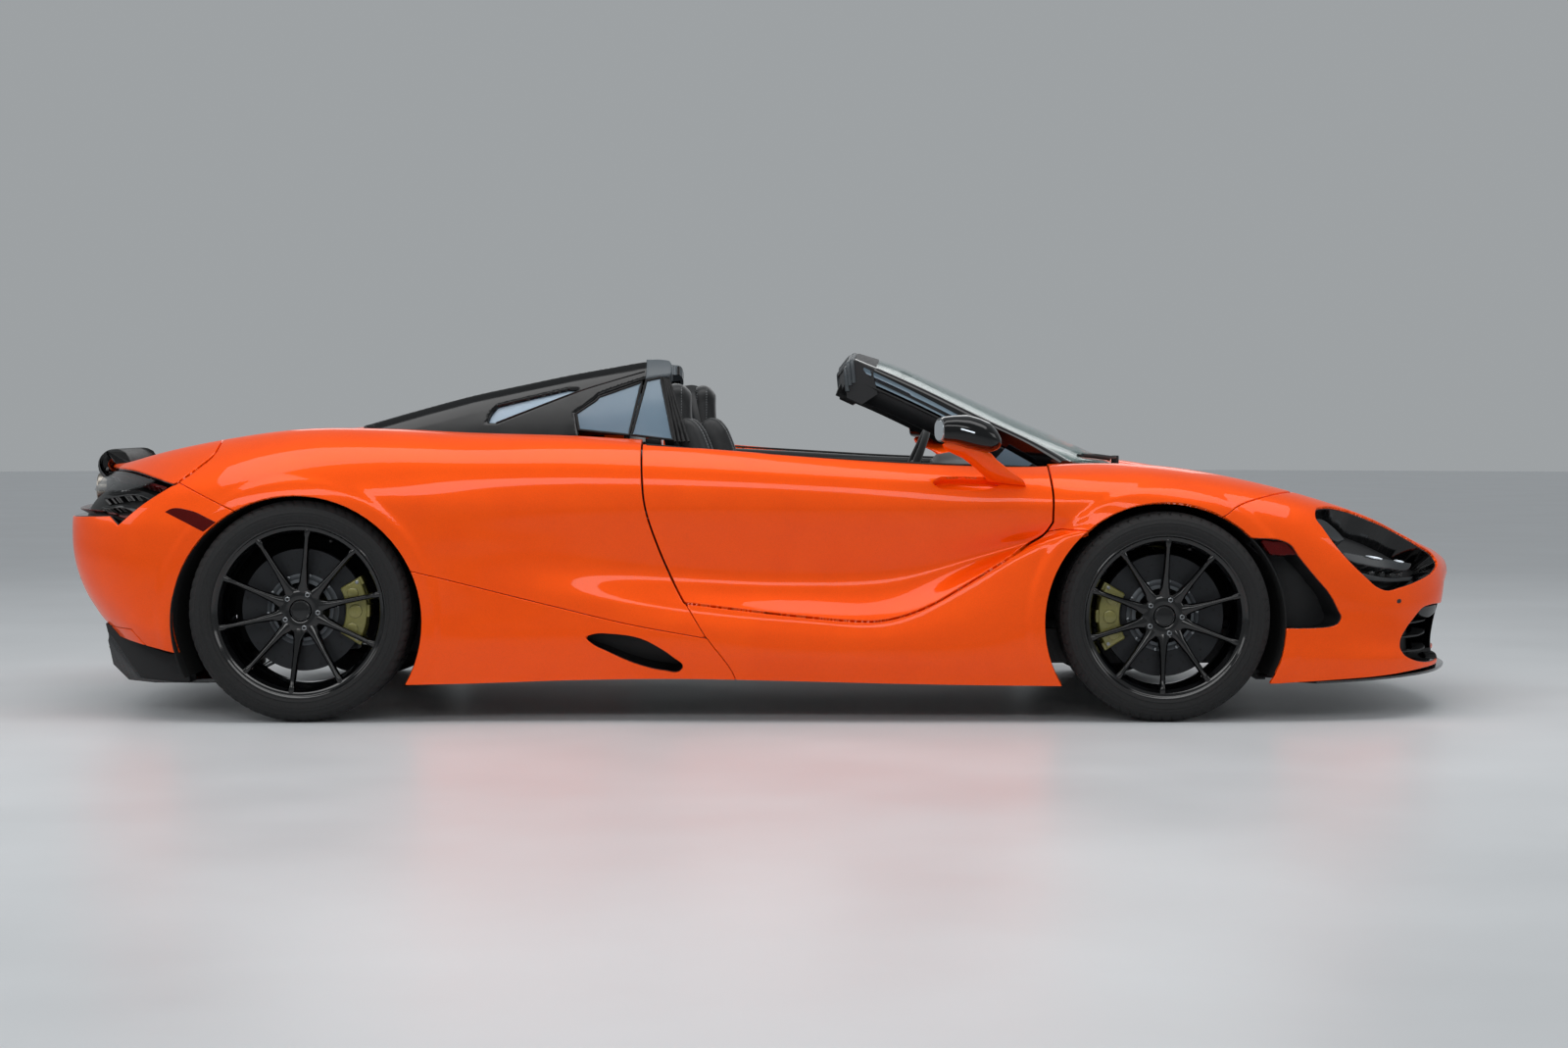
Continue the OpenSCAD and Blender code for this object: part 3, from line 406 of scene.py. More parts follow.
# ---------------------------------------------------------------------------------------------
# Making meshes
# ---------------------------------------------------------------------------------------------
def only(obj: bpy.types.Object) -> bpy.types.Object:
    """Select one object alone and make it active."""
    for other in bpy.context.view_layer.objects:
        other.select_set(False)
    obj.select_set(True)
    bpy.context.view_layer.objects.active = obj
    return obj


def clear_selection() -> None:
    """Leave nothing selected, so that an operator acts on its own new piece."""
    for other in bpy.context.view_layer.objects:
        other.select_set(False)
    bpy.context.view_layer.objects.active = None


def settle(obj: bpy.types.Object) -> bpy.types.Object:
    """Put an object's place into its mesh, so that it stands at the origin."""
    obj.data.transform(obj.matrix_basis)
    obj.matrix_basis = Matrix.Identity(4)
    return obj


def mesh_object(name: str, points: Sequence, faces: Sequence) -> bpy.types.Object:
    """Make an object from points in millimetres.

    Args:
        name: name of the piece.
        points: corner points in millimetres.
        faces: corner numbers of each face.

    Returns:
        The new object.
    """
    data = bpy.data.meshes.new(name)
    data.from_pydata((np.asarray(points, dtype=float) * MM).tolist(), [], [list(map(int, f)) for f in faces])
    data.validate()
    obj = bpy.data.objects.new(name, data)
    bpy.context.collection.objects.link(obj)
    return obj


def smooth(obj: bpy.types.Object, angle: float = 35.0) -> bpy.types.Object:
    """Shade smooth below an angle in degrees."""
    only(obj)
    bpy.ops.object.shade_smooth_by_angle(angle=math.radians(angle), keep_sharp_edges=True)
    return obj


def outwards(obj: bpy.types.Object, merge_mm: float = 0.02) -> bpy.types.Object:
    """Merge doubles and turn every face outwards."""
    only(obj)
    bpy.ops.object.mode_set(mode="EDIT")
    bpy.ops.mesh.select_all(action="SELECT")
    bpy.ops.mesh.remove_doubles(threshold=merge_mm * MM)
    bpy.ops.mesh.normals_make_consistent(inside=False)
    bpy.ops.object.mode_set(mode="OBJECT")
    return obj


def modify(obj: bpy.types.Object, kind: str, **settings) -> bpy.types.Object:
    """Add a modifier and apply it at once.

    Args:
        obj: object that gets it.
        kind: Blender's modifier type.
        settings: attributes of the modifier.

    Returns:
        The object.
    """
    only(obj)
    made = obj.modifiers.new(kind.title(), kind)
    for key, value in settings.items():
        setattr(made, key, value)
    bpy.ops.object.modifier_apply(modifier=made.name)
    return obj


def bevelled(obj: bpy.types.Object, width_mm: float, segments: int = 2, angle: float = 35.0) -> bpy.types.Object:
    """Round the edges and shade the piece smooth."""
    modify(obj, "BEVEL", width=width_mm * MM, segments=segments, limit_method="ANGLE",
           angle_limit=math.radians(angle), harden_normals=False)
    return smooth(obj, 40)


def dressed(obj: bpy.types.Object, finish: Finish) -> bpy.types.Object:
    """Give an object one finish."""
    obj.data.materials.clear()
    obj.data.materials.append(finish.make())
    return obj


def joined(name: str, parts: Sequence[bpy.types.Object]) -> bpy.types.Object:
    """Join several meshes into one piece, each keeping its finish."""
    clear_selection()
    for part in parts:
        part.select_set(True)
    bpy.context.view_layer.objects.active = parts[0]
    bpy.ops.object.join()
    parts[0].name = name
    parts[0].data.name = name
    return parts[0]


def copied(obj: bpy.types.Object, move: Matrix, name: str) -> bpy.types.Object:
    """Copy an object with its own mesh, moved by a matrix in metres."""
    twin = obj.copy()
    twin.data = obj.data.copy()
    twin.name = name
    twin.data.name = name
    bpy.context.collection.objects.link(twin)
    twin.data.transform(move)
    if move.determinant() < 0:
        twin.data.flip_normals()
    return twin


def mirrored(obj: bpy.types.Object, name: str) -> bpy.types.Object:
    """Copy an object to the other side of the car."""
    return copied(obj, Matrix.Diagonal((1.0, -1.0, 1.0, 1.0)), name)


def both_sides(name: str, obj: bpy.types.Object) -> bpy.types.Object:
    """Join an object with its mirror image as one piece."""
    return joined(name, [obj, mirrored(obj, name + "_twin")])


def turned(obj: bpy.types.Object, centre: Pt3, axis: Pt3, degrees: float) -> bpy.types.Object:
    """Turn a mesh about an axis through a point in millimetres."""
    middle = Vector(centre) * MM
    spin = Matrix.Translation(middle) @ Matrix.Rotation(math.radians(degrees), 4, Vector(axis)) \
        @ Matrix.Translation(-middle)
    obj.data.transform(spin)
    return obj


def lathe(name: str, profile: Sequence[Pt2], centre: Pt3, axis: str = "Y", steps: int = 96,
          degrees: float = 360.0) -> bpy.types.Object:
    """Spin a profile about an axis.

    Args:
        name: name of the piece.
        profile: pairs of radius and height along the axis, in millimetres.
        centre: point on the axis.
        axis: X, Y or Z.
        steps: faces round the axis.
        degrees: how far it spins.

    Returns:
        The turned piece, closed if its profile is.
    """
    points = [(r, h, 0.0) if axis == "Y" else (h, r, 0.0) if axis == "X" else (r, 0.0, h) for r, h in profile]
    data = bpy.data.meshes.new(name)
    edges = [(i, (i + 1) % len(points)) for i in range(len(points))]
    if abs(profile[0][0]) < 1e-6 and abs(profile[-1][0]) < 1e-6:
        edges.pop()
    data.from_pydata([tuple(c * MM for c in p) for p in points], edges, [])
    obj = bpy.data.objects.new(name, data)
    bpy.context.collection.objects.link(obj)
    only(obj)
    bpy.ops.object.mode_set(mode="EDIT")
    bpy.ops.mesh.select_all(action="SELECT")
    turn_axis = {"X": (1, 0, 0), "Y": (0, 1, 0), "Z": (0, 0, 1)}[axis]
    bpy.ops.mesh.spin(steps=steps, angle=math.radians(degrees), center=(0, 0, 0), axis=turn_axis)
    bpy.ops.object.mode_set(mode="OBJECT")
    outwards(obj)
    obj.data.transform(Matrix.Translation(Vector(centre) * MM))
    return obj


def prism(name: str, outline: Sequence[Pt2], low: float, high: float, plane: str = "XZ") -> bpy.types.Object:
    """Extrude an outline.

    Args:
        name: name of the piece.
        outline: corners in the plane, in millimetres.
        low: where the piece starts across the plane.
        high: where it ends.
        plane: XZ for a side view, XY for a plan, YZ for a front view.

    Returns:
        The closed piece.
    """
    place = {"XZ": lambda a, b, c: (a, c, b), "XY": lambda a, b, c: (a, b, c), "YZ": lambda a, b, c: (c, a, b)}[plane]
    data = bpy.data.meshes.new(name)
    data.from_pydata([tuple(v * MM for v in place(a, b, low)) for a, b in outline], [], [list(range(len(outline)))])
    obj = bpy.data.objects.new(name, data)
    bpy.context.collection.objects.link(obj)
    only(obj)
    bpy.ops.object.mode_set(mode="EDIT")
    bpy.ops.mesh.select_all(action="SELECT")
    shift = tuple(v * MM for v in place(0.0, 0.0, high - low))
    bpy.ops.mesh.extrude_region_move(TRANSFORM_OT_translate={"value": shift})
    bpy.ops.mesh.select_all(action="SELECT")
    bpy.ops.mesh.normals_make_consistent(inside=False)
    bpy.ops.object.mode_set(mode="OBJECT")
    return obj


def cuboid(name: str, low: Pt3, high: Pt3, round_mm: float = 0.0, segments: int = 2) -> bpy.types.Object:
    """Add a block between two corners, with rounded edges."""
    clear_selection()
    middle = [(a + b) / 2 * MM for a, b in zip(low, high)]
    bpy.ops.mesh.primitive_cube_add(size=1.0, location=middle)
    obj = bpy.context.object
    obj.name = name
    obj.data.name = name
    obj.scale = [(b - a) * MM for a, b in zip(low, high)]
    settle(obj)
    return bevelled(obj, round_mm, segments) if round_mm else obj


def rod(name: str, start: Pt3, end: Pt3, radius: float, sides: int = 24, round_mm: float = 0.0) -> bpy.types.Object:
    """Add a round bar between two points."""
    clear_selection()
    a, b = Vector(start) * MM, Vector(end) * MM
    bpy.ops.mesh.primitive_cylinder_add(vertices=sides, radius=radius * MM, depth=(b - a).length)
    obj = bpy.context.object
    obj.name = name
    obj.data.name = name
    obj.matrix_basis = Matrix.Translation((a + b) / 2) @ (b - a).to_track_quat("Z", "Y").to_matrix().to_4x4()
    settle(obj)
    return bevelled(obj, round_mm) if round_mm else smooth(obj)


def tube(name: str, path: Sequence[Pt3], radius: float, closed: bool = False, sides: int = 8,
         steps: int = 4) -> bpy.types.Object:
    """Run a round bead along a path.

    Args:
        name: name of the piece.
        path: points in millimetres.
        radius: radius of the bead.
        closed: whether the path joins up.
        sides: faces round it.
        steps: spline pieces between two points.

    Returns:
        A mesh with capped ends.
    """
    curve = bpy.data.curves.new(name, "CURVE")
    curve.dimensions = "3D"
    spline = curve.splines.new("NURBS" if steps > 1 else "POLY")
    spline.points.add(len(path) - 1)
    for point, place in zip(spline.points, path):
        point.co = (*[c * MM for c in place], 1.0)
    spline.use_cyclic_u = closed
    if steps > 1:
        spline.order_u = 3
        spline.use_endpoint_u = not closed
        spline.resolution_u = steps
    curve.bevel_depth = radius * MM
    curve.bevel_resolution = max(0, sides // 4 - 1)
    curve.use_fill_caps = not closed
    holder = bpy.data.objects.new(name, curve)
    bpy.context.collection.objects.link(holder)
    only(holder)
    bpy.ops.object.convert(target="MESH")
    obj = bpy.context.object
    obj.name = name
    obj.data.name = name
    return smooth(obj, 60)


def cut_by(obj: bpy.types.Object, tool: bpy.types.Object, operation: str = "DIFFERENCE") -> bpy.types.Object:
    """Cut one mesh with another, which is used up."""
    modify(obj, "BOOLEAN", object=tool, operation=operation, solver="EXACT")
    data = tool.data
    bpy.data.objects.remove(tool)
    bpy.data.meshes.remove(data)
    return obj


def given(obj: bpy.types.Object, body: str, finish_slot: str, *nodes: str) -> bpy.types.Object:
    """Hang a piece on the body that it rides on and hide the construction nodes that it stands for.

    Args:
        obj: finished piece.
        body: body that it moves with.
        finish_slot: slot of the record; not used.
        nodes: construction nodes that it replaces.

    Returns:
        The piece.
    """
    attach(obj, body)
    if nodes:
        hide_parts(*nodes)
    log.info("%-28s %7d faces on %s", obj.name, len(obj.data.polygons), body)
    return obj


# ---------------------------------------------------------------------------------------------
# Flat outlines with a signed distance
# ---------------------------------------------------------------------------------------------
def flowing(points: Sequence[Pt2], corners: Iterable[int] = (), closed: bool = True, fine: int = 8) -> np.ndarray:
    """Run a smooth line through points, with sharp corners only where named.

    Args:
        points: points of the line.
        corners: numbers of the points where the line turns sharply.
        closed: whether it joins up.
        fine: steps between two points.

    Returns:
        Points of the line, as rows.
    """
    p = np.asarray(points, dtype=float)
    n = len(p)
    sharp = set(corners)
    out = []
    for i in range(n if closed else n - 1):
        a, b = p[i], p[(i + 1) % n]
        length = np.linalg.norm(b - a)

        def tangent(k: int) -> np.ndarray:
            """Unit direction of the line at a point, on the side of the present step."""
            if k % n in sharp or (not closed and k in (0, n - 1)):
                return (b - a) / max(length, 1e-9)
            before, here, after = p[(k - 1) % n], p[k % n], p[(k + 1) % n]
            d0, d1 = here - before, after - here
            l0, l1 = np.linalg.norm(d0) + 1e-9, np.linalg.norm(d1) + 1e-9
            return (d0 / l0 * l1 + d1 / l1 * l0) / (l0 + l1)

        m0, m1 = tangent(i) * length, tangent(i + 1) * length
        for f in np.arange(fine) / fine:
            out.append((2 * f ** 3 - 3 * f ** 2 + 1) * a + (f ** 3 - 2 * f ** 2 + f) * m0
                       + (3 * f ** 2 - 2 * f ** 3) * b + (f ** 3 - f ** 2) * m1)
    if not closed:
        out.append(p[-1])
    return np.array(out)


@dataclass
class Outline:
    """Closed outline in one view of the car.

    Attributes:
        line: points of the closed line, in millimetres.
        axes: the two axes of the view, as column numbers.
        grow: how far it is offset outwards.
    """

    line: np.ndarray
    axes: tuple[int, int] = (0, 2)
    grow: float = 0.0

    def wider(self, by: float) -> "Outline":
        """Same outline, offset outwards by so many millimetres."""
        return Outline(self.line, self.axes, self.grow + by)

    def distance(self, points: np.ndarray) -> tuple[np.ndarray, np.ndarray]:
        """Signed distance of points, negative inside.

        Args:
            points: rows of X, Y, Z.

        Returns:
            Distances, and the outward direction of each in space.
        """
        q = points[:, list(self.axes)]
        a = self.line
        b = np.roll(a, -1, axis=0)
        best = np.full(len(q), 1e18)
        inside = np.zeros(len(q), dtype=bool)
        near = np.zeros_like(q)
        for (ax, ay), (bx, by) in zip(a, b):
            dx, dy = bx - ax, by - ay
            span = dx * dx + dy * dy
            if span < 1e-12:
                continue
            f = np.clip(((q[:, 0] - ax) * dx + (q[:, 1] - ay) * dy) / span, 0, 1)
            cx, cy = ax + f * dx, ay + f * dy
            d = (q[:, 0] - cx) ** 2 + (q[:, 1] - cy) ** 2
            closer = d < best
            best = np.where(closer, d, best)
            near[closer, 0], near[closer, 1] = cx[closer], cy[closer]
            if ay != by:
                crossing = ((ay > q[:, 1]) != (by > q[:, 1])) & (q[:, 0] < dx * (q[:, 1] - ay) / dy + ax)
                inside ^= crossing
        dist = np.sqrt(best)
        away = (q - near) / np.maximum(dist, 1e-6)[:, None]
        away[inside] *= -1
        signed = np.where(inside, -dist, dist) - self.grow
        out = np.zeros((len(q), 3))
        out[:, self.axes[0]], out[:, self.axes[1]] = away[:, 0], away[:, 1]
        return signed, out


def circle(x: float, z: float, radius: float, count: int = 72) -> Outline:
    """Round outline in side view."""
    a = np.linspace(0, 2 * np.pi, count, endpoint=False)
    return Outline(np.stack([x + radius * np.cos(a), z + radius * np.sin(a)], axis=1))


# ---------------------------------------------------------------------------------------------
# Body surface
# ---------------------------------------------------------------------------------------------
@dataclass
class Patch:
    """Triangles of a curved sheet, with its own normals.

    Attributes:
        points: rows of X, Y, Z in millimetres.
        normals: unit normals of the sheet.
        tris: corner numbers.
        depth: distance of each point inside the panel's edge, never below zero.
        away: direction from each point towards the nearest edge.
    """

    points: np.ndarray
    normals: np.ndarray
    tris: np.ndarray
    depth: Optional[np.ndarray] = None
    away: Optional[np.ndarray] = None

    def split(self, value: np.ndarray, keep_outside: bool) -> "Patch":
        """Cut the triangles along the line where a value is zero.

        Args:
            value: one number at each point, negative on the side that stays.
            keep_outside: whether the other side stays as well.

        Returns:
            The new sheet.
        """
        value = np.where(np.abs(value) < 1e-5, -1e-5, value)
        low = value < 0
        count = low[self.tris].sum(axis=1)
        whole = self.tris[count == 3]
        outside = self.tris[count == 0]
        mixed = self.tris[(count == 1) | (count == 2)]
        points, normals = self.points, self.normals
        new_tris = [whole]
        if keep_outside:
            new_tris.append(outside)
        depth, away = self.depth, self.away
        if len(mixed):
            flags = low[mixed]
            single = flags.sum(axis=1) == 1
            lone = np.where(single, np.argmax(flags, axis=1), np.argmax(~flags, axis=1))
            rows = np.arange(len(mixed))
            a = mixed[rows, lone]
            b = mixed[rows, (lone + 1) % 3]
            c = mixed[rows, (lone + 2) % 3]
            pairs = np.concatenate([np.stack([a, b], 1), np.stack([a, c], 1)])
            ordered = np.sort(pairs, axis=1)
            unique, back = np.unique(ordered, axis=0, return_inverse=True)
            back = back.reshape(-1)
            va, vb = value[unique[:, 0]], value[unique[:, 1]]
            f = (va / (va - vb))[:, None]
            base = len(points)
            points = np.concatenate([points, points[unique[:, 0]] * (1 - f) + points[unique[:, 1]] * f])
            mid = normals[unique[:, 0]] * (1 - f) + normals[unique[:, 1]] * f
            normals = np.concatenate([normals, mid / np.linalg.norm(mid, axis=1, keepdims=True)])
            if depth is not None:
                depth = np.concatenate([depth, depth[unique[:, 0]] * (1 - f[:, 0]) + depth[unique[:, 1]] * f[:, 0]])
                blend = away[unique[:, 0]] * (1 - f) + away[unique[:, 1]] * f
                away = np.concatenate([away, blend])
            ab, ac = base + back[:len(mixed)], base + back[len(mixed):]
            tip = np.stack([a, ab, ac], 1)
            wide1, wide2 = np.stack([ab, b, c], 1), np.stack([ab, c, ac], 1)
            new_tris.append(tip[single] if not keep_outside else tip)
            if keep_outside:
                new_tris += [wide1, wide2]
            else:
                new_tris += [wide1[~single], wide2[~single]]
        tris = np.concatenate(new_tris)
        used, inverse = np.unique(tris, return_inverse=True)
        return Patch(points[used], normals[used], inverse.reshape(-1, 3),
                     None if depth is None else depth[used], None if away is None else away[used])

    def inside(self, outline: Outline) -> "Patch":
        """Keep what is inside an outline."""
        value, _ = outline.distance(self.points)
        return self.split(value, False)

    def outside(self, outline: Outline) -> "Patch":
        """Keep what is outside an outline."""
        value, _ = outline.distance(self.points)
        return self.split(-value, False)

    def border_all(self) -> np.ndarray:
        """Edges that belong to one triangle, in its direction."""
        e = np.concatenate([self.tris[:, [0, 1]], self.tris[:, [1, 2]], self.tris[:, [2, 0]]])
        key = np.sort(e, axis=1)
        _, index, counts = np.unique(key, axis=0, return_index=True, return_counts=True)
        return e[index[counts == 1]]

    def border(self) -> np.ndarray:
        """Edges that belong to one triangle, away from the middle of the car."""
        e = self.border_all()
        middle = np.abs(self.points[:, 1]) < 0.05
        return e[~(middle[e[:, 0]] & middle[e[:, 1]])]


@dataclass
class BodySurface:
    """Outer surface of the car's left half, from lines that run from the nose to the tail.

    Attributes:
        stations: one row per station from the middle of the nose to the middle of the tail, each with the
            points of the lines from the centre of the deck down to the sill.
        step: spacing of the fine points, in millimetres.
        ease: length over which the surface is evened out along the car.
        flares: X, Z and radius of the wheel arches, each with a raised lip.
        flare_wide: width of the lip.
        flare_deep: how far it stands proud.
    """

    stations: np.ndarray
    step: float = 10.0
    ease: float = 36.0
    flares: Sequence[Pt3] = ()
    flare_wide: float = 62.0
    flare_deep: float = 5.0

    def crease(self, k: int, line: int) -> float:
        """How sharp a line is at a station, 1 being a hard edge."""
        if line == 10:
            return 0.6
        if line == 8:
            return 1.0 if 7 <= k <= 12 else 0.6 if k == 6 else 0.3 if k == 13 else 0.0
        if line == 3:
            return 0.5 if 7 <= k <= 12 else 0.0
        return 0.0

    def rails(self, t: np.ndarray) -> tuple[np.ndarray, np.ndarray]:
        """Points and creases of all lines at positions along the car.

        Args:
            t: station numbers with a fraction.

        Returns:
            Points by position and line, and creases by position and line.
        """
        p = self.stations
        last = len(p) - 1
        d = np.diff(p, axis=0)
        length = np.linalg.norm(d, axis=2, keepdims=True) + 1e-6
        unit = d / length
        m = np.empty_like(p)
        m[1:-1] = (unit[:-1] * length[1:] + unit[1:] * length[:-1]) / (length[1:] + length[:-1])
        for end, other in ((0, unit[0]), (last, unit[-1])):
            e = other.copy()
            wide = np.abs(e[:, 1]) >= 0.05
            e[wide] *= np.array([0.15, 1.0, 0.15])
            e[wide] /= np.linalg.norm(e[wide], axis=1, keepdims=True)
            m[end] = e
        i = np.clip(np.floor(t).astype(int), 0, last - 1)
        f = (t - i)[:, None, None]
        rails = (2 * f ** 3 - 3 * f ** 2 + 1) * p[i] + (f ** 3 - 2 * f ** 2 + f) * m[i] * length[i] \
            + (3 * f ** 2 - 2 * f ** 3) * p[i + 1] + (f ** 3 - f ** 2) * m[i + 1] * length[i]
        table = np.array([[self.crease(k, j) for j in range(p.shape[1])] for k in range(last + 1)])
        sharp = table[i] * (1 - f[:, :, 0]) + table[i + 1] * f[:, :, 0]
        return rails, sharp

    def grid(self, t: np.ndarray, v: np.ndarray) -> np.ndarray:
        """Points of the surface.

        Args:
            t: positions along the car.
            v: line numbers with a fraction.

        Returns:
            Points by position and line.
        """
        rails, sharp = self.rails(t)
        last = rails.shape[1] - 1
        d = np.diff(rails, axis=1)
        length = np.linalg.norm(d, axis=2, keepdims=True) + 1e-6
        unit = d / length
        mid = (unit[:, :-1] * length[:, 1:] + unit[:, 1:] * length[:, :-1]) / (length[:, 1:] + length[:, :-1])
        leave = np.empty_like(unit)
        reach = np.empty_like(unit)
        first = unit[:, 0].copy()
        centre = (np.abs(rails[:, 0, 1]) < 1) & (rails[:, 1, 1] > 1)
        first[centre] = np.array([0.0, 1.0, 0.0])
        leave[:, 0] = first
        c = sharp[:, 1:last, None]
        leave[:, 1:] = mid * (1 - c) + unit[:, 1:] * c
        reach[:, :-1] = mid * (1 - c) + unit[:, :-1] * c
        reach[:, -1] = unit[:, -1]
        k = np.clip(np.floor(v).astype(int), 0, last - 1)
        f = (v - k)[None, :, None]
        return (2 * f ** 3 - 3 * f ** 2 + 1) * rails[:, k] + (f ** 3 - 2 * f ** 2 + f) * leave[:, k] * length[:, k] \
            + (3 * f ** 2 - 2 * f ** 3) * rails[:, k + 1] + (f ** 3 - f ** 2) * reach[:, k] * length[:, k]

    def even(self, coarse: np.ndarray, axis: int) -> np.ndarray:
        """Parameters that step evenly along one direction of the surface."""
        gap = np.linalg.norm(np.diff(coarse, axis=axis), axis=2)
        return np.concatenate([[0.0], np.cumsum(np.quantile(gap, 0.7, axis=1 - axis))])

    def build(self) -> Patch:
        """Make the fine sheet with even steps, evened out along the car.

        Returns:
            The sheet of the left half.
        """
        last_t, last_v = self.stations.shape[0] - 1, self.stations.shape[1] - 1
        t, v = np.linspace(0, last_t, 1200), np.linspace(0, last_v, 500)
        coarse = self.grid(t, v)
        along, across = self.even(coarse, 0), self.even(coarse, 1)
        t = np.interp(np.linspace(0, along[-1], int(along[-1] / self.step)), along, t)
        v = np.interp(np.linspace(0, across[-1], int(across[-1] / self.step)), across, v)
        g = self.grid(t, v)
        flip = np.array([1.0, -1.0, 1.0])
        for axis, reach in ((0, self.ease), (1, 9.0)):
            width = reach / self.step
            pad = int(3 * width) + 1
            if axis == 0:
                head, tail = g[1:pad + 1][::-1] * flip, g[-pad - 1:-1][::-1] * flip
            else:
                head, tail = g[:, 1:pad + 1][:, ::-1] * flip, 2 * g[:, -1:] - g[:, -pad - 1:-1][:, ::-1]
            full = np.concatenate([head, g, tail], axis=axis)
            x = np.arange(-pad, pad + 1)
            kernel = np.exp(-0.5 * (x / max(width, 0.3)) ** 2)
            kernel /= kernel.sum()
            g = sum(w * (full[i:i + g.shape[0]] if axis == 0 else full[:, i:i + g.shape[1]])
                    for i, w in enumerate(kernel))
        for x, z, reach in self.flares:
            far = np.hypot(g[..., 0] - x, g[..., 2] - z) - reach
            lip = np.clip((self.flare_wide - far) / 26, 0, 1)
            lip = lip * lip * (3 - 2 * lip) * np.clip((g[..., 1] - 700) / 120, 0, 1)
            g[..., 1] += self.flare_deep * lip
        g[0, :, 1] = 0
        g[-1, :, 1] = 0
        deck = np.abs(g[:, 0, 1]) < 2
        g[deck, 0, 1] = 0
        gt = np.concatenate([(g[1:2] * flip), g, (g[-2:-1] * flip)], axis=0)
        gv = np.concatenate([(g[:, 1:2] * flip), g, 2 * g[:, -1:] - g[:, -2:-1]], axis=1)
        dt = gt[2:] - gt[:-2]
        dv = gv[:, 2:] - gv[:, :-2]
        n = np.cross(dv, dt)
        size = np.linalg.norm(n, axis=2, keepdims=True)
        n = n / np.maximum(size, 1e-9)
        self.t, self.v = t, v
        rows, cols = g.shape[:2]
        index = np.arange(rows * cols).reshape(rows, cols)
        a, b, c, d = index[:-1, :-1], index[1:, :-1], index[1:, 1:], index[:-1, 1:]
        tris = np.concatenate([np.stack([a, d, c], -1).reshape(-1, 3), np.stack([a, c, b], -1).reshape(-1, 3)])
        points, normals = g.reshape(-1, 3), n.reshape(-1, 3)
        middle = np.abs(points[:, 1]) < 0.05
        normals[middle, 1] = 0
        normals /= np.maximum(np.linalg.norm(normals, axis=1, keepdims=True), 1e-9)
        first = points[tris[:, 0]]
        area = np.linalg.norm(np.cross(points[tris[:, 1]] - first, points[tris[:, 2]] - first), axis=1)
        return Patch(points, normals, tris[area > 0.5])


@dataclass
class Panel:
    """Sheet of the body cut to its shut lines, with rounded edges and a thickness.

    Attributes:
        name: name of the piece.
        sheet: uncut sheet.
        keep: outlines that it must be inside.
        drop: outlines that it must be outside.
        thick: thickness, in millimetres.
        edge: radius of its edges.
        sink: how far the outer face lies below the body surface.
    """

    name: str
    sheet: Patch
    keep: Sequence[Outline] = ()
    drop: Sequence[Outline] = ()
    thick: float = 14.0
    edge: float = 2.5
    sink: float = 0.0

    def cut(self) -> Patch:
        """Cut the sheet and mark how far each point is from the nearest cut.

        Returns:
            The cut sheet.
        """
        patch = self.sheet
        for outline in self.keep:
            patch = patch.inside(outline)
        for outline in self.drop:
            patch = patch.outside(outline)
        self.measure(patch)
        for level in (0.22, 0.55, 1.0):
            patch = patch.split(patch.depth - self.edge * level, True)
            self.measure(patch)
        return patch

    def measure(self, patch: Patch) -> None:
        """Store each point's distance to the nearest cut, and the way out."""
        depth = np.full(len(patch.points), 1e9)
        away = np.zeros_like(patch.points)
        for outline, sign in [(o, 1.0) for o in self.keep] + [(o, -1.0) for o in self.drop]:
            value, out = outline.distance(patch.points)
            far = -value * sign
            near = far < depth
            depth[near] = far[near]
            away[near] = out[near] * sign
        patch.depth = np.maximum(depth, 0)
        patch.away = away

    def build(self, side: Optional[Side] = None) -> bpy.types.Object:
        """Make the piece.

        Args:
            side: left or right, or None for a piece that spans both.

        Returns:
            The closed piece.
        """
        patch = self.cut()
        n = patch.normals
        lie = patch.away - n * (patch.away * n).sum(axis=1, keepdims=True)
        lie /= np.maximum(np.linalg.norm(lie, axis=1, keepdims=True), 1e-6)
        k = np.clip((self.edge - patch.depth) / self.edge, 0, 1)[:, None]
        drop = self.edge * (1 - np.sqrt(np.maximum(1 - k ** 2, 0)))
        turn = n * np.sqrt(np.maximum(1 - k ** 2, 0)) + lie * k
        outer = patch.points - n * (drop + self.sink)
        inner = patch.points - n * (self.thick + self.sink)
        border = patch.border()
        count = len(outer)
        points = np.concatenate([outer, inner])
        walls = np.concatenate([np.stack([border[:, 1], border[:, 0], border[:, 0] + count], 1),
                                np.stack([border[:, 1], border[:, 0] + count, border[:, 1] + count], 1)])
        faces = np.concatenate([patch.tris, patch.tris[:, ::-1] + count, walls])
        side_n = np.concatenate([lie, lie])
        loops = np.concatenate([turn[patch.tris], -n[patch.tris[:, ::-1]], side_n[walls]])
        if side is None:
            flip = np.array([1.0, -1.0, 1.0])
            twin = np.arange(len(points)) + len(points)
            centre = np.abs(points[:, 1]) < 0.05
            twin[centre] = np.nonzero(centre)[0]
            points = np.concatenate([points, points * flip])
            faces = np.concatenate([faces, twin[faces][:, ::-1]])
            loops = np.concatenate([loops, loops[:, ::-1] * flip])
        elif side is Side.RIGHT:
            flip = np.array([1.0, -1.0, 1.0])
            points, faces, loops = points * flip, faces[:, ::-1], loops[:, ::-1] * flip
        return shell_object(self.name, points, faces, loops)


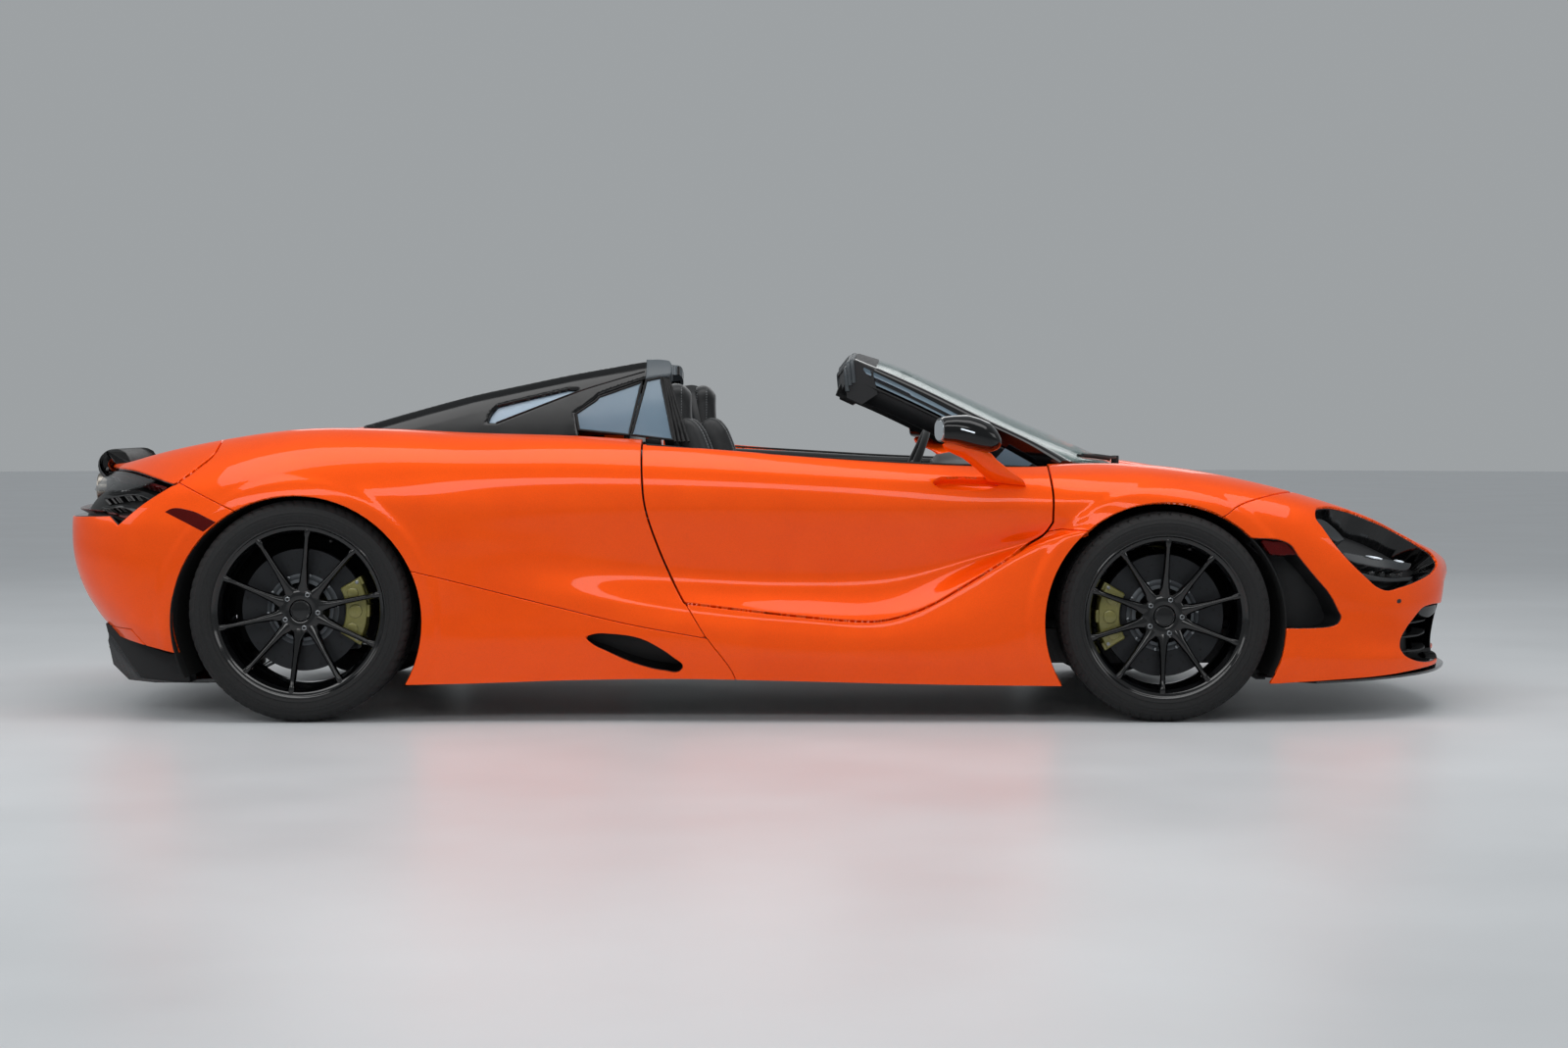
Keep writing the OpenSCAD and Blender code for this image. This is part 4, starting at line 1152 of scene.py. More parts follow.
def shell_object(name: str, points: np.ndarray, faces: np.ndarray, loops: np.ndarray) -> bpy.types.Object:
    """Make an object with the normal of each face corner given.

    Args:
        name: name of the piece.
        points: points in millimetres.
        faces: triangles.
        loops: normal of each corner of each triangle.

    Returns:
        The object.
    """
    used, inverse = np.unique(faces, return_inverse=True)
    faces = inverse.reshape(-1, 3)
    good = (faces[:, 0] != faces[:, 1]) & (faces[:, 1] != faces[:, 2]) & (faces[:, 0] != faces[:, 2])
    faces, loops = faces[good], loops[good]
    data = bpy.data.meshes.new(name)
    data.from_pydata((points[used] * MM).tolist(), [], faces.tolist())
    data.polygons.foreach_set("use_smooth", [True] * len(faces))
    size = np.linalg.norm(loops, axis=2, keepdims=True)
    loops = np.where(size > 1e-6, loops / np.maximum(size, 1e-6), np.array([0.0, 0.0, 1.0]))
    data.normals_split_custom_set(loops.reshape(-1, 3).tolist())
    data.update()
    obj = bpy.data.objects.new(name, data)
    bpy.context.collection.objects.link(obj)
    return obj


# ---------------------------------------------------------------------------------------------
# Body panels
# ---------------------------------------------------------------------------------------------
STATIONS = np.array([
    [(2150, 0, 528), (2182, 0, 518), (2212, 0, 504), (2238, 0, 488), (2262, 0, 466), (2270, 0, 436), (2268, 0, 392),
     (2260, 0, 344), (2250, 0, 290), (2244, 0, 230), (2246, 0, 170), (2244, 0, 130)],
    [(2085, 0, 548), (2126, 130, 534), (2156, 240, 517), (2180, 330, 498), (2206, 344, 474), (2216, 352, 446),
     (2207, 358, 400), (2192, 362, 352), (2170, 366, 292), (2150, 368, 222), (2140, 368, 166), (2138, 368, 132)],
    [(1960, 0, 580), (1985, 230, 574), (2020, 430, 562), (2046, 550, 552), (2082, 598, 528), (2112, 624, 480),
     (2122, 640, 422), (2120, 650, 356), (2108, 656, 290), (2106, 660, 232), (2116, 664, 176), (2112, 660, 128)],
    [(1840, 0, 612), (1850, 280, 608), (1878, 510, 612), (1905, 655, 620), (1928, 738, 588), (1948, 782, 530),
     (1962, 806, 456), (1966, 816, 376), (1962, 820, 300), (1962, 824, 240), (1968, 832, 186), (1966, 822, 122)],
    [(1690, 0, 648), (1695, 290, 646), (1708, 540, 660), (1725, 722, 680), (1730, 822, 644), (1735, 872, 582),
     (1740, 900, 500), (1742, 908, 412), (1742, 908, 330), (1742, 912, 256), (1745, 920, 190), (1745, 905, 120)],
    [(1480, 0, 694), (1480, 300, 694), (1480, 560, 714), (1480, 746, 744), (1480, 850, 708), (1480, 910, 642),
     (1480, 934, 556), (1480, 940, 462), (1480, 942, 376), (1480, 942, 280), (1480, 946, 192), (1480, 930, 118)],
    [(1229, 0, 740), (1229, 310, 742), (1229, 570, 760), (1229, 752, 786), (1229, 866, 752), (1229, 934, 686),
     (1229, 952, 612), (1229, 954, 540), (1229, 956, 470), (1229, 956, 330), (1229, 956, 194), (1229, 938, 116)],
    [(1060, 0, 775), (1030, 320, 780), (985, 580, 786), (960, 764, 793), (960, 862, 752), (960, 914, 692),
     (960, 922, 640), (960, 930, 606), (960, 945, 588), (960, 958, 400), (960, 958, 192), (960, 938, 112)],
    [(880, 0, 800), (880, 330, 800), (870, 600, 795), (840, 784, 784), (840, 862, 742), (840, 894, 680),
     (840, 892, 620), (840, 880, 560), (845, 940, 560), (850, 956, 380), (850, 958, 190), (850, 936, 112)],
    [(640, 0, 790), (640, 330, 790), (640, 600, 790), (640, 800, 786), (640, 866, 738), (640, 892, 670),
     (640, 880, 590), (640, 856, 500), (640, 930, 448), (640, 952, 320), (640, 958, 192), (640, 934, 114)],
    [(400, 0, 800), (400, 330, 800), (400, 600, 800), (400, 810, 796), (400, 872, 742), (400, 892, 664),
     (400, 876, 560), (400, 862, 440), (400, 944, 320), (400, 956, 260), (400, 958, 198), (400, 932, 118)],
    [(60, 0, 815), (60, 330, 815), (60, 600, 815), (60, 815, 820), (60, 880, 756), (60, 897, 664),
     (60, 880, 540), (60, 874, 420), (60, 942, 322), (60, 952, 268), (60, 955, 208), (60, 926, 126)],
    [(-300, 0, 860), (-300, 330, 860), (-300, 560, 860), (-300, 818, 846), (-300, 888, 772), (-300, 906, 670),
     (-300, 894, 550), (-300, 890, 440), (-300, 934, 356), (-300, 944, 300), (-300, 946, 228), (-300, 918, 132)],
    [(-620, 0, 872), (-620, 330, 872), (-620, 560, 868), (-620, 822, 862), (-620, 902, 780), (-620, 922, 680),
     (-620, 918, 570), (-620, 918, 470), (-620, 932, 394), (-620, 936, 320), (-620, 938, 240), (-620, 918, 128)],
    [(-960, 0, 880), (-960, 330, 880), (-960, 560, 882), (-960, 820, 872), (-960, 914, 790), (-960, 944, 690),
     (-960, 946, 590), (-960, 944, 500), (-960, 944, 420), (-960, 944, 330), (-960, 946, 240), (-960, 930, 118)],
    [(-1180, 0, 880), (-1180, 330, 882), (-1180, 560, 892), (-1180, 806, 886), (-1180, 908, 806), (-1180, 952, 708),
     (-1180, 960, 620), (-1180, 960, 530), (-1180, 958, 440), (-1180, 956, 340), (-1180, 956, 240),
     (-1180, 940, 116)],
    [(-1470, 0, 868), (-1470, 330, 872), (-1470, 560, 888), (-1470, 776, 893), (-1470, 888, 818), (-1470, 950, 724),
     (-1470, 964, 636), (-1470, 965, 540), (-1470, 965, 440), (-1470, 965, 340), (-1470, 963, 240),
     (-1470, 945, 130)],
    [(-1740, 0, 838), (-1740, 330, 842), (-1740, 540, 856), (-1740, 715, 861), (-1740, 836, 790), (-1740, 912, 706),
     (-1740, 938, 620), (-1742, 944, 530), (-1744, 944, 440), (-1746, 940, 340), (-1748, 930, 260),
     (-1750, 905, 190)],
    [(-1930, 0, 808), (-1930, 320, 812), (-1930, 500, 822), (-1930, 632, 826), (-1950, 752, 764), (-1975, 832, 700),
     (-1990, 868, 630), (-1996, 880, 550), (-1994, 882, 460), (-1986, 876, 370), (-1970, 862, 296),
     (-1950, 830, 230)],
    [(-2080, 0, 790), (-2075, 280, 792), (-2068, 430, 793), (-2060, 545, 792), (-2100, 630, 742), (-2150, 690, 690),
     (-2175, 716, 640), (-2180, 724, 570), (-2174, 724, 480), (-2150, 716, 390), (-2110, 696, 310),
     (-2070, 670, 250)],
    [(-2180, 0, 782), (-2165, 190, 782), (-2150, 300, 782), (-2130, 400, 782), (-2180, 410, 742), (-2235, 416, 690),
     (-2252, 420, 636), (-2256, 422, 566), (-2244, 420, 480), (-2206, 414, 388), (-2150, 404, 300),
     (-2100, 396, 250)],
    [(-2222, 0, 778), (-2216, 0, 779), (-2208, 0, 780), (-2200, 0, 781), (-2225, 0, 740), (-2258, 0, 690),
     (-2269, 0, 636), (-2270, 0, 566), (-2258, 0, 480), (-2214, 0, 388), (-2156, 0, 300), (-2106, 0, 250)],
], dtype=float)


def span(x0: float, x1: float, z0: float, z1: float) -> Outline:
    """Rectangle in side view."""
    return Outline(np.array([(x0, z0), (x1, z0), (x1, z1), (x0, z1)], dtype=float))


@dataclass
class ShutLines:
    """Outlines that neighbouring panels share, in side view or in plan.

    Attributes:
        gap: gap round doors and lids.
        seam: gap between fixed panels.
    """

    gap: float = 5.5
    seam: float = 1.6

    def __post_init__(self) -> None:
        """Draw every outline once."""
        bonnet = [(1182, 0), (1176, 200), (1116, 400), (1066, 500), (1012, 590), (1060, 634), (1229, 664), (1480, 622),
                  (1700, 556), (1840, 486), (1950, 390), (2020, 260), (2048, 130), (2056, 0)]
        whole = bonnet + [(x, -y) for x, y in bonnet[-2:0:-1]]
        self.bonnet = Outline(flowing(whole, corners=(4, 5, len(whole) - 4, len(whole) - 5)), (0, 1))
        self.door = Outline(flowing([
            (868, 960), (868, 758), (873, 701), (872, 615), (848, 581), (802, 552), (686, 478), (571, 407), (514, 374),
            (456, 347), (399, 328), (330, 315), (250, 316), (111, 328), (-263, 370), (-289, 417), (-344, 539),
            (-386, 674), (-395, 780), (-397, 960)], corners=(0, 3, 14, 19)))
        self.sill = Outline(flowing([
            (1100, 586), (900, 594), (848, 581), (802, 552), (686, 478), (571, 407), (514, 374), (456, 347),
            (399, 328), (330, 315), (250, 316), (111, 328), (-263, 370), (-194, 258), (-110, 136), (-90, 60),
            (1100, 60)], corners=(0, 1, 12, 15, 16)))
        self.rear_sill = Outline(flowing([
            (-1300, 514), (-1111, 468), (-672, 358), (-441, 303), (-194, 258), (-110, 136), (-90, 60), (-1300, 60)],
            corners=(0, 4, 6, 7)))
        self.lamp = Outline(flowing([
            (1695, 632), (1703, 655), (1728, 660), (1806, 650), (1884, 624), (1997, 574), (2066, 534), (2125, 496),
            (2135, 472), (2112, 452), (2048, 427), (1973, 408), (1921, 400), (1885, 414), (1856, 438), (1807, 483),
            (1756, 539), (1715, 598)]))
        self.bumper = Outline(flowing([
            (1300, 634), (1402, 636), (1440, 662), (1525, 690), (1600, 703), (1700, 706), (1760, 716), (1900, 740),
            (2400, 800), (2400, 162), (2160, 160), (2059, 151), (1905, 136), (1744, 127), (1555, 117), (1300, 100)],
            corners=(0, 8, 9, 15)))
        self.vent = Outline(flowing([
            (1380, 577), (1495, 569), (1583, 560), (1606, 549), (1633, 511), (1682, 451), (1732, 393), (1760, 343),
            (1770, 322), (1760, 302), (1731, 292), (1692, 289), (1594, 289), (1380, 289)], corners=(0, 13)))
        self.corner_intake = Outline(flowing([
            (2400, 338), (2180, 342), (2090, 347), (2062, 342), (2021, 309), (1991, 278), (1970, 244), (1968, 221),
            (1981, 200), (2012, 182), (2066, 168), (2160, 172), (2400, 174)], corners=(0, 12)))
        self.wing = Outline(flowing([
            (-1730, 990), (-1730, 864), (-1736, 834), (-1784, 784), (-1850, 734), (-1935, 757), (-2018, 774),
            (-2100, 778), (-2186, 777), (-2400, 768), (-2400, 990)], corners=(0, 4, 9, 10)))
        self.tail = Outline(flowing([
            (-2400, 768), (-2186, 777), (-2100, 778), (-2018, 774), (-1935, 757), (-1850, 734), (-1953, 667),
            (-2027, 606), (-2058, 634), (-2160, 630), (-2420, 616)], corners=(0, 5, 7, 8, 10)))
        self.rear_bumper = Outline(flowing([
            (-1838, 739), (-1850, 734), (-2035, 776), (-2420, 850), (-2420, 282), (-1994, 280), (-1918, 205),
            (-1871, 185), (-1830, 160), (-1560, 160), (-1560, 616), (-1646, 651)],
            corners=(0, 1, 2, 3, 4, 5, 8, 9, 10)))
        self.side_intake = Outline(flowing([
            (-568, 262), (-540, 273), (-490, 273), (-384, 253), (-350, 235), (-303, 203), (-269, 168), (-280, 155),
            (-326, 157), (-413, 178), (-499, 216), (-550, 243)]))
        self.deck = Outline(flowing([
            (-250, 704), (-430, 704), (-700, 677), (-1000, 647), (-1300, 617), (-1560, 560), (-1725, 540),
            (-1725, -540), (-1560, -560), (-1300, -617), (-1000, -647), (-700, -677), (-430, -704), (-250, -704)],
            corners=(0, 1, 6, 7, 12, 13)), (0, 1))
        cabin = [(1160, 0), (1150, 200), (1096, 400), (1010, 560), (900, 700), (780, 742), (300, 760), (-300, 740)]
        self.cabin = Outline(flowing(cabin + [(x, -y) for x, y in cabin[:0:-1]], corners=(7, 8)), (0, 1))
        self.front_arch = circle(1219.5, 305, 374)
        self.rear_arch = circle(-1461.5, 311, 389)
        self.tail_intake = Outline(flowing([
            (440, 190), (470, 440), (420, 470), (-420, 470), (-470, 440), (-440, 190)], corners=(0, 5)), (1, 2))


@dataclass
class CarBody:
    """Painted outer panels, each cut from the one body surface.

    Attributes:
        lines: shut lines.
        skin: thickness of a panel.
    """

    lines: ShutLines = field(default_factory=ShutLines)
    skin: float = 14.0

    def __post_init__(self) -> None:
        """Work out the fine surface."""
        self.surface = BodySurface(STATIONS, flares=((1219.5, 305, 374), (-1461.5, 311, 389)))
        self.sheet = self.surface.build()
        log.info("body surface: %d triangles", len(self.sheet.tris))

    def part(self, low: float, high: float) -> Patch:
        """Sheet between two X positions, so that cuts work on few triangles."""
        x = self.sheet.points[:, 0]
        keep = (x[self.sheet.tris] > low).any(axis=1) & (x[self.sheet.tris] < high).any(axis=1)
        tris = self.sheet.tris[keep]
        used, inverse = np.unique(tris, return_inverse=True)
        return Patch(self.sheet.points[used], self.sheet.normals[used], inverse.reshape(-1, 3))

    def paint(self, obj: bpy.types.Object, body: str, *nodes: str) -> bpy.types.Object:
        """Finish a painted panel and hang it on its body."""
        dressed(obj, Stock.paint)
        return given(obj, body, "body_paint", *nodes)

    def front(self) -> None:
        """Front bumper, fenders and bonnet."""
        s = self.lines
        nose = self.part(1290, 2400)
        bumper = Panel("front_bumper_skin", nose, keep=[s.bumper],
                       drop=[s.front_arch, s.bonnet.wider(s.gap), s.lamp, s.vent, s.corner_intake],
                       thick=self.skin).build()
        self.paint(bumper, "body", "front_bumper")
        fender_area = Outline(np.array([(845, 1000), (845, 540), (1700, 540), (1700, 1000)], dtype=float))
        flank = self.part(800, 1720)
        deck_edge = s.cabin
        for side in Side:
            tag = side.name.lower()
            fender = Panel(f"front_fender_{tag}", flank, keep=[fender_area],
                           drop=[s.bumper.wider(s.seam), s.door.wider(s.gap), s.sill.wider(s.seam), s.front_arch,
                                 s.bonnet.wider(s.gap), deck_edge.wider(s.seam)], thick=self.skin).build(side)
            self.paint(fender, "body", "front_fenders")
        hood = self.part(990, 2100)
        lid = Panel("bonnet_skin", hood, keep=[s.bonnet], drop=[], thick=self.skin).build()
        self.paint(lid, "bonnet", "bonnet")

    def flanks(self) -> None:
        """Sills, rear sills, doors and rear quarters."""
        s = self.lines
        mid = self.part(-700, 1150)
        low = self.part(-1350, -50)
        back = self.part(-2200, -200)
        for side in Side:
            tag = side.name.lower()
            sill = Panel(f"sill_{tag}", mid, keep=[s.sill], drop=[s.rear_sill.wider(s.seam), s.door.wider(s.gap),
                                                                  s.front_arch], thick=30).build(side)
            self.paint(sill, "body", "sills")
            rear_sill = Panel(f"rear_sill_{tag}", low, keep=[s.rear_sill], drop=[s.side_intake, s.rear_arch],
                              thick=24).build(side)
            self.paint(rear_sill, "body", "rear_sills")
            door = Panel(f"door_skin_{tag}", mid, keep=[s.door], drop=[self.belt(), Fittings.scoop()],
                         thick=self.skin).build(side)
            self.paint(door, f"door_{tag}")
            area = span(-2100, -150, 172, 1000)
            quarter = Panel(f"rear_quarter_{tag}", back, keep=[area],
                            drop=[s.door.wider(s.gap), s.rear_sill.wider(s.seam), s.sill.wider(s.seam),
                                  s.rear_bumper.wider(s.seam), s.wing.wider(s.gap), s.tail.wider(s.seam),
                                  s.rear_arch, s.deck.wider(s.seam)], thick=self.skin).build(side)
            self.paint(quarter, "body", "rear_quarters")

    def belt(self) -> Outline:
        """Plan outline of the cockpit opening that bounds the tops of the doors."""
        return Outline(np.array([(-420, 806), (-420, -900), (900, -900), (900, 772), (780, 776), (640, 786), (400, 796),
                                 (60, 804), (-300, 806)], dtype=float), (0, 1))

    def rear(self) -> None:
        """Rear bumper, deck and wing."""
        s = self.lines
        back = self.part(-2400, -1540)
        bumper = Panel("rear_bumper_skin", back, keep=[s.rear_bumper],
                       drop=[s.wing.wider(s.gap), s.tail.wider(s.seam), s.rear_arch, s.tail_intake],
                       thick=self.skin).build()
        self.paint(bumper, "body", "rear_bumper")
        wing = Panel("airbrake_skin", back, keep=[s.wing], drop=[], thick=22).build()
        self.paint(wing, "wing", "airbrake_wing")
        deck = Outline(np.array([(-1310, 600), (-1560, 560), (-1712, 540), (-1712, -540), (-1560, -560),
                                 (-1310, -600)], dtype=float), (0, 1))
        lid = Panel("rear_deck_skin", self.part(-1800, -1200), keep=[deck], drop=[], thick=18).build()
        self.paint(lid, "body", "rear_deck")

    def make(self) -> None:
        """Build every painted panel."""
        self.front()
        self.flanks()
        self.rear()


# ---------------------------------------------------------------------------------------------
# Running gear
# ---------------------------------------------------------------------------------------------
def loft(name: str, rings: Sequence[Sequence[Pt3]], capped: bool = True, closed: bool = False) -> bpy.types.Object:
    """Skin a row of rings that have as many points each.

    Args:
        name: name of the piece.
        rings: rings of points in millimetres.
        capped: whether the first and last rings are filled.
        closed: whether the last ring joins the first.

    Returns:
        The piece, facing outwards.
    """
    count = len(rings[0])
    points = [p for ring in rings for p in ring]
    faces = []
    last = len(rings) if closed else len(rings) - 1
    for i in range(last):
        a, b = i * count, ((i + 1) % len(rings)) * count
        faces += [[a + j, a + (j + 1) % count, b + (j + 1) % count, b + j] for j in range(count)]
    if capped and not closed:
        faces += [list(range(count)), [(len(rings) - 1) * count + j for j in range(count)]]
    return outwards(mesh_object(name, points, faces), 0.001)


@dataclass
class RoadWheel:
    """Ten-spoke wheel with its tyre, drilled disc and bolts, built for the left side and mirrored for the right.

    Attributes:
        end: front or rear.
        centre: hub centre at the middle of the tyre, left side.
        tyre_r: tyre radius.
        width: tyre width.
        seat_r: rim seat radius.
        first_spoke: angle of the first spoke from straight up, in degrees.
        disc_r: brake disc radius.
        tread_pitch: length of one tread block.
    """

    end: str
    centre: Pt3
    tyre_r: float
    width: float
    seat_r: float
    first_spoke: float
    disc_r: float = 190.0
    tread_pitch: float = 34.0
    spokes: int = 10

    def tyre(self) -> bpy.types.Object:
        """Spin the tyre's section, then press the cross grooves into its blocks."""
        r, w, s = self.tyre_r - 0.2, self.width, self.seat_r
        half = w / 2
        side = [(s + 3, half - 18), (s + 8, half - 11), (s + 15, half - 6.5), (s + 19, half - 2.5),
                (s + 23, half - 1.2), (s + 25, half - 2.6), (s + 32, half - 1.2), (s + 42, half - 0.6),
                (s + 43.2, half - 1.6),
                (s + 50, half - 1.4), (s + 51.2, half - 2.4), (r - 22, half - 5.2), (r - 21, half - 7),
                (r - 13, half - 12), (r - 7, half - 19), (r - 3.2, half - 28)]
        tread = []
        groove_w, deep = 9.0, 6.5
        marks = [0.355, 0.13]
        lip = half - 34
        for m in marks:
            g = m * w
            top = r - 2.6 * (g / half) ** 2
            tread += [(r - 2.6 * ((g + groove_w / 2 + 8) / half) ** 2, g + groove_w / 2 + 8),
                      (top, g + groove_w / 2), (top - deep, g + groove_w / 2 - 1.2),
                      (top - deep, g - groove_w / 2 + 1.2), (top, g - groove_w / 2)]
        tread = [(a, b) for a, b in tread if b < lip + 4]
        upper = side + tread + [(r, 4.0)]
        profile = upper + [(a, -b) for a, b in upper[::-1]]
        profile += [(s + 1.5, -half + 30), (s + 1.5, half - 30)]
        steps = int(round(2 * math.pi * r / self.tread_pitch)) * 6
        obj = lathe(f"tyre_{self.end}", profile, self.centre, "Y", steps)
        data = obj.data
        co = np.empty(len(data.vertices) * 3)
        data.vertices.foreach_get("co", co)
        co = co.reshape(-1, 3)
        x, y, z = (co - np.array(self.centre) * MM).T / MM
        rad = np.hypot(x, z)
        ang = np.arctan2(z, x)
        blocks = steps / 6
        shoulder = (np.abs(y) > 0.375 * w) & (rad > r - 14) & (np.abs(y) < half - 8)
        middle = (np.abs(y) < 0.33 * w) & (np.abs(y) > 0.09 * w) & (rad > r - 4.5)
        phase = (ang * blocks / (2 * np.pi) + np.abs(y) / 70) % 1
        press = np.where(shoulder & (phase < 0.17), 5.0, 0) + np.where(middle & (phase < 0.17), 4.2, 0)
        factor = (rad - press) / np.maximum(rad, 1e-6)
        co[:, 0] = (self.centre[0] + x * factor) * MM
        co[:, 2] = (self.centre[2] + z * factor) * MM
        data.vertices.foreach_set("co", co.reshape(-1))
        data.update()
        return dressed(smooth(obj, 30), Stock.tyre)

    def spoke(self, angle: float) -> bpy.types.Object:
        """Loft one spoke from the hub to the rim, with a ridge along its middle and a step at its outer end."""
        half, s = self.width / 2, self.seat_r
        rows = [(46, 23, half - 52, 40), (64, 20, half - 46, 40), (90, 13.5, half - 42, 38), (140, 9.2, half - 33, 32),
                (s - 46, 8.2, half - 22, 26), (s - 26, 8.6, half - 18, 24), (s - 24, 10.6, half - 17, 24),
                (s - 10, 11.5, half - 15, 26), (s - 2, 13.0, half - 17, 26)]
        rings = []
        for radius, wide, top, deep in rows:
            ring = [(-wide, top - deep), (-wide, top - 9), (-wide * 0.62, top - 2.5), (-wide * 0.2, top),
                    (wide * 0.2, top), (wide * 0.62, top - 2.5), (wide, top - 9), (wide, top - deep),
                    (wide * 0.5, top - deep - 2), (-wide * 0.5, top - deep - 2)]
            rings.append([(self.centre[0] + a, self.centre[1] + b, self.centre[2] + radius) for a, b in ring])
        return turned(loft("spoke", rings), self.centre, (0, 1, 0), angle)

    def rim(self) -> bpy.types.Object:
        """Barrel, lip, ten spokes, hub face and cap."""
        half, s, c = self.width / 2, self.seat_r, self.centre
        barrel = lathe("barrel", [
            (s + 16, half - 10), (s + 15, half - 7), (s + 12.5, half - 6), (s + 9, half - 8), (s + 6, half - 14),
            (s + 1, half - 17), (s - 5, half - 19), (s - 8, half - 24), (s - 8, half - 40), (s - 12, half - 46),
            (s - 14, half - 62), (s - 22, half - 92), (s - 24, 0), (s - 20, -half + 60), (s - 12, -half + 30),
            (s + 8, -half + 12), (s + 13, -half + 9), (s + 15, -half + 12), (s + 12, -half + 20), (s - 6, -half + 40),
            (s - 10, 0), (s - 4, half - 60), (s - 2, half - 30), (s + 10, half - 20)], c, "Y", 144)
        smooth(barrel, 38)
        hub = lathe("hub", [(0, half - 100), (60, half - 100), (84, half - 92), (86, half - 78), (74, half - 64),
                            (70, half - 54), (62, half - 49), (40, half - 48), (35, half - 50), (33, half - 60),
                            (0, half - 60)], c, "Y", 96)
        smooth(hub, 38)
        cap = lathe("cap", [(0, half - 62), (32, half - 62), (32.5, half - 52), (31, half - 49), (29, half - 48.2),
                            (27, half - 49.5), (26.5, half - 51), (14, half - 50), (0, half - 49.6)], c, "Y", 64)
        smooth(cap, 30)
        parts = [barrel, hub, cap]
        for k in range(self.spokes):
            parts.append(smooth(self.spoke(self.first_spoke + 360 / self.spokes * k), 40))
        for part in parts:
            dressed(part, Stock.wheel_black)
        ring = lathe("cap_ring", [(29.4, half - 49), (30.4, half - 47.4), (31.4, half - 49)], c, "Y", 64)
        parts.append(dressed(smooth(ring), Stock.steel))
        for k in range(5):
            a = math.radians(self.first_spoke + 18 + 72 * k)
            px, pz = c[0] + 54 * math.sin(a), c[2] + 54 * math.cos(a)
            seat = lathe("bolt_seat", [(9.5, half - 49.5), (14, half - 48.4), (15, half - 50), (12, half - 54)],
                         (px, c[1], pz), "Y", 28)
            parts.append(dressed(smooth(seat), Stock.wheel_black))
            bolt = rod("bolt", (px, c[1] + half - 70, pz), (px, c[1] + half - 45, pz), 8.6, 6, 1.2)
            parts.append(dressed(bolt, Stock.steel))
            socket = rod("bolt_socket", (px, c[1] + half - 60, pz), (px, c[1] + half - 44.8, pz), 4.6, 12)
            parts.append(dressed(socket, Stock.seal))
        valve_a = math.radians(self.first_spoke + 18)
        vr = s - 20
        vx, vz = c[0] + vr * math.sin(valve_a), c[2] + vr * math.cos(valve_a)
        valve = rod("valve", (vx, c[1] + half - 70, vz), (vx, c[1] + half - 34, vz), 4.2, 16, 1)
        parts.append(dressed(valve, Stock.seal))
        return joined(f"rim_{self.end}", parts)

    def disc(self) -> bpy.types.Object:
        """Ventilated and cross-drilled disc on its bell."""
        half, c, r = self.width / 2, self.centre, self.disc_r
        top = half - 102
        faces = []
        for low, high in ((top - 10, top), (top - 30, top - 20)):
            faces.append(dressed(smooth(lathe("rotor", [(112, low), (r - 1, low), (r, low + 1), (r, high - 1),
                                                       (r - 1, high), (112, high)], c, "Y", 144), 30),
                                 Turned("ground_iron_brake_disc", "#2E2F31", rough=0.38, metal=0.8, colour_swing=0.16,
                                        grain_mm=4)))
        bell = lathe("bell", [(60, top - 20), (116, top - 20), (116, top - 2), (104, top + 2), (96, top + 12),
                              (60, top + 14)], c, "Y", 96)
        parts = faces + [dressed(smooth(bell, 40), Stock.cast_alloy)]
        holes = []
        for k in range(60):
            a = 2 * math.pi * k / 60
            radius = (128, 144, 160, 176)[k % 4]
            x, z = c[0] + radius * math.sin(a), c[2] + radius * math.cos(a)
            holes.append(rod("drilling", (x, c[1] + top - 1, z), (x, c[1] + top + 0.3, z), 3.6, 10))
        for k in range(10):
            a = 2 * math.pi * k / 10 + 0.2
            x, z = c[0] + 108 * math.sin(a), c[2] + 108 * math.cos(a)
            parts.append(dressed(rod("bobbin", (x, c[1] + top - 4, z), (x, c[1] + top + 6, z), 5, 10, 0.8),
                                 Stock.steel))
        for k in range(40):
            a = 2 * math.pi * k / 40
            x0, z0 = c[0] + 116 * math.sin(a), c[2] + 116 * math.cos(a)
            x1, z1 = c[0] + (r - 3) * math.sin(a + 0.1), c[2] + (r - 3) * math.cos(a + 0.1)
            parts.append(dressed(rod("vane", (x0, c[1] + top - 15, z0), (x1, c[1] + top - 15, z1), 5.2, 6),
                                 Stock.cast_alloy))
        dark = joined("drillings", holes)
        parts.append(dressed(dark, Stock.seal))
        return joined(f"brake_disc_{self.end}", parts)

    def make(self) -> None:
        """Build both wheels of the axle."""
        slots = {"tyre": "tyre_rubber", "rim": "rim_black", "brake_disc": "rim_black"}
        for obj in (self.tyre(), self.rim(), self.disc()):
            base = obj.name.rsplit("_", 1)[0]
            twin = mirrored(obj, f"{obj.name}_right")
            obj.name = f"{obj.name}_left"
            for piece, side in ((obj, "left"), (twin, "right")):
                nodes = [] if base == "brake_disc" else [f"{base}_{self.end}_{side}"]
                given(piece, f"wheel_{self.end}_{side}", slots[base], *nodes)


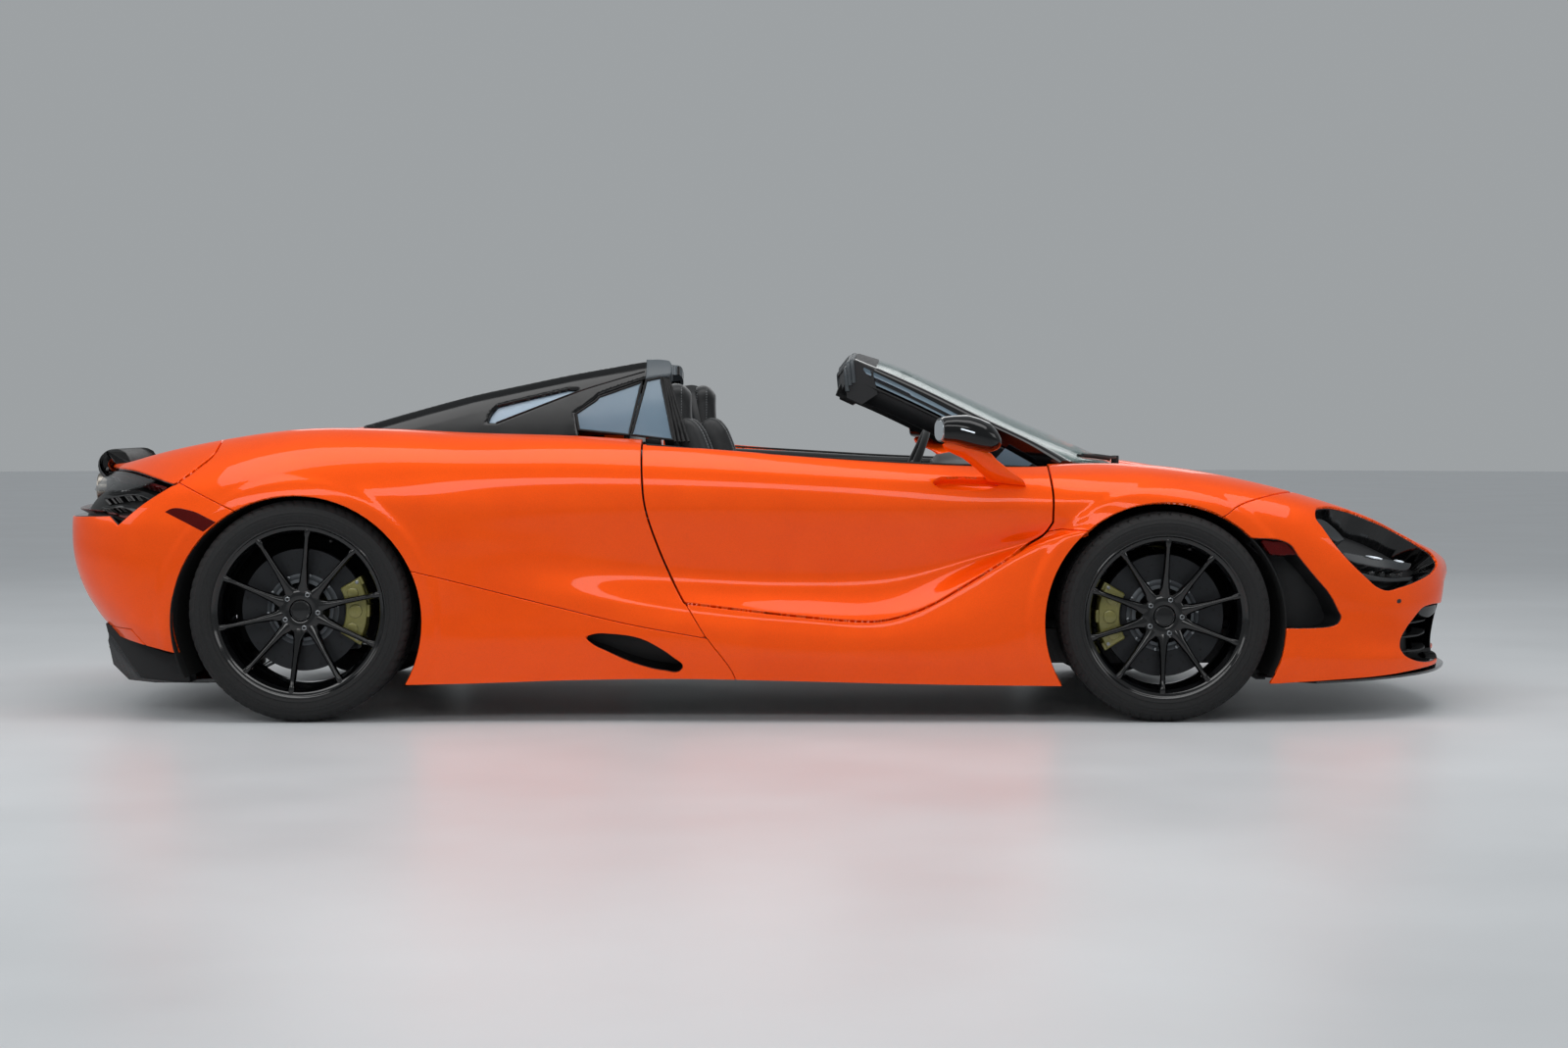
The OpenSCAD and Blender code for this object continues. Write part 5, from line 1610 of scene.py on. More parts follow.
@dataclass
class Corner:
    """Brake caliper, upright, spring and damper, and arch liner at one end of the car, built left and mirrored.

    Attributes:
        wheel: the wheel that they carry.
        reach: -1 where the caliper sits behind the hub, 1 where it sits ahead of it.
        nodes: construction nodes that the uprights stand for.
        arch: X, Z and radius of the wheel arch.
        inner_y: where the liner's inner wall stands.
    """

    wheel: RoadWheel
    reach: int
    nodes: tuple[str, str]
    bodies: tuple[str, str]
    arch: Pt3
    inner_y: float
    outer_y: float

    def caliper(self) -> bpy.types.Object:
        """Six-piston caliper: two rounded halves, bridges, pads and pins."""
        c, w = self.wheel.centre, self.wheel
        mid = c[1] + w.width / 2 - 117
        parts = []

        def arc(r0: float, r1: float, a0: float, a1: float, low: float, high: float, name: str,
                finish: Finish, round_mm: float = 3.0) -> None:
            """Block bounded by two radii and two angles about the hub."""
            angles = np.radians(np.linspace(a0, a1, 14))
            out = [(c[0] + self.reach * r1 * math.cos(a), c[2] + r1 * math.sin(a)) for a in angles]
            back = [(c[0] + self.reach * r0 * math.cos(a), c[2] + r0 * math.sin(a)) for a in angles[::-1]]
            parts.append(dressed(bevelled(prism(name, out + back, low, high), round_mm, 3), finish))

        for low, high in ((mid + 19, mid + 44), (mid - 44, mid - 19)):
            arc(136, 204, -31, 30, low, high, "caliper_half", Stock.caliper, 6)
        for a0, a1 in ((-31, -24), (-6, 5), (23, 30)):
            arc(184, 211, a0, a1, mid - 42, mid + 42, "caliper_bridge", Stock.caliper, 4)
        for a in (-20, -1, 18):
            x = c[0] + self.reach * 166 * math.cos(math.radians(a))
            z = c[2] + 166 * math.sin(math.radians(a))
            cap = rod("piston_boss", (x, mid + 40, z), (x, mid + 49, z), 21 if a == -1 else 18, 40, 3)
            parts.append(dressed(cap, Stock.caliper))
        arc(128, 190, -20, 19, mid + 13.6, mid + 18.6, "pad", Stock.cast_iron, 1)
        arc(128, 190, -20, 19, mid - 18.6, mid - 13.6, "pad", Stock.cast_iron, 1)
        for a in (-14, 13):
            x = c[0] + self.reach * 197 * math.cos(math.radians(a))
            z = c[2] + 197 * math.sin(math.radians(a))
            parts.append(dressed(rod("pad_pin", (x, mid - 40, z), (x, mid + 40, z), 3.2, 14), Stock.steel))
        for a in (-27, 27):
            x = c[0] + self.reach * 192 * math.cos(math.radians(a))
            z = c[2] + 192 * math.sin(math.radians(a))
            parts.append(dressed(rod("bridge_bolt", (x, mid + 30, z), (x, mid + 48, z), 6, 6, 0.8), Stock.steel))
        path = [(c[0] + self.reach * 150, mid - 48, c[2] + 90), (c[0] + self.reach * 120, mid - 90, c[2] + 140),
                (c[0] + self.reach * 60, mid - 150, c[2] + 150)]
        parts.append(dressed(tube("brake_line", path, 4, steps=8), Stock.seal))
        return joined(f"caliper_{w.end}", parts)

    def upright(self) -> bpy.types.Object:
        """Cast upright with its bearing housing and lugs."""
        c, w = self.wheel.centre, self.wheel
        mid = c[1] + w.width / 2 - 117
        parts = [lathe("bearing_housing", [(0, mid - 70), (52, mid - 70), (64, mid - 60), (64, mid - 24),
                                           (40, mid - 21), (0, mid - 21)], (c[0], 0, c[2]), "Y", 64)]
        smooth(parts[0], 40)
        web = [(-30, -128), (30, -128), (44, -40), (60, 0), (40, 60), (24, 128), (-24, 128), (-40, 60), (-60, 0),
               (-44, -40)]
        parts.append(bevelled(prism("web", [(c[0] + a, c[2] + b) for a, b in web], mid - 72, mid - 50), 6, 3))
        if w.end == "front":
            parts.append(rod("steering_axis", (c[0], 800, c[2] - 127), (c[0], 800, c[2] + 125), 15, 32, 2))
        lug = [(c[0] + self.reach * a, c[2] + b) for a, b in ((20, -46), (150, -62), (168, -40), (168, 40),
                                                             (150, 62), (20, 46))]
        parts.append(bevelled(prism("caliper_lug", lug, mid - 60, mid - 45), 4, 2))
        for part in parts:
            dressed(part, Stock.cast_alloy)
        return joined(f"upright_{w.end}", parts)

    def liner(self) -> bpy.types.Object:
        """Moulded felt liner over the wheel."""
        x, z, r = self.arch
        profile = [(r - 3, self.inner_y), (r + 1, self.inner_y), (r + 1, self.outer_y), (r - 3, self.outer_y),
                   (r - 3, self.outer_y - 60), (r - 5, self.outer_y - 66), (r - 5, self.outer_y - 80),
                   (r - 3, self.outer_y - 86)]
        shell = lathe(f"arch_liner_{self.wheel.end}", profile, (x, 0, z), "Y", 80, 234)
        turned(shell, (x, 0, z), (0, 1, 0), 27)
        wall = lathe("liner_wall", [(150, self.inner_y - 4), (r + 1, self.inner_y - 4), (r + 1, self.inner_y),
                                    (150, self.inner_y)], (x, 0, z), "Y", 72, 180)
        obj = joined(f"arch_liner_{self.wheel.end}", [smooth(shell, 40), smooth(wall, 40)])
        return dressed(obj, Finish("needled_felt_liner", "#101112", rough=0.95, grain_mm=3, bump_mm=0.3,
                                   colour_swing=0.3))

    def damper(self) -> bpy.types.Object:
        """Coil spring round its damper."""
        c, w = self.wheel.centre, self.wheel
        foot = Vector((c[0], 610.0, c[2] - 90))
        head = Vector((c[0] - 10 * self.reach, 560.0 if w.end == "front" else 470.0, c[2] + 270))
        axis = (head - foot).normalized()
        side = axis.cross(Vector((1, 0, 0))).normalized()
        other = axis.cross(side)
        turns, path = 7, []
        start, length = 0.22, 0.68
        for k in range(turns * 12 + 1):
            a = 2 * math.pi * k / 12
            p = foot + (head - foot) * (start + length * k / (turns * 12))
            p = p + (side * math.cos(a) + other * math.sin(a)) * 42
            path.append(tuple(p))
        spring = dressed(tube("spring", path, 6.0, sides=8, steps=2), Stock.caliper)
        parts = [spring]
        parts.append(dressed(rod("damper_body", tuple(foot), tuple(foot + (head - foot) * 0.6), 24, 32, 3),
                             Stock.alloy))
        parts.append(dressed(rod("damper_rod", tuple(foot + (head - foot) * 0.5), tuple(head), 9, 24), Stock.chrome))
        for f in (0.2, 0.92):
            p = foot + (head - foot) * f
            parts.append(dressed(rod("spring_seat", tuple(p), tuple(p + axis * 8), 50, 40, 2), Stock.alloy))
        return joined(f"damper_{w.end}", parts)

    def make(self) -> None:
        """Build the corner on both sides."""
        for obj in (self.caliper(), self.upright()):
            name = obj.name
            twin = mirrored(obj, f"{name}_right")
            obj.name = f"{name}_left"
            for piece, body, node in ((obj, self.bodies[0], self.nodes[0]), (twin, self.bodies[1], self.nodes[1])):
                given(piece, body, "knuckle_metal", node)
        for obj in (self.liner(), self.damper()):
            name = obj.name
            given(both_sides(name, obj), "body", "black_trim" if "liner" in name else "metal")


# ---------------------------------------------------------------------------------------------
# Greenhouse
# ---------------------------------------------------------------------------------------------
def grid_patch(points: np.ndarray, outward: Pt3) -> Patch:
    """Turn a grid of points into a sheet with normals.

    Args:
        points: rows and columns of points in millimetres.
        outward: rough direction that its normals must face.

    Returns:
        The sheet.
    """
    first = np.gradient(points, axis=0)
    second = np.gradient(points, axis=1)
    n = np.cross(first, second)
    n /= np.maximum(np.linalg.norm(n, axis=2, keepdims=True), 1e-9)
    flip = (n * np.array(outward)).sum() < 0
    if flip:
        n = -n
    rows, cols = points.shape[:2]
    index = np.arange(rows * cols).reshape(rows, cols)
    a, b, c, d = index[:-1, :-1], index[1:, :-1], index[1:, 1:], index[:-1, 1:]
    tris = np.concatenate([np.stack([a, b, c], -1).reshape(-1, 3), np.stack([a, c, d], -1).reshape(-1, 3)])
    if flip:
        tris = tris[:, ::-1]
    return Patch(points.reshape(-1, 3), n.reshape(-1, 3), tris)


def curve_through(points: Sequence[Sequence[float]], where: np.ndarray) -> np.ndarray:
    """Smooth curve through points at even parameters.

    Args:
        points: rows of coordinates.
        where: parameters from 0 to the number of points less one.

    Returns:
        Points of the curve.
    """
    p = np.asarray(points, dtype=float)
    d = np.gradient(p, axis=0)
    i = np.clip(np.floor(where).astype(int), 0, len(p) - 2)
    f = (where - i)[:, None]
    return (2 * f ** 3 - 3 * f ** 2 + 1) * p[i] + (f ** 3 - 2 * f ** 2 + f) * d[i] \
        + (3 * f ** 2 - 2 * f ** 3) * p[i + 1] + (f ** 3 - f ** 2) * d[i + 1]


@dataclass
class Windscreen:
    """Curved windscreen with its pillars, header, seals, wipers and inner mirror.

    Attributes:
        middle: X and Z of the glass on the centre line, from cowl to header.
        edge: X, half width and Z of its outer edge.
    """

    middle: Sequence[Pt2] = ((1171, 778), (1011, 849), (798, 941), (585, 1039), (425, 1110), (290, 1150))
    edge: Sequence[Pt3] = ((902, 700, 806), (800, 684, 866), (655, 660, 935), (505, 632, 1010), (385, 604, 1066),
                           (268, 574, 1118))

    def surface(self, u: np.ndarray, w: np.ndarray) -> tuple[np.ndarray, np.ndarray]:
        """Points and normals of the outer face of the glass.

        Args:
            u: positions from 0 at the cowl to 5 at the header.
            w: positions across, 1 being the outer edge.

        Returns:
            Points and normals by position.
        """
        c, e = curve_through(self.middle, u), curve_through(self.edge, u)
        blend = np.abs(w)[None, :] ** 2.2
        x = c[:, :1] + (e[:, :1] - c[:, :1]) * blend
        z = c[:, 1:] + (e[:, 2:] - c[:, 1:]) * blend
        y = e[:, 1:2] * w[None, :]
        points = np.stack([x, y, z], axis=2)
        du, dw = np.gradient(points, axis=0), np.gradient(points, axis=1)
        n = np.cross(dw, du)
        n /= np.linalg.norm(n, axis=2, keepdims=True)
        n[n[..., 2] < 0] *= -1
        return points, n

    def band(self, name: str, u: np.ndarray, w: np.ndarray, top: float, bottom: float) -> bpy.types.Object:
        """Slab that follows the glass between two depths."""
        points, n = self.surface(u, w)
        patch = grid_patch(points + n * top, (0.4, 0.0, 0.9))
        inner = patch.points - patch.normals * (top - bottom)
        count = len(inner)
        border = patch.border_all()
        walls = np.concatenate([np.stack([border[:, 1], border[:, 0], border[:, 0] + count], 1),
                                np.stack([border[:, 1], border[:, 0] + count, border[:, 1] + count], 1)])
        faces = np.concatenate([patch.tris, patch.tris[:, ::-1] + count, walls])
        out = patch.points[border[:, 0]] - patch.points.mean(axis=0)
        out /= np.linalg.norm(out, axis=1, keepdims=True)
        wall_n = np.repeat(out[:, None, :], 3, axis=1)
        loops = np.concatenate([patch.normals[patch.tris], -patch.normals[patch.tris[:, ::-1]], wall_n, wall_n])
        return shell_object(name, np.concatenate([patch.points, inner]), faces, loops)

    def glass(self) -> None:
        """Laminated glass, its printed border and the cowl behind it."""
        pane = self.band("windscreen_glass", np.linspace(0.02, 4.55, 60), np.linspace(-0.905, 0.905, 70), 1.0, -5.0)
        given(dressed(pane, Stock.glass), "body", "glass", "windscreen")
        parts = []
        inner_w = np.interp(np.linspace(0, 1, 60), [0, 0.12, 0.4, 1.0], [0.60, 0.72, 0.80, 0.82])
        rows_u = np.linspace(0.02, 4.55, 60)
        grid = []
        for k, u in enumerate(rows_u):
            p, _ = self.surface(np.array([u, u + 0.01]), np.linspace(inner_w[k], 0.905, 5))
            grid.append(p[0] - np.array([0.42, 0.0, 0.9]) * 6.2)
        edge = grid_patch(np.array(grid), (0.4, 0, 0.9))
        border = shell_object("printed_border", edge.points, edge.tris, edge.normals[edge.tris])
        parts.append(border)
        parts.append(mirrored(border, "printed_border_right"))
        low = self.band("printed_cowl", np.linspace(0.02, 0.26, 8), np.linspace(-0.72, 0.72, 50), -5.6, -6.4)
        high = self.band("printed_header", np.linspace(4.1, 4.55, 8), np.linspace(-0.86, 0.86, 50), -5.6, -6.4)
        parts += [low, high]
        for part in parts:
            dressed(part, Stock.gloss_black)
        given(joined("windscreen_printed_border", parts), "body", "gloss_black")

    def pillar(self) -> None:
        """Gloss outer and trimmed inner pillar covers with a bead between, and two painted highlight bands on each."""
        u = np.linspace(-0.12, 5.0, 42)
        across = np.array([0.86, 0.88, 0.905, 0.935, 0.965, 0.99, 1.0])
        points, n = self.surface(u, across)
        outer_rings, inner_rings, bead = [], [], []
        for k in range(len(u)):
            at = {float(w): points[k, j] for j, w in enumerate(across)}
            up = n[k, -2]
            fade = min(1.0, 0.45 + 0.18 * u[k] + 0.4)
            ring = [(0.905, 1.5), (0.935, 5), (0.965, 6.5), (0.99, 4.5), (1.0, -2), (1.0, -22), (1.0, -44), (0.99, -52),
                    (0.965, -54), (0.905, -40), (0.88, -12)]
            outer_rings.append([tuple(at[w] + up * b) for w, b in ring])
            depth = -116 * fade
            ring = [(0.99, -56), (0.99, -72), (0.965, depth * 0.86), (0.935, depth), (0.88, depth + 8), (0.86, -62),
                    (0.88, -46), (0.935, -50)]
            inner_rings.append([tuple(at[w] + up * b) for w, b in ring])
            bead.append(tuple(at[1.0] + up * -54))
        # Painted highlight: two pale metal strips stand in for a lamp's reflection on each gloss pillar cover.
        highlight_bands = []
        edge, out_of = self.surface(np.linspace(1.6, 4.72, 30), across)
        for top, low in ((-5, -27), (-32, -43)):
            strip = []
            for k, f in enumerate(np.linspace(0, 1, 30)):
                spot, up = edge[k, -1], out_of[k, -2]
                span_ = (top - low) * (0.35 + 0.65 * f)
                strip.append([tuple(spot + up * (low + b * span_) + (0, out, 0)) for b, out in
                              ((0, -1), (0.04, 1.2), (0.5, 1.6), (0.96, 1.2), (1, -1))])
            highlight_bands.append(dressed(smooth(loft("pillar_band", strip), 60), Stock.dark_chrome))
        given(both_sides("windscreen_pillar_bands", joined("pillar_bands", highlight_bands)), "body", "gloss_black")
        light = prism("fixed_light", [(740, 842), (826, 793), (812, 786), (700, 787), (704, 802)], 712, 716)
        given(both_sides("fixed_quarter_lights", dressed(light, Stock.side_glass)), "body", "glass")
        outer = smooth(loft("pillar_cover", outer_rings), 40)
        inner = smooth(loft("pillar_trim", inner_rings), 40)
        seal = tube("pillar_bead", bead, 5.0, sides=8, steps=2)
        dressed(outer, Stock.gloss_black)
        dressed(inner, Stock.satin_black)
        dressed(seal, Stock.seal)
        given(both_sides("windscreen_pillar_covers", outer), "body", "gloss_black", "windscreen_frame")
        given(both_sides("windscreen_pillar_trims", inner), "body", "black_trim")
        given(both_sides("windscreen_pillar_beads", seal), "body", "black_trim")

    def header(self) -> None:
        """Header rail with the roof's rubber seals along its rear edge."""
        w = np.linspace(-1.0, 1.0, 49)
        points, _ = self.surface(np.array([4.45, 5.0]), w)
        rings = []
        for k in range(len(w)):
            f, e = points[0, k], points[1, k]
            end = abs(w[k]) ** 6
            ring = [f + (0, 0, 3), e * 0.5 + f * 0.5 + (0, 0, 4), e + (6, 0, 3), e + (-8, 0, -1), e + (-20, 0, -12),
                    e + (-26, 0, -34), e + (-28, 0, -62 - 14 * end), e + (-24, 0, -82 - 34 * end),
                    e + (24, 0, -82 - 56 * end), f + (10, 0, -46 - 30 * end), f + (-4, 0, -14)]
            rings.append([tuple(p) for p in ring])
        rail = smooth(loft("windscreen_header", rings), 40)
        given(dressed(rail, Stock.dash_skin), "body", "black_trim")
        beads = []
        for drop, back, radius in ((-1, -8, 7.5), (-9, -20, 8.0), (-27, -28, 7.0)):
            path = []
            for k in range(len(w)):
                p = points[1, k] + (back, 0, drop)
                path.append(tuple(p))
            tip = np.array(path[-1])
            down = [tuple(tip + (1.5 * j, 3, -17 * j)) for j in range(1, 5)]
            lead = [(x, -y, z) for x, y, z in down[::-1]]
            beads.append(tube("header_bead", lead + path + down, radius, sides=12, steps=2))
        for bead in beads:
            dressed(bead, Finish("grey_epdm_roof_seal", "#3C4246", rough=0.5, grain_mm=5, bump_mm=0.05))
        given(joined("header_seals", beads), "body", "black_trim")
        visors = []
        for side in (1, -1):
            p0, _ = self.surface(np.array([4.2, 4.9]), np.array([0.2 * side, 0.74 * side]))
            corners = [p0[0, 0], p0[1, 0], p0[1, 1], p0[0, 1]]
            ring_top = [tuple(p + (0, 0, -40)) for p in corners]
            ring_low = [tuple(p + (6, 0, -58)) for p in corners]
            visors.append(bevelled(loft("sun_visor", [ring_top, ring_low]), 5, 3))
        for visor in visors:
            dressed(visor, Stock.suede)
        given(joined("sun_visors", visors), "body", "black_trim")

    def wipers(self) -> None:
        """Two parked wiper arms with blades, and their spindles in the cowl."""
        parts = []
        for pivot_y, reach in ((430, 560), (-60, 520)):
            u0 = 0.05
            path, blade = [], []
            for f in np.linspace(0, 1, 12):
                y = pivot_y - reach * 0.9 * f
                w = y / 700
                p, n = self.surface(np.array([u0 + 0.12 * f + 0.06, u0 + 0.2]), np.array([w, w + 0.01]))
                path.append(tuple(p[0, 0] + n[0, 0] * (20 - 8 * f)))
                blade.append(tuple(p[0, 0] + n[0, 0] * 5 + np.array([-12.0, 0, 5])))
            parts.append(dressed(tube("wiper_arm", path, 5.5, sides=8, steps=2), Stock.satin_black))
            parts.append(dressed(tube("wiper_blade", blade, 4.0, sides=8, steps=2), Stock.seal))
            hub = np.array(path[0])
            parts.append(dressed(rod("wiper_spindle", tuple(hub + (0, 0, -26)), tuple(hub + (0, 0, 6)), 13, 24, 3),
                                 Stock.satin_black))
        given(joined("wipers", parts), "body", "black_trim")
        cowl_rings = []
        for w in np.linspace(-0.86, 0.86, 40):
            p, n = self.surface(np.array([0.0, 0.02]), np.array([w, w + 0.001]))
            e = p[0, 0]
            cowl_rings.append([tuple(e + (26, 0, -14)), tuple(e + (4, 0, -3)), tuple(e + (-40, 0, 4)),
                               tuple(e + (-40, 0, -30)), tuple(e + (22, 0, -40))])
        cowl = smooth(loft("cowl_grille", cowl_rings), 30)
        given(dressed(cowl, Stock.satin_black), "body", "black_trim")

    def inner_mirror(self) -> None:
        """Rear-view mirror on its stalk."""
        p, n = self.surface(np.array([3.75, 3.8]), np.array([0.0, 0.01]))
        root = p[0, 0] - n[0, 0] * 7
        parts = [dressed(rod("mirror_stalk", tuple(root), tuple(root + (-46, 0, -52)), 9, 20, 2), Stock.satin_black),
                 dressed(rod("mirror_foot", tuple(root - n[0, 0] * 8), tuple(root), 22, 28, 3), Stock.satin_black)]
        c = root + (-58, 0, -66)
        rings = []
        for x, hw, hh in ((14, 96, 20), (8, 112, 30), (-6, 120, 34), (-12, 118, 32)):
            rings.append([(c[0] + x, c[1] + hw * math.copysign(abs(math.cos(a)) ** 0.6, math.cos(a)),
                           c[2] + hh * math.copysign(abs(math.sin(a)) ** 0.7, math.sin(a)))
                          for a in np.linspace(0, 2 * math.pi, 36, endpoint=False)])
        parts.append(dressed(smooth(loft("mirror_case", rings), 40), Stock.satin_black))
        face = [[(c[0] - 12.6, y * 0.94 + c[1] * 0.06, (z - c[2]) * 0.9 + c[2]) for x, y, z in rings[-1]],
                [(c[0] - 14, y * 0.93 + c[1] * 0.07, (z - c[2]) * 0.88 + c[2]) for x, y, z in rings[-1]]]
        parts.append(dressed(loft("mirror_face", face), Stock.mirror_glass))
        given(joined("rear_view_mirror", parts), "body", "black_trim")

    def make(self) -> None:
        """Build the windscreen."""
        self.glass()
        self.pillar()
        self.header()
        self.wipers()
        self.inner_mirror()


@dataclass
class Buttresses:
    """Flying buttresses, quarter glass and the deck between them."""

    fin: Sequence[Pt2] = ((-1299, 917), (-1115, 970), (-955, 1013), (-793, 1048), (-630, 1082), (-507, 1104),
                          (-400, 1122), (-325, 1126), (-325, 1078), (-400, 1062), (-546, 1010), (-556, 998),
                          (-619, 953), (-604, 874), (-1290, 874))
    slit: Sequence[Pt2] = ((-897, 925), (-889, 948), (-868, 976), (-755, 1004), (-644, 1030), (-614, 1028),
                           (-745, 976), (-872, 925))
    pane_rear: Sequence[Pt2] = ((-606, 900), (-617, 951), (-554, 994), (-546, 1004), (-410, 1052), (-446, 884))
    pane_front: Sequence[Pt2] = ((-438, 884), (-396, 1056), (-350, 1066), (-306, 868))

    def wall(self, x: np.ndarray, z: np.ndarray, sink: float = 0.0) -> np.ndarray:
        """Leaning side of the greenhouse."""
        gx, gz = np.meshgrid(x, z, indexing="ij")
        y = 704 - np.maximum(0, -gx - 430) * 0.1 - (gz - 880) * 0.62 - sink
        top = np.interp(gx, [p[0] for p in self.fin[:8]], [p[1] for p in self.fin[:8]])
        y = y - 26 * np.clip(1 - (top - gz) / 60, 0, 1.2) ** 2
        return np.stack([gx, y, gz], axis=2)

    def leaf(self, name: str, keep: Outline, drop: Sequence[Outline], sink: float, thick: float,
             edge: float) -> bpy.types.Object:
        """Piece of the leaning side, on both sides of the car."""
        sheet = grid_patch(self.wall(np.linspace(-1330, -290, 150), np.linspace(850, 1140, 50), sink), (0, 1, 0.5))
        left = Panel(name, sheet, keep=[keep], drop=drop, thick=thick, edge=edge).build(Side.LEFT)
        return both_sides(name, left)

    def fins(self) -> None:
        """Buttress shells with their slit windows."""
        fin = Outline(flowing(self.fin, corners=(0, 7, 8, 9, 10, 11, 12, 13, 14)))
        slit = Outline(flowing(self.slit, corners=(0, 2, 4, 5, 7)))
        shell = self.leaf("buttress_shells", fin, [slit], 0, 44, 9)
        given(dressed(shell, Stock.gloss_black), "body", "gloss_black", "tonneau")
        pane = self.leaf("buttress_slit_glass", slit.wider(6), [], 16, 5, 1)
        given(dressed(pane, Stock.slit_glass), "body", "glass", "quarter_glass")
        rear = Outline(flowing(self.pane_rear, corners=(0, 1, 2, 3, 4, 5)))
        fore = Outline(flowing(self.pane_front, corners=(0, 1, 2, 3)))
        for tag, outline in (("rear", rear), ("front", fore)):
            leaf = self.leaf(f"quarter_glass_{tag}", outline.wider(-1.0), [], 5, 5, 1)
            given(dressed(leaf, Stock.side_glass), "body", "glass")
        seals = []
        for path in (self.pane_rear + (self.pane_rear[0],), self.pane_front + (self.pane_front[0],)):
            pts = []
            for (ax, az), (bx, bz) in zip(path[:-1], path[1:]):
                for f in np.linspace(0, 1, 12, endpoint=False):
                    x, z = ax + (bx - ax) * f, az + (bz - az) * f
                    pts.append(tuple(self.wall(np.array([x]), np.array([z]), 4.0)[0, 0]))
            seals.append(tube("pane_seal", pts, 4.2, closed=True, sides=8, steps=1))
        seal = joined("pane_seals", seals)
        given(both_sides("quarter_glass_seals", dressed(seal, Stock.seal)), "body", "black_trim")
        crease = [tuple(self.wall(np.array([x]), np.array([z]), -1.0)[0, 0]) for x, z in
                  curve_through([(-872, 922), (-745, 972), (-614, 1022), (-500, 1058), (-402, 1086)],
                                np.linspace(0, 4, 40))]
        bead = dressed(tube("buttress_crease", crease, 2.2, sides=8, steps=1), Stock.gloss_black)
        given(both_sides("buttress_creases", bead), "body", "gloss_black")

    def post(self) -> None:
        """Ribbed seal strip behind the door opening, and the grey cap over its top."""
        strips = []
        for k in range(4):
            pts = []
            for f in np.linspace(0, 1, 14):
                x, z = -344 + 5 * k + (44 + 9 * k) * f, 1074 - 212 * f
                pts.append(tuple(self.wall(np.array([x]), np.array([z]), 8.0 + 2 * k)[0, 0]))
            strips.append(tube("post_seal", pts, 5.0, sides=8, steps=2))
        given(both_sides("door_post_seals", dressed(joined("post_seals", strips), Stock.seal)), "body", "black_trim")
        cap = Outline(flowing([(-399, 1128), (-350, 1128), (-322, 1122), (-314, 1098), (-318, 1077), (-352, 1070),
                               (-399, 1062)], corners=(0, 6)))
        sheet = grid_patch(self.wall(np.linspace(-410, -300, 30), np.linspace(1050, 1140, 26), -3), (0, 1, 0.5))
        leaf = Panel("post_cap", sheet, keep=[cap], thick=46, edge=7).build(Side.LEFT)
        grey = Finish("satin_grey_polyamide", "#4A5156", rough=0.42, grain_mm=1.5, bump_mm=0.04)
        given(both_sides("buttress_caps", dressed(leaf, grey)), "body", "black_trim")

    def deck(self) -> None:
        """Tonneau deck with a raised spine, vents over the engine and a rear bulkhead."""
        x = np.linspace(-1304, -458, 90)
        half = np.interp(x, [-1304, -1000, -700, -458], [586, 600, 612, 600])
        rows = []
        for xi, h in zip(x, half):
            s = np.linspace(-1, 1, 61)
            base = np.interp(xi, [-1304, -1000, -700, -458], [896, 912, 921, 918])
            hump = 26 * np.exp(-(s * h / 210) ** 4) * np.interp(xi, [-1304, -1150, -600, -458], [0.1, 1, 1, 0.5])
            dip = -16 * np.exp(-((np.abs(s) * h - 400) / 120) ** 2)
            rise = 34 * np.clip((np.abs(s) - 0.86) / 0.14, 0, 1) ** 2
            rows.append(np.stack([np.full_like(s, xi), s * h, base + hump + dip + rise - 10], axis=1))
        sheet = grid_patch(np.array(rows), (0, 0, 1))
        area = Outline(np.array([(-1300, -582), (-460, -596), (-460, 596), (-1300, 582)], dtype=float), (0, 1))
        vents = []
        for k in range(6):
            x0 = -1235 + k * 62
            vents.append(Outline(flowing([(x0, -150), (x0 + 34, -160), (x0 + 34, 160), (x0, 150)], corners=(0, 1, 2, 3),
                                         fine=4), (0, 1)))
        seam = Outline(np.array([(-812, -470), (-806, -470), (-806, 470), (-812, 470)], dtype=float), (0, 1))
        lid = Panel("tonneau_deck", sheet, keep=[area], drop=vents + [seam], thick=12, edge=3).build(Side.LEFT)
        given(dressed(lid, Stock.gloss_black), "body", "gloss_black")
        slats = []
        for k in range(6):
            x0 = -1235 + k * 62
            rings = [[(x0 - 6, y, 900), (x0 + 30, y, 918), (x0 + 32, y, 915), (x0 - 4, y, 896)] for y in (-158, 158)]
            slats.append(bevelled(loft("slat", rings), 1, 1))
        given(dressed(joined("deck_louvres", slats), Stock.satin_black), "body", "black_trim")
        back = bevelled(prism("rear_bulkhead_trim", [(-470, 700), (-462, 700), (-448, 905), (-456, 915), (-470, 915)],
                              -560, 560), 3, 2)
        given(dressed(back, Stock.suede), "body", "black_trim")
        window = Panel("rear_window", grid_patch(np.stack(np.meshgrid(np.array([-452.0]), np.linspace(-380, 380, 40),
                       np.linspace(915, 1020, 20), indexing="ij"), axis=-1)[0], (1, 0, 0)),
                       keep=[Outline(flowing([(-360, 925), (-300, 1006), (300, 1006), (360, 925)], corners=(0, 3)),
                                     (1, 2))], thick=4, edge=1).build(Side.LEFT)
        given(dressed(window, Stock.side_glass), "body", "glass")

    def make(self) -> None:
        """Build the greenhouse behind the seats."""
        self.fins()
        self.post()
        self.deck()


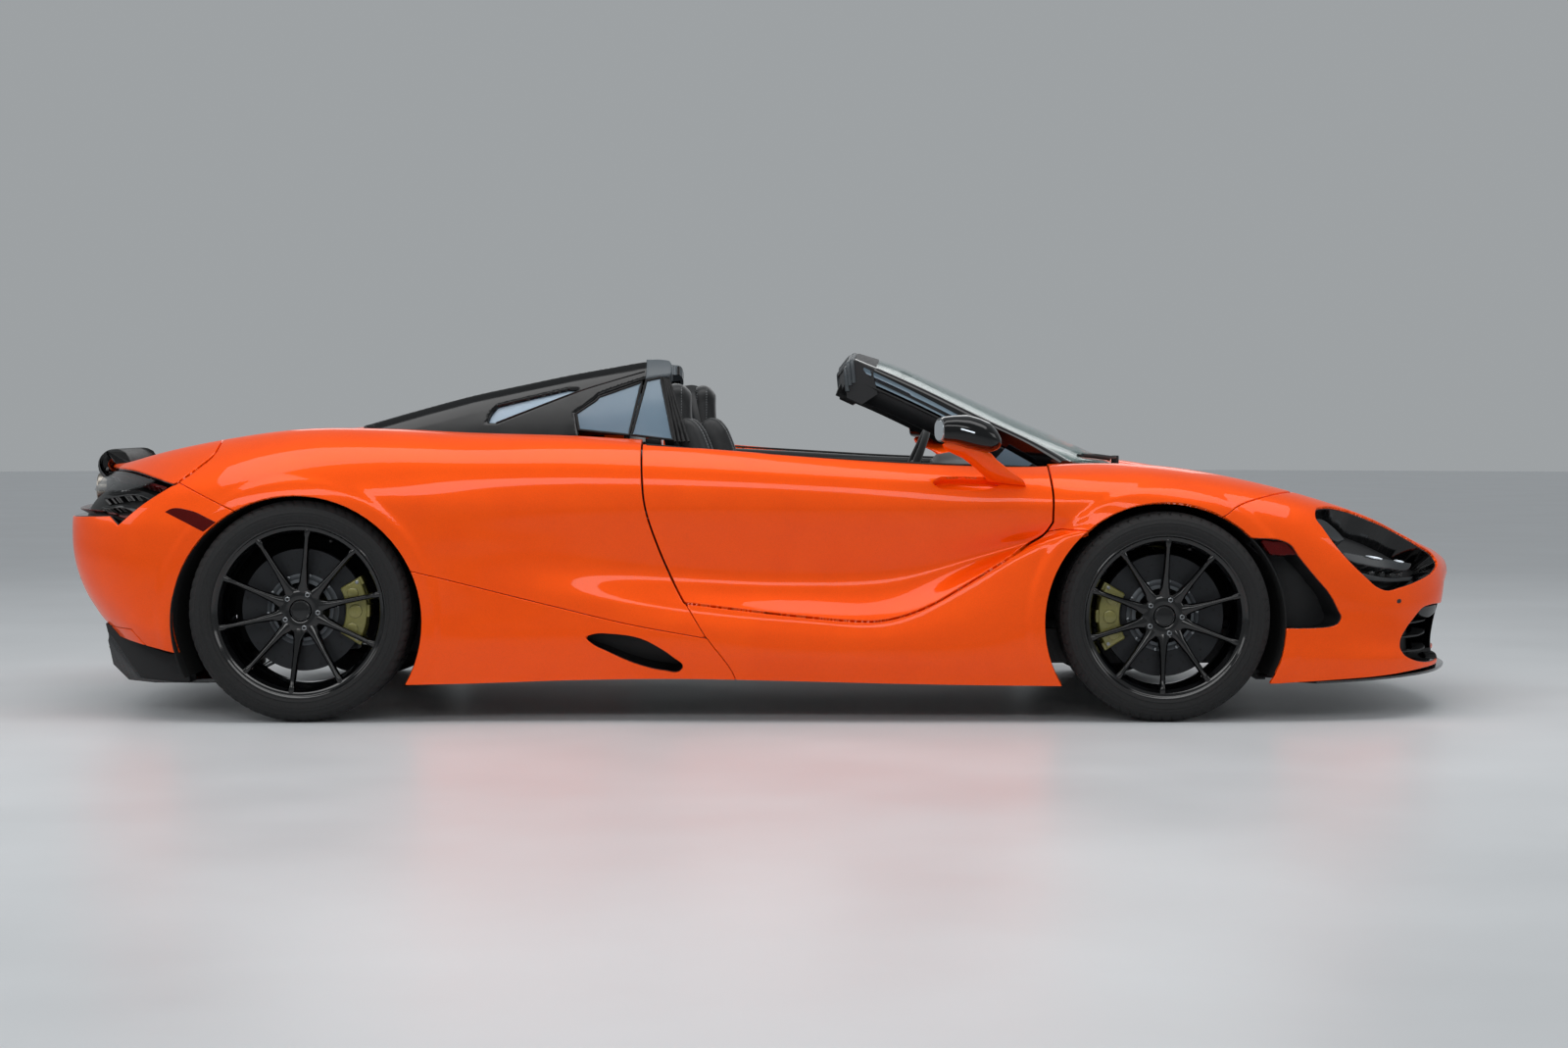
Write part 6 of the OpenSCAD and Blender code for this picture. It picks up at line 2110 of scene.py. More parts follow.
@dataclass
class DoorMirror:
    """Door mirror: black pod with its glass, on a swept painted arm."""

    def pod(self) -> bpy.types.Object:
        """Loft the pod along X and close its rear with a bezel."""
        rows = [(520, 968, 900, 82, 37, 0.62), (528, 968, 901, 86, 41, 0.62), (560, 969, 901, 88, 45, 0.68),
                (600, 970, 895, 87, 53, 0.78), (636, 972, 886, 82, 53, 0.86), (668, 976, 877, 70, 49, 0.95),
                (690, 980, 869, 52, 34, 1.0), (702, 983, 863, 32, 19, 1.0), (706, 984, 861, 12, 8, 1.0)]
        rings = []
        for x, y, z, hw, hh, power in rows:
            ring = []
            for a in np.linspace(0, 2 * math.pi, 48, endpoint=False):
                c, s = math.cos(a), math.sin(a)
                ring.append((x + 0.12 * hw * c, y + hw * math.copysign(abs(c) ** power, c),
                             z + hh * math.copysign(abs(s) ** power, s) * (1.0 if s > 0 else 0.92)))
            rings.append(ring)
        return dressed(smooth(loft("mirror_pod", rings), 50), Stock.gloss_black)

    def glass(self) -> bpy.types.Object:
        """Set the silvered glass in the rear of the pod."""
        rings = []
        for x, shrink in ((519.0, 0.84), (517.4, 0.82)):
            ring = []
            for a in np.linspace(0, 2 * math.pi, 48, endpoint=False):
                c, s = math.cos(a), math.sin(a)
                ring.append((x + 0.12 * 82 * c, 968 + 82 * shrink * math.copysign(abs(c) ** 0.62, c),
                             900 + 37 * shrink * math.copysign(abs(s) ** 0.62, s)))
            rings.append(ring)
        return dressed(loft("mirror_glass", rings), Stock.mirror_glass)

    def arm(self) -> bpy.types.Object:
        """Sweep a blade from under the pod forward and down to the door."""
        rows = [(550, 864, 966, 14, 9, 0), (556, 857, 964, 28, 13, 0), (575, 844, 958, 42, 15, 0),
                (618, 830, 946, 62, 16, -2), (646, 811, 930, 53, 17, -6), (688, 779, 908, 57, 18, -10),
                (722, 752, 890, 64, 19, -12), (734, 734, 870, 62, 20, -14)]
        rings = []
        for x, z, y, half, thick, tilt in rows:
            t = math.radians(tilt)
            ring = []
            for a in np.linspace(0, 2 * math.pi, 28, endpoint=False):
                c, s = math.cos(a), math.sin(a)
                u = half * math.copysign(abs(c) ** 0.8, c)
                v = thick * math.copysign(abs(s) ** 0.9, s)
                ring.append((x + u * math.cos(t), y + v, z + u * math.sin(t) * 0.55 + v * 0.2))
            rings.append(ring)
        return dressed(smooth(loft("mirror_arm", rings), 60), Stock.paint)

    def indicator(self, pod: bpy.types.Object) -> bpy.types.Object:
        """Lay the slim repeater lamp along the outside of the pod."""
        path = []
        for x, z in np.linspace((580, 905), (622, 893), 9):
            hit, place, normal, _ = pod.ray_cast(Vector((x, 1200, z)) * MM, Vector((0, -1, 0)))
            if hit:
                path.append(tuple(np.array(place - normal * 0.0009) / MM))
        return dressed(tube("repeater", path, 2.4, sides=8, steps=2), Stock.led)

    def make(self) -> None:
        """Build both mirrors."""
        pod = self.pod()
        left = joined("door_mirror_left", [self.indicator(pod), pod, self.glass(), self.arm()])
        right = mirrored(left, "door_mirror_right")
        given(left, "door_left", "gloss_black", "mirror_left")
        given(right, "door_right", "gloss_black", "mirror_right")


# ---------------------------------------------------------------------------------------------
# Lamps, ducts and aerodynamic parts
# ---------------------------------------------------------------------------------------------
@dataclass
class Fittings:
    """Everything set into or under the painted panels.

    Attributes:
        body: painted body whose surface the pieces follow.
    """

    body: CarBody

    def leaf(self, name: str, area: tuple[float, float], keep: Sequence[Outline], drop: Sequence[Outline],
             sink: float, thick: float, finish: Finish, edge: float = 2.0) -> bpy.types.Object:
        """Slab that follows the body surface at some depth, on both sides."""
        patch = self.body.part(*area)
        return dressed(Panel(name, patch, keep=list(keep), drop=list(drop), thick=thick, edge=edge,
                             sink=sink).build(), finish)

    def socket(self, name: str, area: tuple[float, float], outline: Outline, drop: Sequence[Outline], deep: float,
               wall: Finish, back: Finish) -> bpy.types.Object:
        """Walled recess behind an opening."""
        ring = self.leaf(f"{name}_wall", area, [outline.wider(11)], [outline.wider(-1.5), *drop], 7, deep, wall, 2.5)
        rear = self.leaf(f"{name}_back", area, [outline.wider(11)], drop, deep, 6, back)
        return joined(f"{name}_socket", [ring, rear])

    def headlamps(self) -> None:
        """Eye sockets with their blades, running lamps and lenses."""
        s = self.body.lines
        area, lid = (1600, 2260), [s.bonnet.wider(3)]
        given(self.socket("headlamp", area, s.lamp, lid, 84, Stock.gloss_black, Stock.satin_black), "body",
              "gloss_black", "headlamps")
        blades = {
            "upper": (flowing([(1700, 640), (1724, 640), (1772, 604), (1800, 570), (1768, 562), (1726, 600)],
                              corners=(0, 3)), 22, 44),
            "bar": (flowing([(1778, 534), (1850, 520), (1940, 506), (2046, 488), (2040, 476), (1950, 472), (1868, 484),
                             (1800, 506)], corners=(0, 3)), 24, 46),
            "lower": (flowing([(1838, 470), (1950, 448), (2072, 446), (2060, 430), (1950, 430), (1866, 446)],
                              corners=(0, 2, 3)), 44, 30)}
        grey = Finish("satin_grey_lamp_blade", "#23272A", rough=0.32, grain_mm=1.4, bump_mm=0.03)
        parts = [self.leaf(f"lamp_blade_{tag}", area, [Outline(line)], lid, sink, thick, grey, 4)
                 for tag, (line, sink, thick) in blades.items()]
        given(joined("headlamp_blades", parts), "body", "lamp")
        bar = Outline(flowing([(1780, 532), (1850, 518), (1940, 504), (2040, 488), (2040, 485), (1940, 500),
                               (1850, 514), (1782, 528)], corners=(0, 3, 4, 7)))
        given(self.leaf("running_lamp", area, [bar], lid, 15, 7, Stock.led, 1), "body", "lamp")
        dots = []
        for x, z, r in ((1905, 462, 11), (1945, 458, 11), (1985, 458, 10), (2020, 458, 9)):
            dots.append(self.leaf("lamp_optic", area, [circle(x, z, r, 28)], lid, 46, 12, Stock.lens, 3))
        given(joined("headlamp_optics", dots), "body", "lamp")
        given(self.leaf("parking_sensor", area, [Outline(flowing([(1956, 359), (1972, 359), (1972, 373), (1956, 373)],
              corners=(0, 1, 2, 3)))], [], -0.8, 4, Stock.satin_black, 1), "body", "black_trim")

    def ducts(self) -> None:
        """Ducts behind the vents of the bumper, sills and nose, with their markers and slats."""
        s = self.body.lines
        front = (1300, 2300)
        arch = circle(1219.5, 305, 386)
        given(self.socket("front_vent", front, s.vent, [arch], 120, Stock.satin_black, Stock.satin_black), "body",
              "black_trim")
        mark = Outline(flowing([(1513, 565), (1593, 558), (1634, 517), (1545, 517)], corners=(0, 1, 2, 3)))
        given(self.leaf("front_side_marker", front, [mark], [arch], 10, 22, Stock.red_lens, 3), "body", "lamp")
        given(self.socket("nose_intake", (1880, 2300), s.corner_intake, [], 92, Stock.gloss_black, Stock.mesh_black),
              "body", "black_trim")
        trim = Outline(flowing([(2062, 342), (2130, 344), (2130, 318), (2092, 306), (2046, 326)], corners=(0, 1, 2)))
        given(self.leaf("corner_intake_trim", (1900, 2300), [trim], [], 6, 60, Stock.gloss_black, 3), "body",
              "gloss_black")
        given(self.socket("side_intake", (-700, -150), s.side_intake, [], 70, Stock.gloss_black, Stock.mesh_black),
              "body", "black_trim")
        scoop = self.scoop()
        for side in Side:
            tag = side.name.lower()
            hollow = [dressed(Panel("release", self.body.part(400, 800), keep=[scoop.wider(7)], drop=drop, thick=thick,
                                    sink=sink).build(side), Stock.paint)
                      for drop, sink, thick in (([scoop.wider(-1)], 7, 26), ([], 26, 5))]
            given(joined(f"door_release_{tag}", hollow), f"door_{tag}", "body_paint")
        nose = (1900, 2300)
        slats = [self.leaf("nose_slat", nose, [Outline(np.array([(1960, z), (2400, z), (2400, z + 6), (1960, z + 6)],
                                                                 dtype=float))], [], 34, 40, Stock.satin_black, 2)
                 for z in (208, 248, 288)]
        vanes = [self.leaf("nose_vane", nose, [s.corner_intake, Outline(np.array(
            [(y, 150), (y + wide, 150), (y + wide, 360), (y, 360)], dtype=float), (1, 2))], [], 10, 76, finish, 3)
                 for y, wide, finish in ((150, 7, Stock.satin_black), (330, 7, Stock.satin_black),
                                         (520, 16, Stock.gloss_black))]
        given(joined("nose_slats", slats + vanes), "body", "black_trim")

    @staticmethod
    def scoop() -> Outline:
        """Oval recess of the door release."""
        return Outline(flowing([(505, 738), (522, 751), (560, 755), (640, 754), (700, 749), (716, 738), (690, 722),
                                (640, 716), (570, 716), (522, 723)]))

    def tail(self) -> None:
        """Rear fascia: mesh, tail lamps, markers, grille, pipes and plate."""
        s = self.body.lines
        area = (-2420, -1700)
        fascia = self.leaf("tail_fascia", area, [s.tail.wider(7)], [], 44, 8, Stock.mesh_black)
        wall = self.leaf("tail_wall", area, [s.tail.wider(9)], [s.tail.wider(-2)], 5, 46, Stock.gloss_black, 2.5)
        given(joined("tail_panel", [fascia, wall]), "body", "black_trim", "tail_lamps", "rear_grille")
        strips = [Outline(flowing([(-1878, 734), (-1940, 748), (-2018, 764), (-2100, 768), (-2420, 758), (-2420, 750),
                                   (-2100, 760), (-2020, 756), (-1944, 740), (-1886, 726)], corners=(0, 4, 5, 9))),
                  Outline(flowing([(-1900, 716), (-2015, 640), (-2050, 648), (-2420, 648), (-2420, 641), (-2048, 640),
                                   (-2014, 630), (-1892, 710)], corners=(0, 3, 4, 7)))]
        pole = Outline(np.array([(-2420, 230), (-2420, -230), (-1700, -230), (-1700, 230)], dtype=float), (0, 1))
        lamps = [self.leaf("tail_strip", area, [strip], [pole], 14, 22, Stock.red_lens, 2) for strip in strips]
        given(joined("tail_lamp_strips", lamps), "body", "lamp")
        clear = Outline(flowing([(-2180, 764), (-2060, 770), (-1915, 746), (-1990, 720), (-2150, 712)],
                                corners=(0, 2, 4)))
        given(self.leaf("tail_lens", area, [clear], [], 3, 5, Stock.lens, 1), "body", "glass")
        steps = [Outline(flowing([(-1905, 702), (-1960, 722), (-2110, 706), (-2110, 694), (-1964, 704), (-1925, 688)],
                                 corners=(0, 2, 3, 5))),
                 Outline(flowing([(-1966, 662), (-2010, 676), (-2110, 668), (-2110, 658), (-2012, 662), (-1984, 650)],
                                 corners=(0, 2, 3, 5)))]
        parts = [self.leaf("tail_step", area, [step], [], 16, 26, Stock.gloss_black, 3) for step in steps]
        given(joined("tail_steps", parts), "body", "gloss_black")
        mark = Outline(flowing([(-1870, 648), (-1850, 658), (-1791, 654), (-1703, 618), (-1743, 588)],
                               corners=(0, 3, 4)))
        given(self.leaf("rear_side_marker", area, [mark], [], -1.4, 6, Stock.red_lens, 2), "body", "lamp")
        for y in (-110, 110):
            pipe = lathe("tail_pipe", [(47, -2140), (47, -2248), (49, -2252), (52, -2252), (54, -2248), (54, -2140)],
                         (0, y, 700), "X")
            core = lathe("pipe_core", [(0.01, -2150), (46.8, -2150), (46.8, -2156), (0.01, -2156)], (0, y, 700), "X")
            given(dressed(pipe, Stock.titanium), "body", "exhaust_steel", "exhausts")
            given(dressed(core, Stock.satin_black), "body", "exhaust_steel")
        ring = prism("pipe_shroud", [(-186, 690), (-184, 722), (-174, 746), (-152, 758), (152, 758), (174, 746),
                     (184, 722), (186, 690), (180, 656), (160, 640), (-160, 640), (-180, 656)], -2214, -2186, "YZ")
        for y in (-110, 110):
            ring = cut_by(ring, rod("bore", (-2300, y, 700), (-2100, y, 700), 57, 48))
        given(dressed(bevelled(ring, 3, 2), Stock.satin_black), "body", "black_trim")
        mesh = prism("tail_slot_mesh", [tuple(p) for p in s.tail_intake.wider(14).line], -2150, -2144, "YZ")
        given(dressed(mesh, Stock.mesh_black), "body", "black_trim")
        plate = cuboid("blank_plate", (-2222, -256, 330), (-2216, 256, 438), 2, 2)
        given(dressed(plate, Stock.plate), "body", "black_trim")
        frame_ = cuboid("plate_frame", (-2218, -266, 320), (-2196, 266, 448), 4, 2)
        given(dressed(frame_, Stock.satin_black), "body", "black_trim")
        fog = cuboid("rear_fog_lamp", (-2206, -38, 236), (-2180, 38, 268), 5, 3)
        given(dressed(fog, Stock.red_lens), "body", "lamp")
        fitting = self.leaf("rear_sensor", (-2420, -2000), [circle(-2204, 426, 7, 20)], [pole], -0.8, 4,
                            Stock.satin_black, 1)
        given(fitting, "body", "black_trim")

    def aero(self) -> None:
        """Splitter, end plates, diffuser with strakes, and diffuser wings."""
        plan = [(1560, 0), (1560, 560), (1640, 700), (1640, 780), (1700, 862), (1800, 850), (1960, 776), (2100, 640),
                (2178, 470), (2204, 370), (2222, 200), (2228, 0)]
        line = flowing(plan + [(x, -y) for x, y in plan[-2:0:-1]], corners=(1, 3, 4, 18, 19, 21))
        blade = prism("front_splitter_blade", [tuple(p) for p in line], 0, 11, "XY")
        slope = np.array([v.co for v in blade.data.vertices])
        slope[:, 2] += (106 + 24 * np.clip((slope[:, 0] / MM - 1560) / 640, 0, 1)) * MM
        blade.data.vertices.foreach_set("co", slope.ravel())
        blade = bevelled(blade, 4, 3)
        given(dressed(blade, Stock.carbon), "body", "carbon_tub", "front_splitter")
        end = self.leaf("splitter_end_plate", (1900, 2300), [Outline(flowing([(2130, 132), (2212, 132), (2212, 170),
                        (2198, 194), (2166, 200), (2136, 186)], corners=(0, 1)))], [span(2216, 2400, 0, 400)], -1, 36,
                        Stock.satin_black, 4)
        given(end, "body", "gloss_black")
        profile = flowing([(-1702, 93), (-1858, 91), (-2050, 107), (-2066, 122), (-2122, 223), (-2148, 260),
                           (-2122, 261), (-2040, 129), (-1858, 106), (-1702, 105)], corners=(0, 2, 4, 5, 6, 9))
        rows = []
        for y in np.linspace(-598, 598, 25):
            pull = 48 * (abs(y) / 598) ** 2
            rows.append([(x + pull * min(1.0, max(0.0, (-1900 - x) / 150)), y, z) for x, z in profile])
        tray = bevelled(loft("diffuser_tray", rows), 1.5, 2)
        strakes = []
        for y in (-588, -390, -250, -110, 110, 250, 390, 588):
            pull = 48 * (abs(y) / 598) ** 2
            side = [(-1760, 96), (-2048, 108), (-2066, 124), (-2122, 224), (-2146, 258), (-2160, 256), (-2166, 226),
                    (-2150, 150), (-2100, 100), (-2000, 91), (-1800, 90)]
            bent = [(x + pull * min(1.0, max(0.0, (-1900 - x) / 150)), z) for x, z in side]
            fin = prism("strake", bent, y - 4, y + 4)
            strakes.append(bevelled(fin, 2, 2))
        given(dressed(joined("diffuser", [tray] + strakes), Stock.carbon), "body", "carbon_tub", "rear_diffuser")
        wings = []
        for side in (-1, 1):
            wings.append(bevelled(prism("diffuser_wing", [(-1840, 190), (-1905, 196), (-1990, 226), (-2080, 284),
                                                         (-2106, 290), (-2098, 258), (-2081, 238), (-2037, 173),
                                                         (-1997, 117), (-1978, 111), (-1836, 98)],
                                        *sorted((side * 596, side * 690))), 6, 3))
        given(dressed(joined("diffuser_wings", wings), Stock.satin_black), "body", "black_trim")

    def make(self) -> None:
        """Build all the fittings."""
        self.headlamps()
        self.ducts()
        self.tail()
        self.aero()


# ---------------------------------------------------------------------------------------------
# Cabin
# ---------------------------------------------------------------------------------------------
def rounded(angle: float, power: float) -> tuple[float, float]:
    """Cosine and sine of an angle, squared off by a power below one."""
    c, s = math.cos(angle), math.sin(angle)
    return math.copysign(abs(c) ** power, c), math.copysign(abs(s) ** power, s)


def inflated(obj: bpy.types.Object, cap_mm: float, voxel_mm: float = 6.0, pressure: float = 4.0) -> bpy.types.Object:
    """Puff a closed form up as foam under leather, by cloth simulation.

    Args:
        obj: slightly small closed form.
        cap_mm: how far a point may move.
        voxel_mm: size of the remeshed faces.
        pressure: pressure inside it.

    Returns:
        The crowned pad.
    """
    modify(obj, "REMESH", mode="VOXEL", voxel_size=voxel_mm * MM)
    rest = np.zeros(len(obj.data.vertices) * 3)
    obj.data.vertices.foreach_get("co", rest)
    rest = rest.reshape(-1, 3)
    only(obj)
    cloth = obj.modifiers.new("foam", "CLOTH")
    cloth.settings.use_pressure = True
    cloth.settings.uniform_pressure_force = pressure
    cloth.settings.effector_weights.gravity = 0.0
    cloth.settings.quality = 5
    cloth.point_cache.frame_start = 1
    cloth.point_cache.frame_end = 20
    for step in range(1, 21):
        bpy.context.scene.frame_set(step)
    deps = bpy.context.evaluated_depsgraph_get()
    moved = obj.evaluated_get(deps).data
    now = np.zeros(len(moved.vertices) * 3)
    moved.vertices.foreach_get("co", now)
    now = now.reshape(-1, 3)
    obj.modifiers.remove(cloth)
    if len(now) == len(rest):
        shift = now - rest
        length = np.linalg.norm(shift, axis=1, keepdims=True)
        shift *= np.minimum(1.0, cap_mm * MM / np.maximum(length, 1e-9))
        obj.data.vertices.foreach_set("co", (rest + shift).ravel())
        obj.data.update()
    bpy.context.scene.frame_set(1)
    modify(obj, "SMOOTH", factor=0.5, iterations=6)
    modify(obj, "SUBSURF", levels=1, render_levels=1)
    return smooth(obj, 180)


@dataclass
class Seat:
    """One-piece shell seat with foam pads, bolsters, stitched seams and belt.

    Attributes:
        centre_y: middle of the seat.
        tag: left or right.
        ahead: how far forward it is set.
    """

    centre_y: float
    tag: str
    ahead: float = 0.0

    def shape(self, name: str, spine: Sequence[Pt2], half: Sequence[float], thick: Sequence[float], y: float,
              power: float = 0.55) -> bpy.types.Object:
        """Closed pad round a spine in side view.

        Args:
            name: name of the pad.
            spine: X and Z of the middle of the pad.
            half: half width at each point.
            thick: half thickness at each point.
            y: middle of the pad.
            power: how square the section is.

        Returns:
            The pad.
        """
        where = np.linspace(0, len(spine) - 1, 6 * (len(spine) - 1) + 1)
        line = curve_through(spine, where)
        wide = np.interp(where, range(len(half)), half)
        deep = np.interp(where, range(len(thick)), thick)
        along = np.gradient(line, axis=0)
        along /= np.linalg.norm(along, axis=1, keepdims=True)
        rings = []
        for k, (p, t) in enumerate(zip(line, along)):
            ends = min(k, len(line) - 1 - k)
            pull = (0.72, 0.88, 0.96, 1.0)[min(ends, 3)]
            ring = []
            for a in np.linspace(0, 2 * math.pi, 40, endpoint=False):
                c, s = rounded(a, power)
                out = deep[k] * pull * s
                ring.append((p[0] - t[1] * out, y + wide[k] * pull * c, p[1] + t[0] * out))
            rings.append(ring)
        return loft(name, rings)

    def pads(self) -> None:
        """Foam pads of the seat, each puffed up."""
        back = [(-252, 560), (-268, 680), (-296, 800), (-322, 868), (-333, 920), (-336, 980), (-334, 1026),
                (-338, 1052)]
        base = [(-190, 470), (-60, 446), (90, 440), (200, 446), (270, 428)]
        side = [(-212, 560), (-222, 640), (-252, 760), (-290, 880), (-318, 930)]
        thigh = [(-176, 500), (-60, 490), (90, 486), (210, 472), (262, 440)]
        pieces = [
            ("back", self.shape("p", back, (128, 136, 142, 136, 124, 114, 104, 86),
                                (34, 36, 38, 38, 38, 38, 37, 26), self.centre_y), 11),
            ("base", self.shape("p", base, (134, 140, 144, 144, 130), (38, 40, 40, 38, 30), self.centre_y), 14)]
        for sign in (-1, 1):
            word = "outer" if sign * self.centre_y > 0 else "inner"
            y = self.centre_y + sign * 187
            pieces.append((f"back_bolster_{word}", self.shape("p", side, (34, 38, 40, 36, 24), (62, 64, 60, 48, 28),
                                                              y, 0.8), 9))
            pieces.append((f"thigh_bolster_{word}", self.shape("p", thigh, (34, 38, 38, 36, 26), (46, 50, 50, 44, 28),
                                                               y, 0.8), 9))
        for word, obj, cap in pieces:
            obj.data.transform(Matrix.Translation((self.ahead * MM, 0, 0)))
            obj.name = f"seat_{self.tag}_{word}_pad"
            pad = inflated(obj, cap)
            pad.name = f"seat_{self.tag}_{word}_pad"
            dressed(pad, Stock.leather)
            given(pad, "body", "leather", "seats")
            self.stitch(pad, word)

    def stitch(self, pad: bpy.types.Object, word: str) -> None:
        """Sew rows of thread onto a pad, laid on its surface by casting rays."""
        tracks = []
        y0 = self.centre_y
        if word == "back":
            for dy in (-96, -88, 88, 96):
                tracks.append([((300, y0 + dy, z), (-1, 0, 0)) for z in range(560, 860, 9)])
            for out, off in ((-1, -17), (-1, 17), (1, -17), (1, 17)):
                tracks.append([((-334 + self.ahead + off, y0 + out * 300, z), (0, -out, 0))
                               for z in range(880, 1062, 9)])
            for z in (640, 720, 800, 880):
                tracks.append([((300, y0 + dy, z), (-1, 0, 0)) for dy in range(-84, 85, 9)])
        elif word == "base":
            for dy in (-98, -90, 90, 98):
                tracks.append([((x + self.ahead, y0 + dy, 700), (0, 0, -1)) for x in range(-170, 262, 9)])
            for x in (-80, 20, 120, 220):
                tracks.append([((x + self.ahead, y0 + dy, 700), (0, 0, -1)) for dy in range(-86, 87, 9)])
        elif "back_bolster" in word:
            y = y0 + (187 if ("outer" in word) == (y0 > 0) else -187)
            for off in (-12, 12):
                tracks.append([((300, y + off, z), (-1, 0, 0)) for z in range(580, 915, 9)])
        points, faces = [], []
        for track in tracks:
            hits = []
            for origin, aim in track:
                hit, place, normal, _ = pad.ray_cast(Vector(origin) * MM, Vector(aim))
                if hit:
                    hits.append((np.array(place) / MM, np.array(normal)))
            for (a, n), (b, _) in zip(hits[:-1], hits[1:]):
                step = (b - a) * 0.62
                if np.linalg.norm(b - a) > 30:
                    continue
                across = np.cross(step, n)
                across /= max(np.linalg.norm(across), 1e-9)
                base = len(points)
                for p, grow in ((a, 0.4), (a + step * 0.5, 1.0), (a + step, 0.4)):
                    for u, v in ((1, 0), (0, 1), (-1, 0), (0, -1)):
                        points.append(tuple(p + n * 0.5 + (across * u + n * v) * 1.35 * grow))
                for r in (0, 4):
                    for j in range(4):
                        faces.append([base + r + j, base + r + (j + 1) % 4, base + r + 4 + (j + 1) % 4,
                                      base + r + 4 + j])
                faces += [[base + j for j in range(4)], [base + 8 + j for j in range(4)]]
        if points:
            sewn = smooth(outwards(mesh_object(f"seat_{self.tag}_{word}_thread", points, faces), 0.001), 70)
            given(dressed(sewn, Stock.thread), "body", "leather")

    def shell(self) -> None:
        """Moulded shell behind and under the pads."""
        spine = [(286, 372), (120, 372), (-60, 372), (-210, 400), (-276, 500), (-312, 640), (-346, 800), (-376, 930),
                 (-392, 1010), (-388, 1044)]
        half = [196, 214, 226, 232, 234, 232, 222, 190, 140, 96]
        where = np.linspace(0, len(spine) - 1, 55)
        line = curve_through(spine, where)
        wide = np.interp(where, range(len(half)), half)
        along = np.gradient(line, axis=0)
        along /= np.linalg.norm(along, axis=1, keepdims=True)
        rings = []
        for p, t, w in zip(line, along, wide):
            ring = []
            for a in np.linspace(0, 2 * math.pi, 48, endpoint=False):
                c, s = rounded(a, 0.4)
                curl = 26 * abs(c) ** 6
                ring.append((p[0] - t[1] * (17 * s - 4 - curl), self.centre_y + w * c, p[1] + t[0] * (17 * s - 4 - curl)
                             + 0.4 * curl))
            rings.append(ring)
        shell = smooth(loft(f"seat_{self.tag}_shell", rings), 60)
        shell.data.transform(Matrix.Translation((self.ahead * MM, 0, 0)))
        given(dressed(shell, Stock.satin_black), "body", "black_trim")
        rails = []
        for dy in (-150, 150):
            y = self.centre_y + dy
            rails.append(cuboid("rail", (-190, y - 16, 152), (270, y + 16, 176), 4, 2))
            rails.append(cuboid("post", (-150, y - 9, 170), (-100, y + 9, 366), 4, 2))
            rails.append(cuboid("post", (180, y - 9, 170), (230, y + 9, 366), 4, 2))
        runners = dressed(joined(f"seat_{self.tag}_runners", rails), Stock.satin_black)
        runners.data.transform(Matrix.Translation((self.ahead * MM, 0, 0)))
        given(runners, "body", "metal")

    def belt(self) -> None:
        """Belt webbing with its guide, tongue and buckle."""
        sign = 1 if self.centre_y > 0 else -1
        path = [(-436, 588, 842), (-428, 586, 760), (-420, 584, 640), (-414, 584, 520), (-410, 586, 400),
                (-408, 588, 300)]
        rings = []
        where = np.linspace(0, len(path) - 1, 40)
        for p in curve_through(path, where):
            rings.append([(p[0] - 23, sign * (p[1] - 0.8), p[2]), (p[0] + 23, sign * (p[1] - 0.8), p[2]),
                          (p[0] + 23, sign * (p[1] + 0.8), p[2]), (p[0] - 23, sign * (p[1] + 0.8), p[2])])
        parts = [dressed(smooth(loft("webbing", rings)), Finish("polyester_webbing_black", "#101113", rough=0.8,
                                                                grain_mm=1.6, bump_mm=0.15, sheen=0.3))]
        y = sign * 586
        guide = cuboid("guide", (-470, min(y, y + sign * 12), 836), (-396, max(y, y + sign * 12), 862), 5, 3)
        parts.append(dressed(guide, Stock.satin_black))
        tongue = cuboid("tongue", (-446, min(y - sign * 6, y), 600), (-396, max(y - sign * 6, y), 640), 3, 2)
        parts.append(dressed(tongue, Stock.steel))
        y = sign * 96
        parts.append(dressed(cuboid("buckle", (-150, y - 11, 400), (-118, y + 11, 470), 5, 3), Stock.satin_black))
        parts.append(dressed(cuboid("release", (-146, y - 8, 469), (-122, y + 8, 474), 2, 2), Stock.red_lens))
        given(joined(f"seat_belt_{self.tag}", parts), "body", "black_trim")

    def make(self) -> None:
        """Build the seat."""
        self.pads()
        self.shell()
        self.belt()


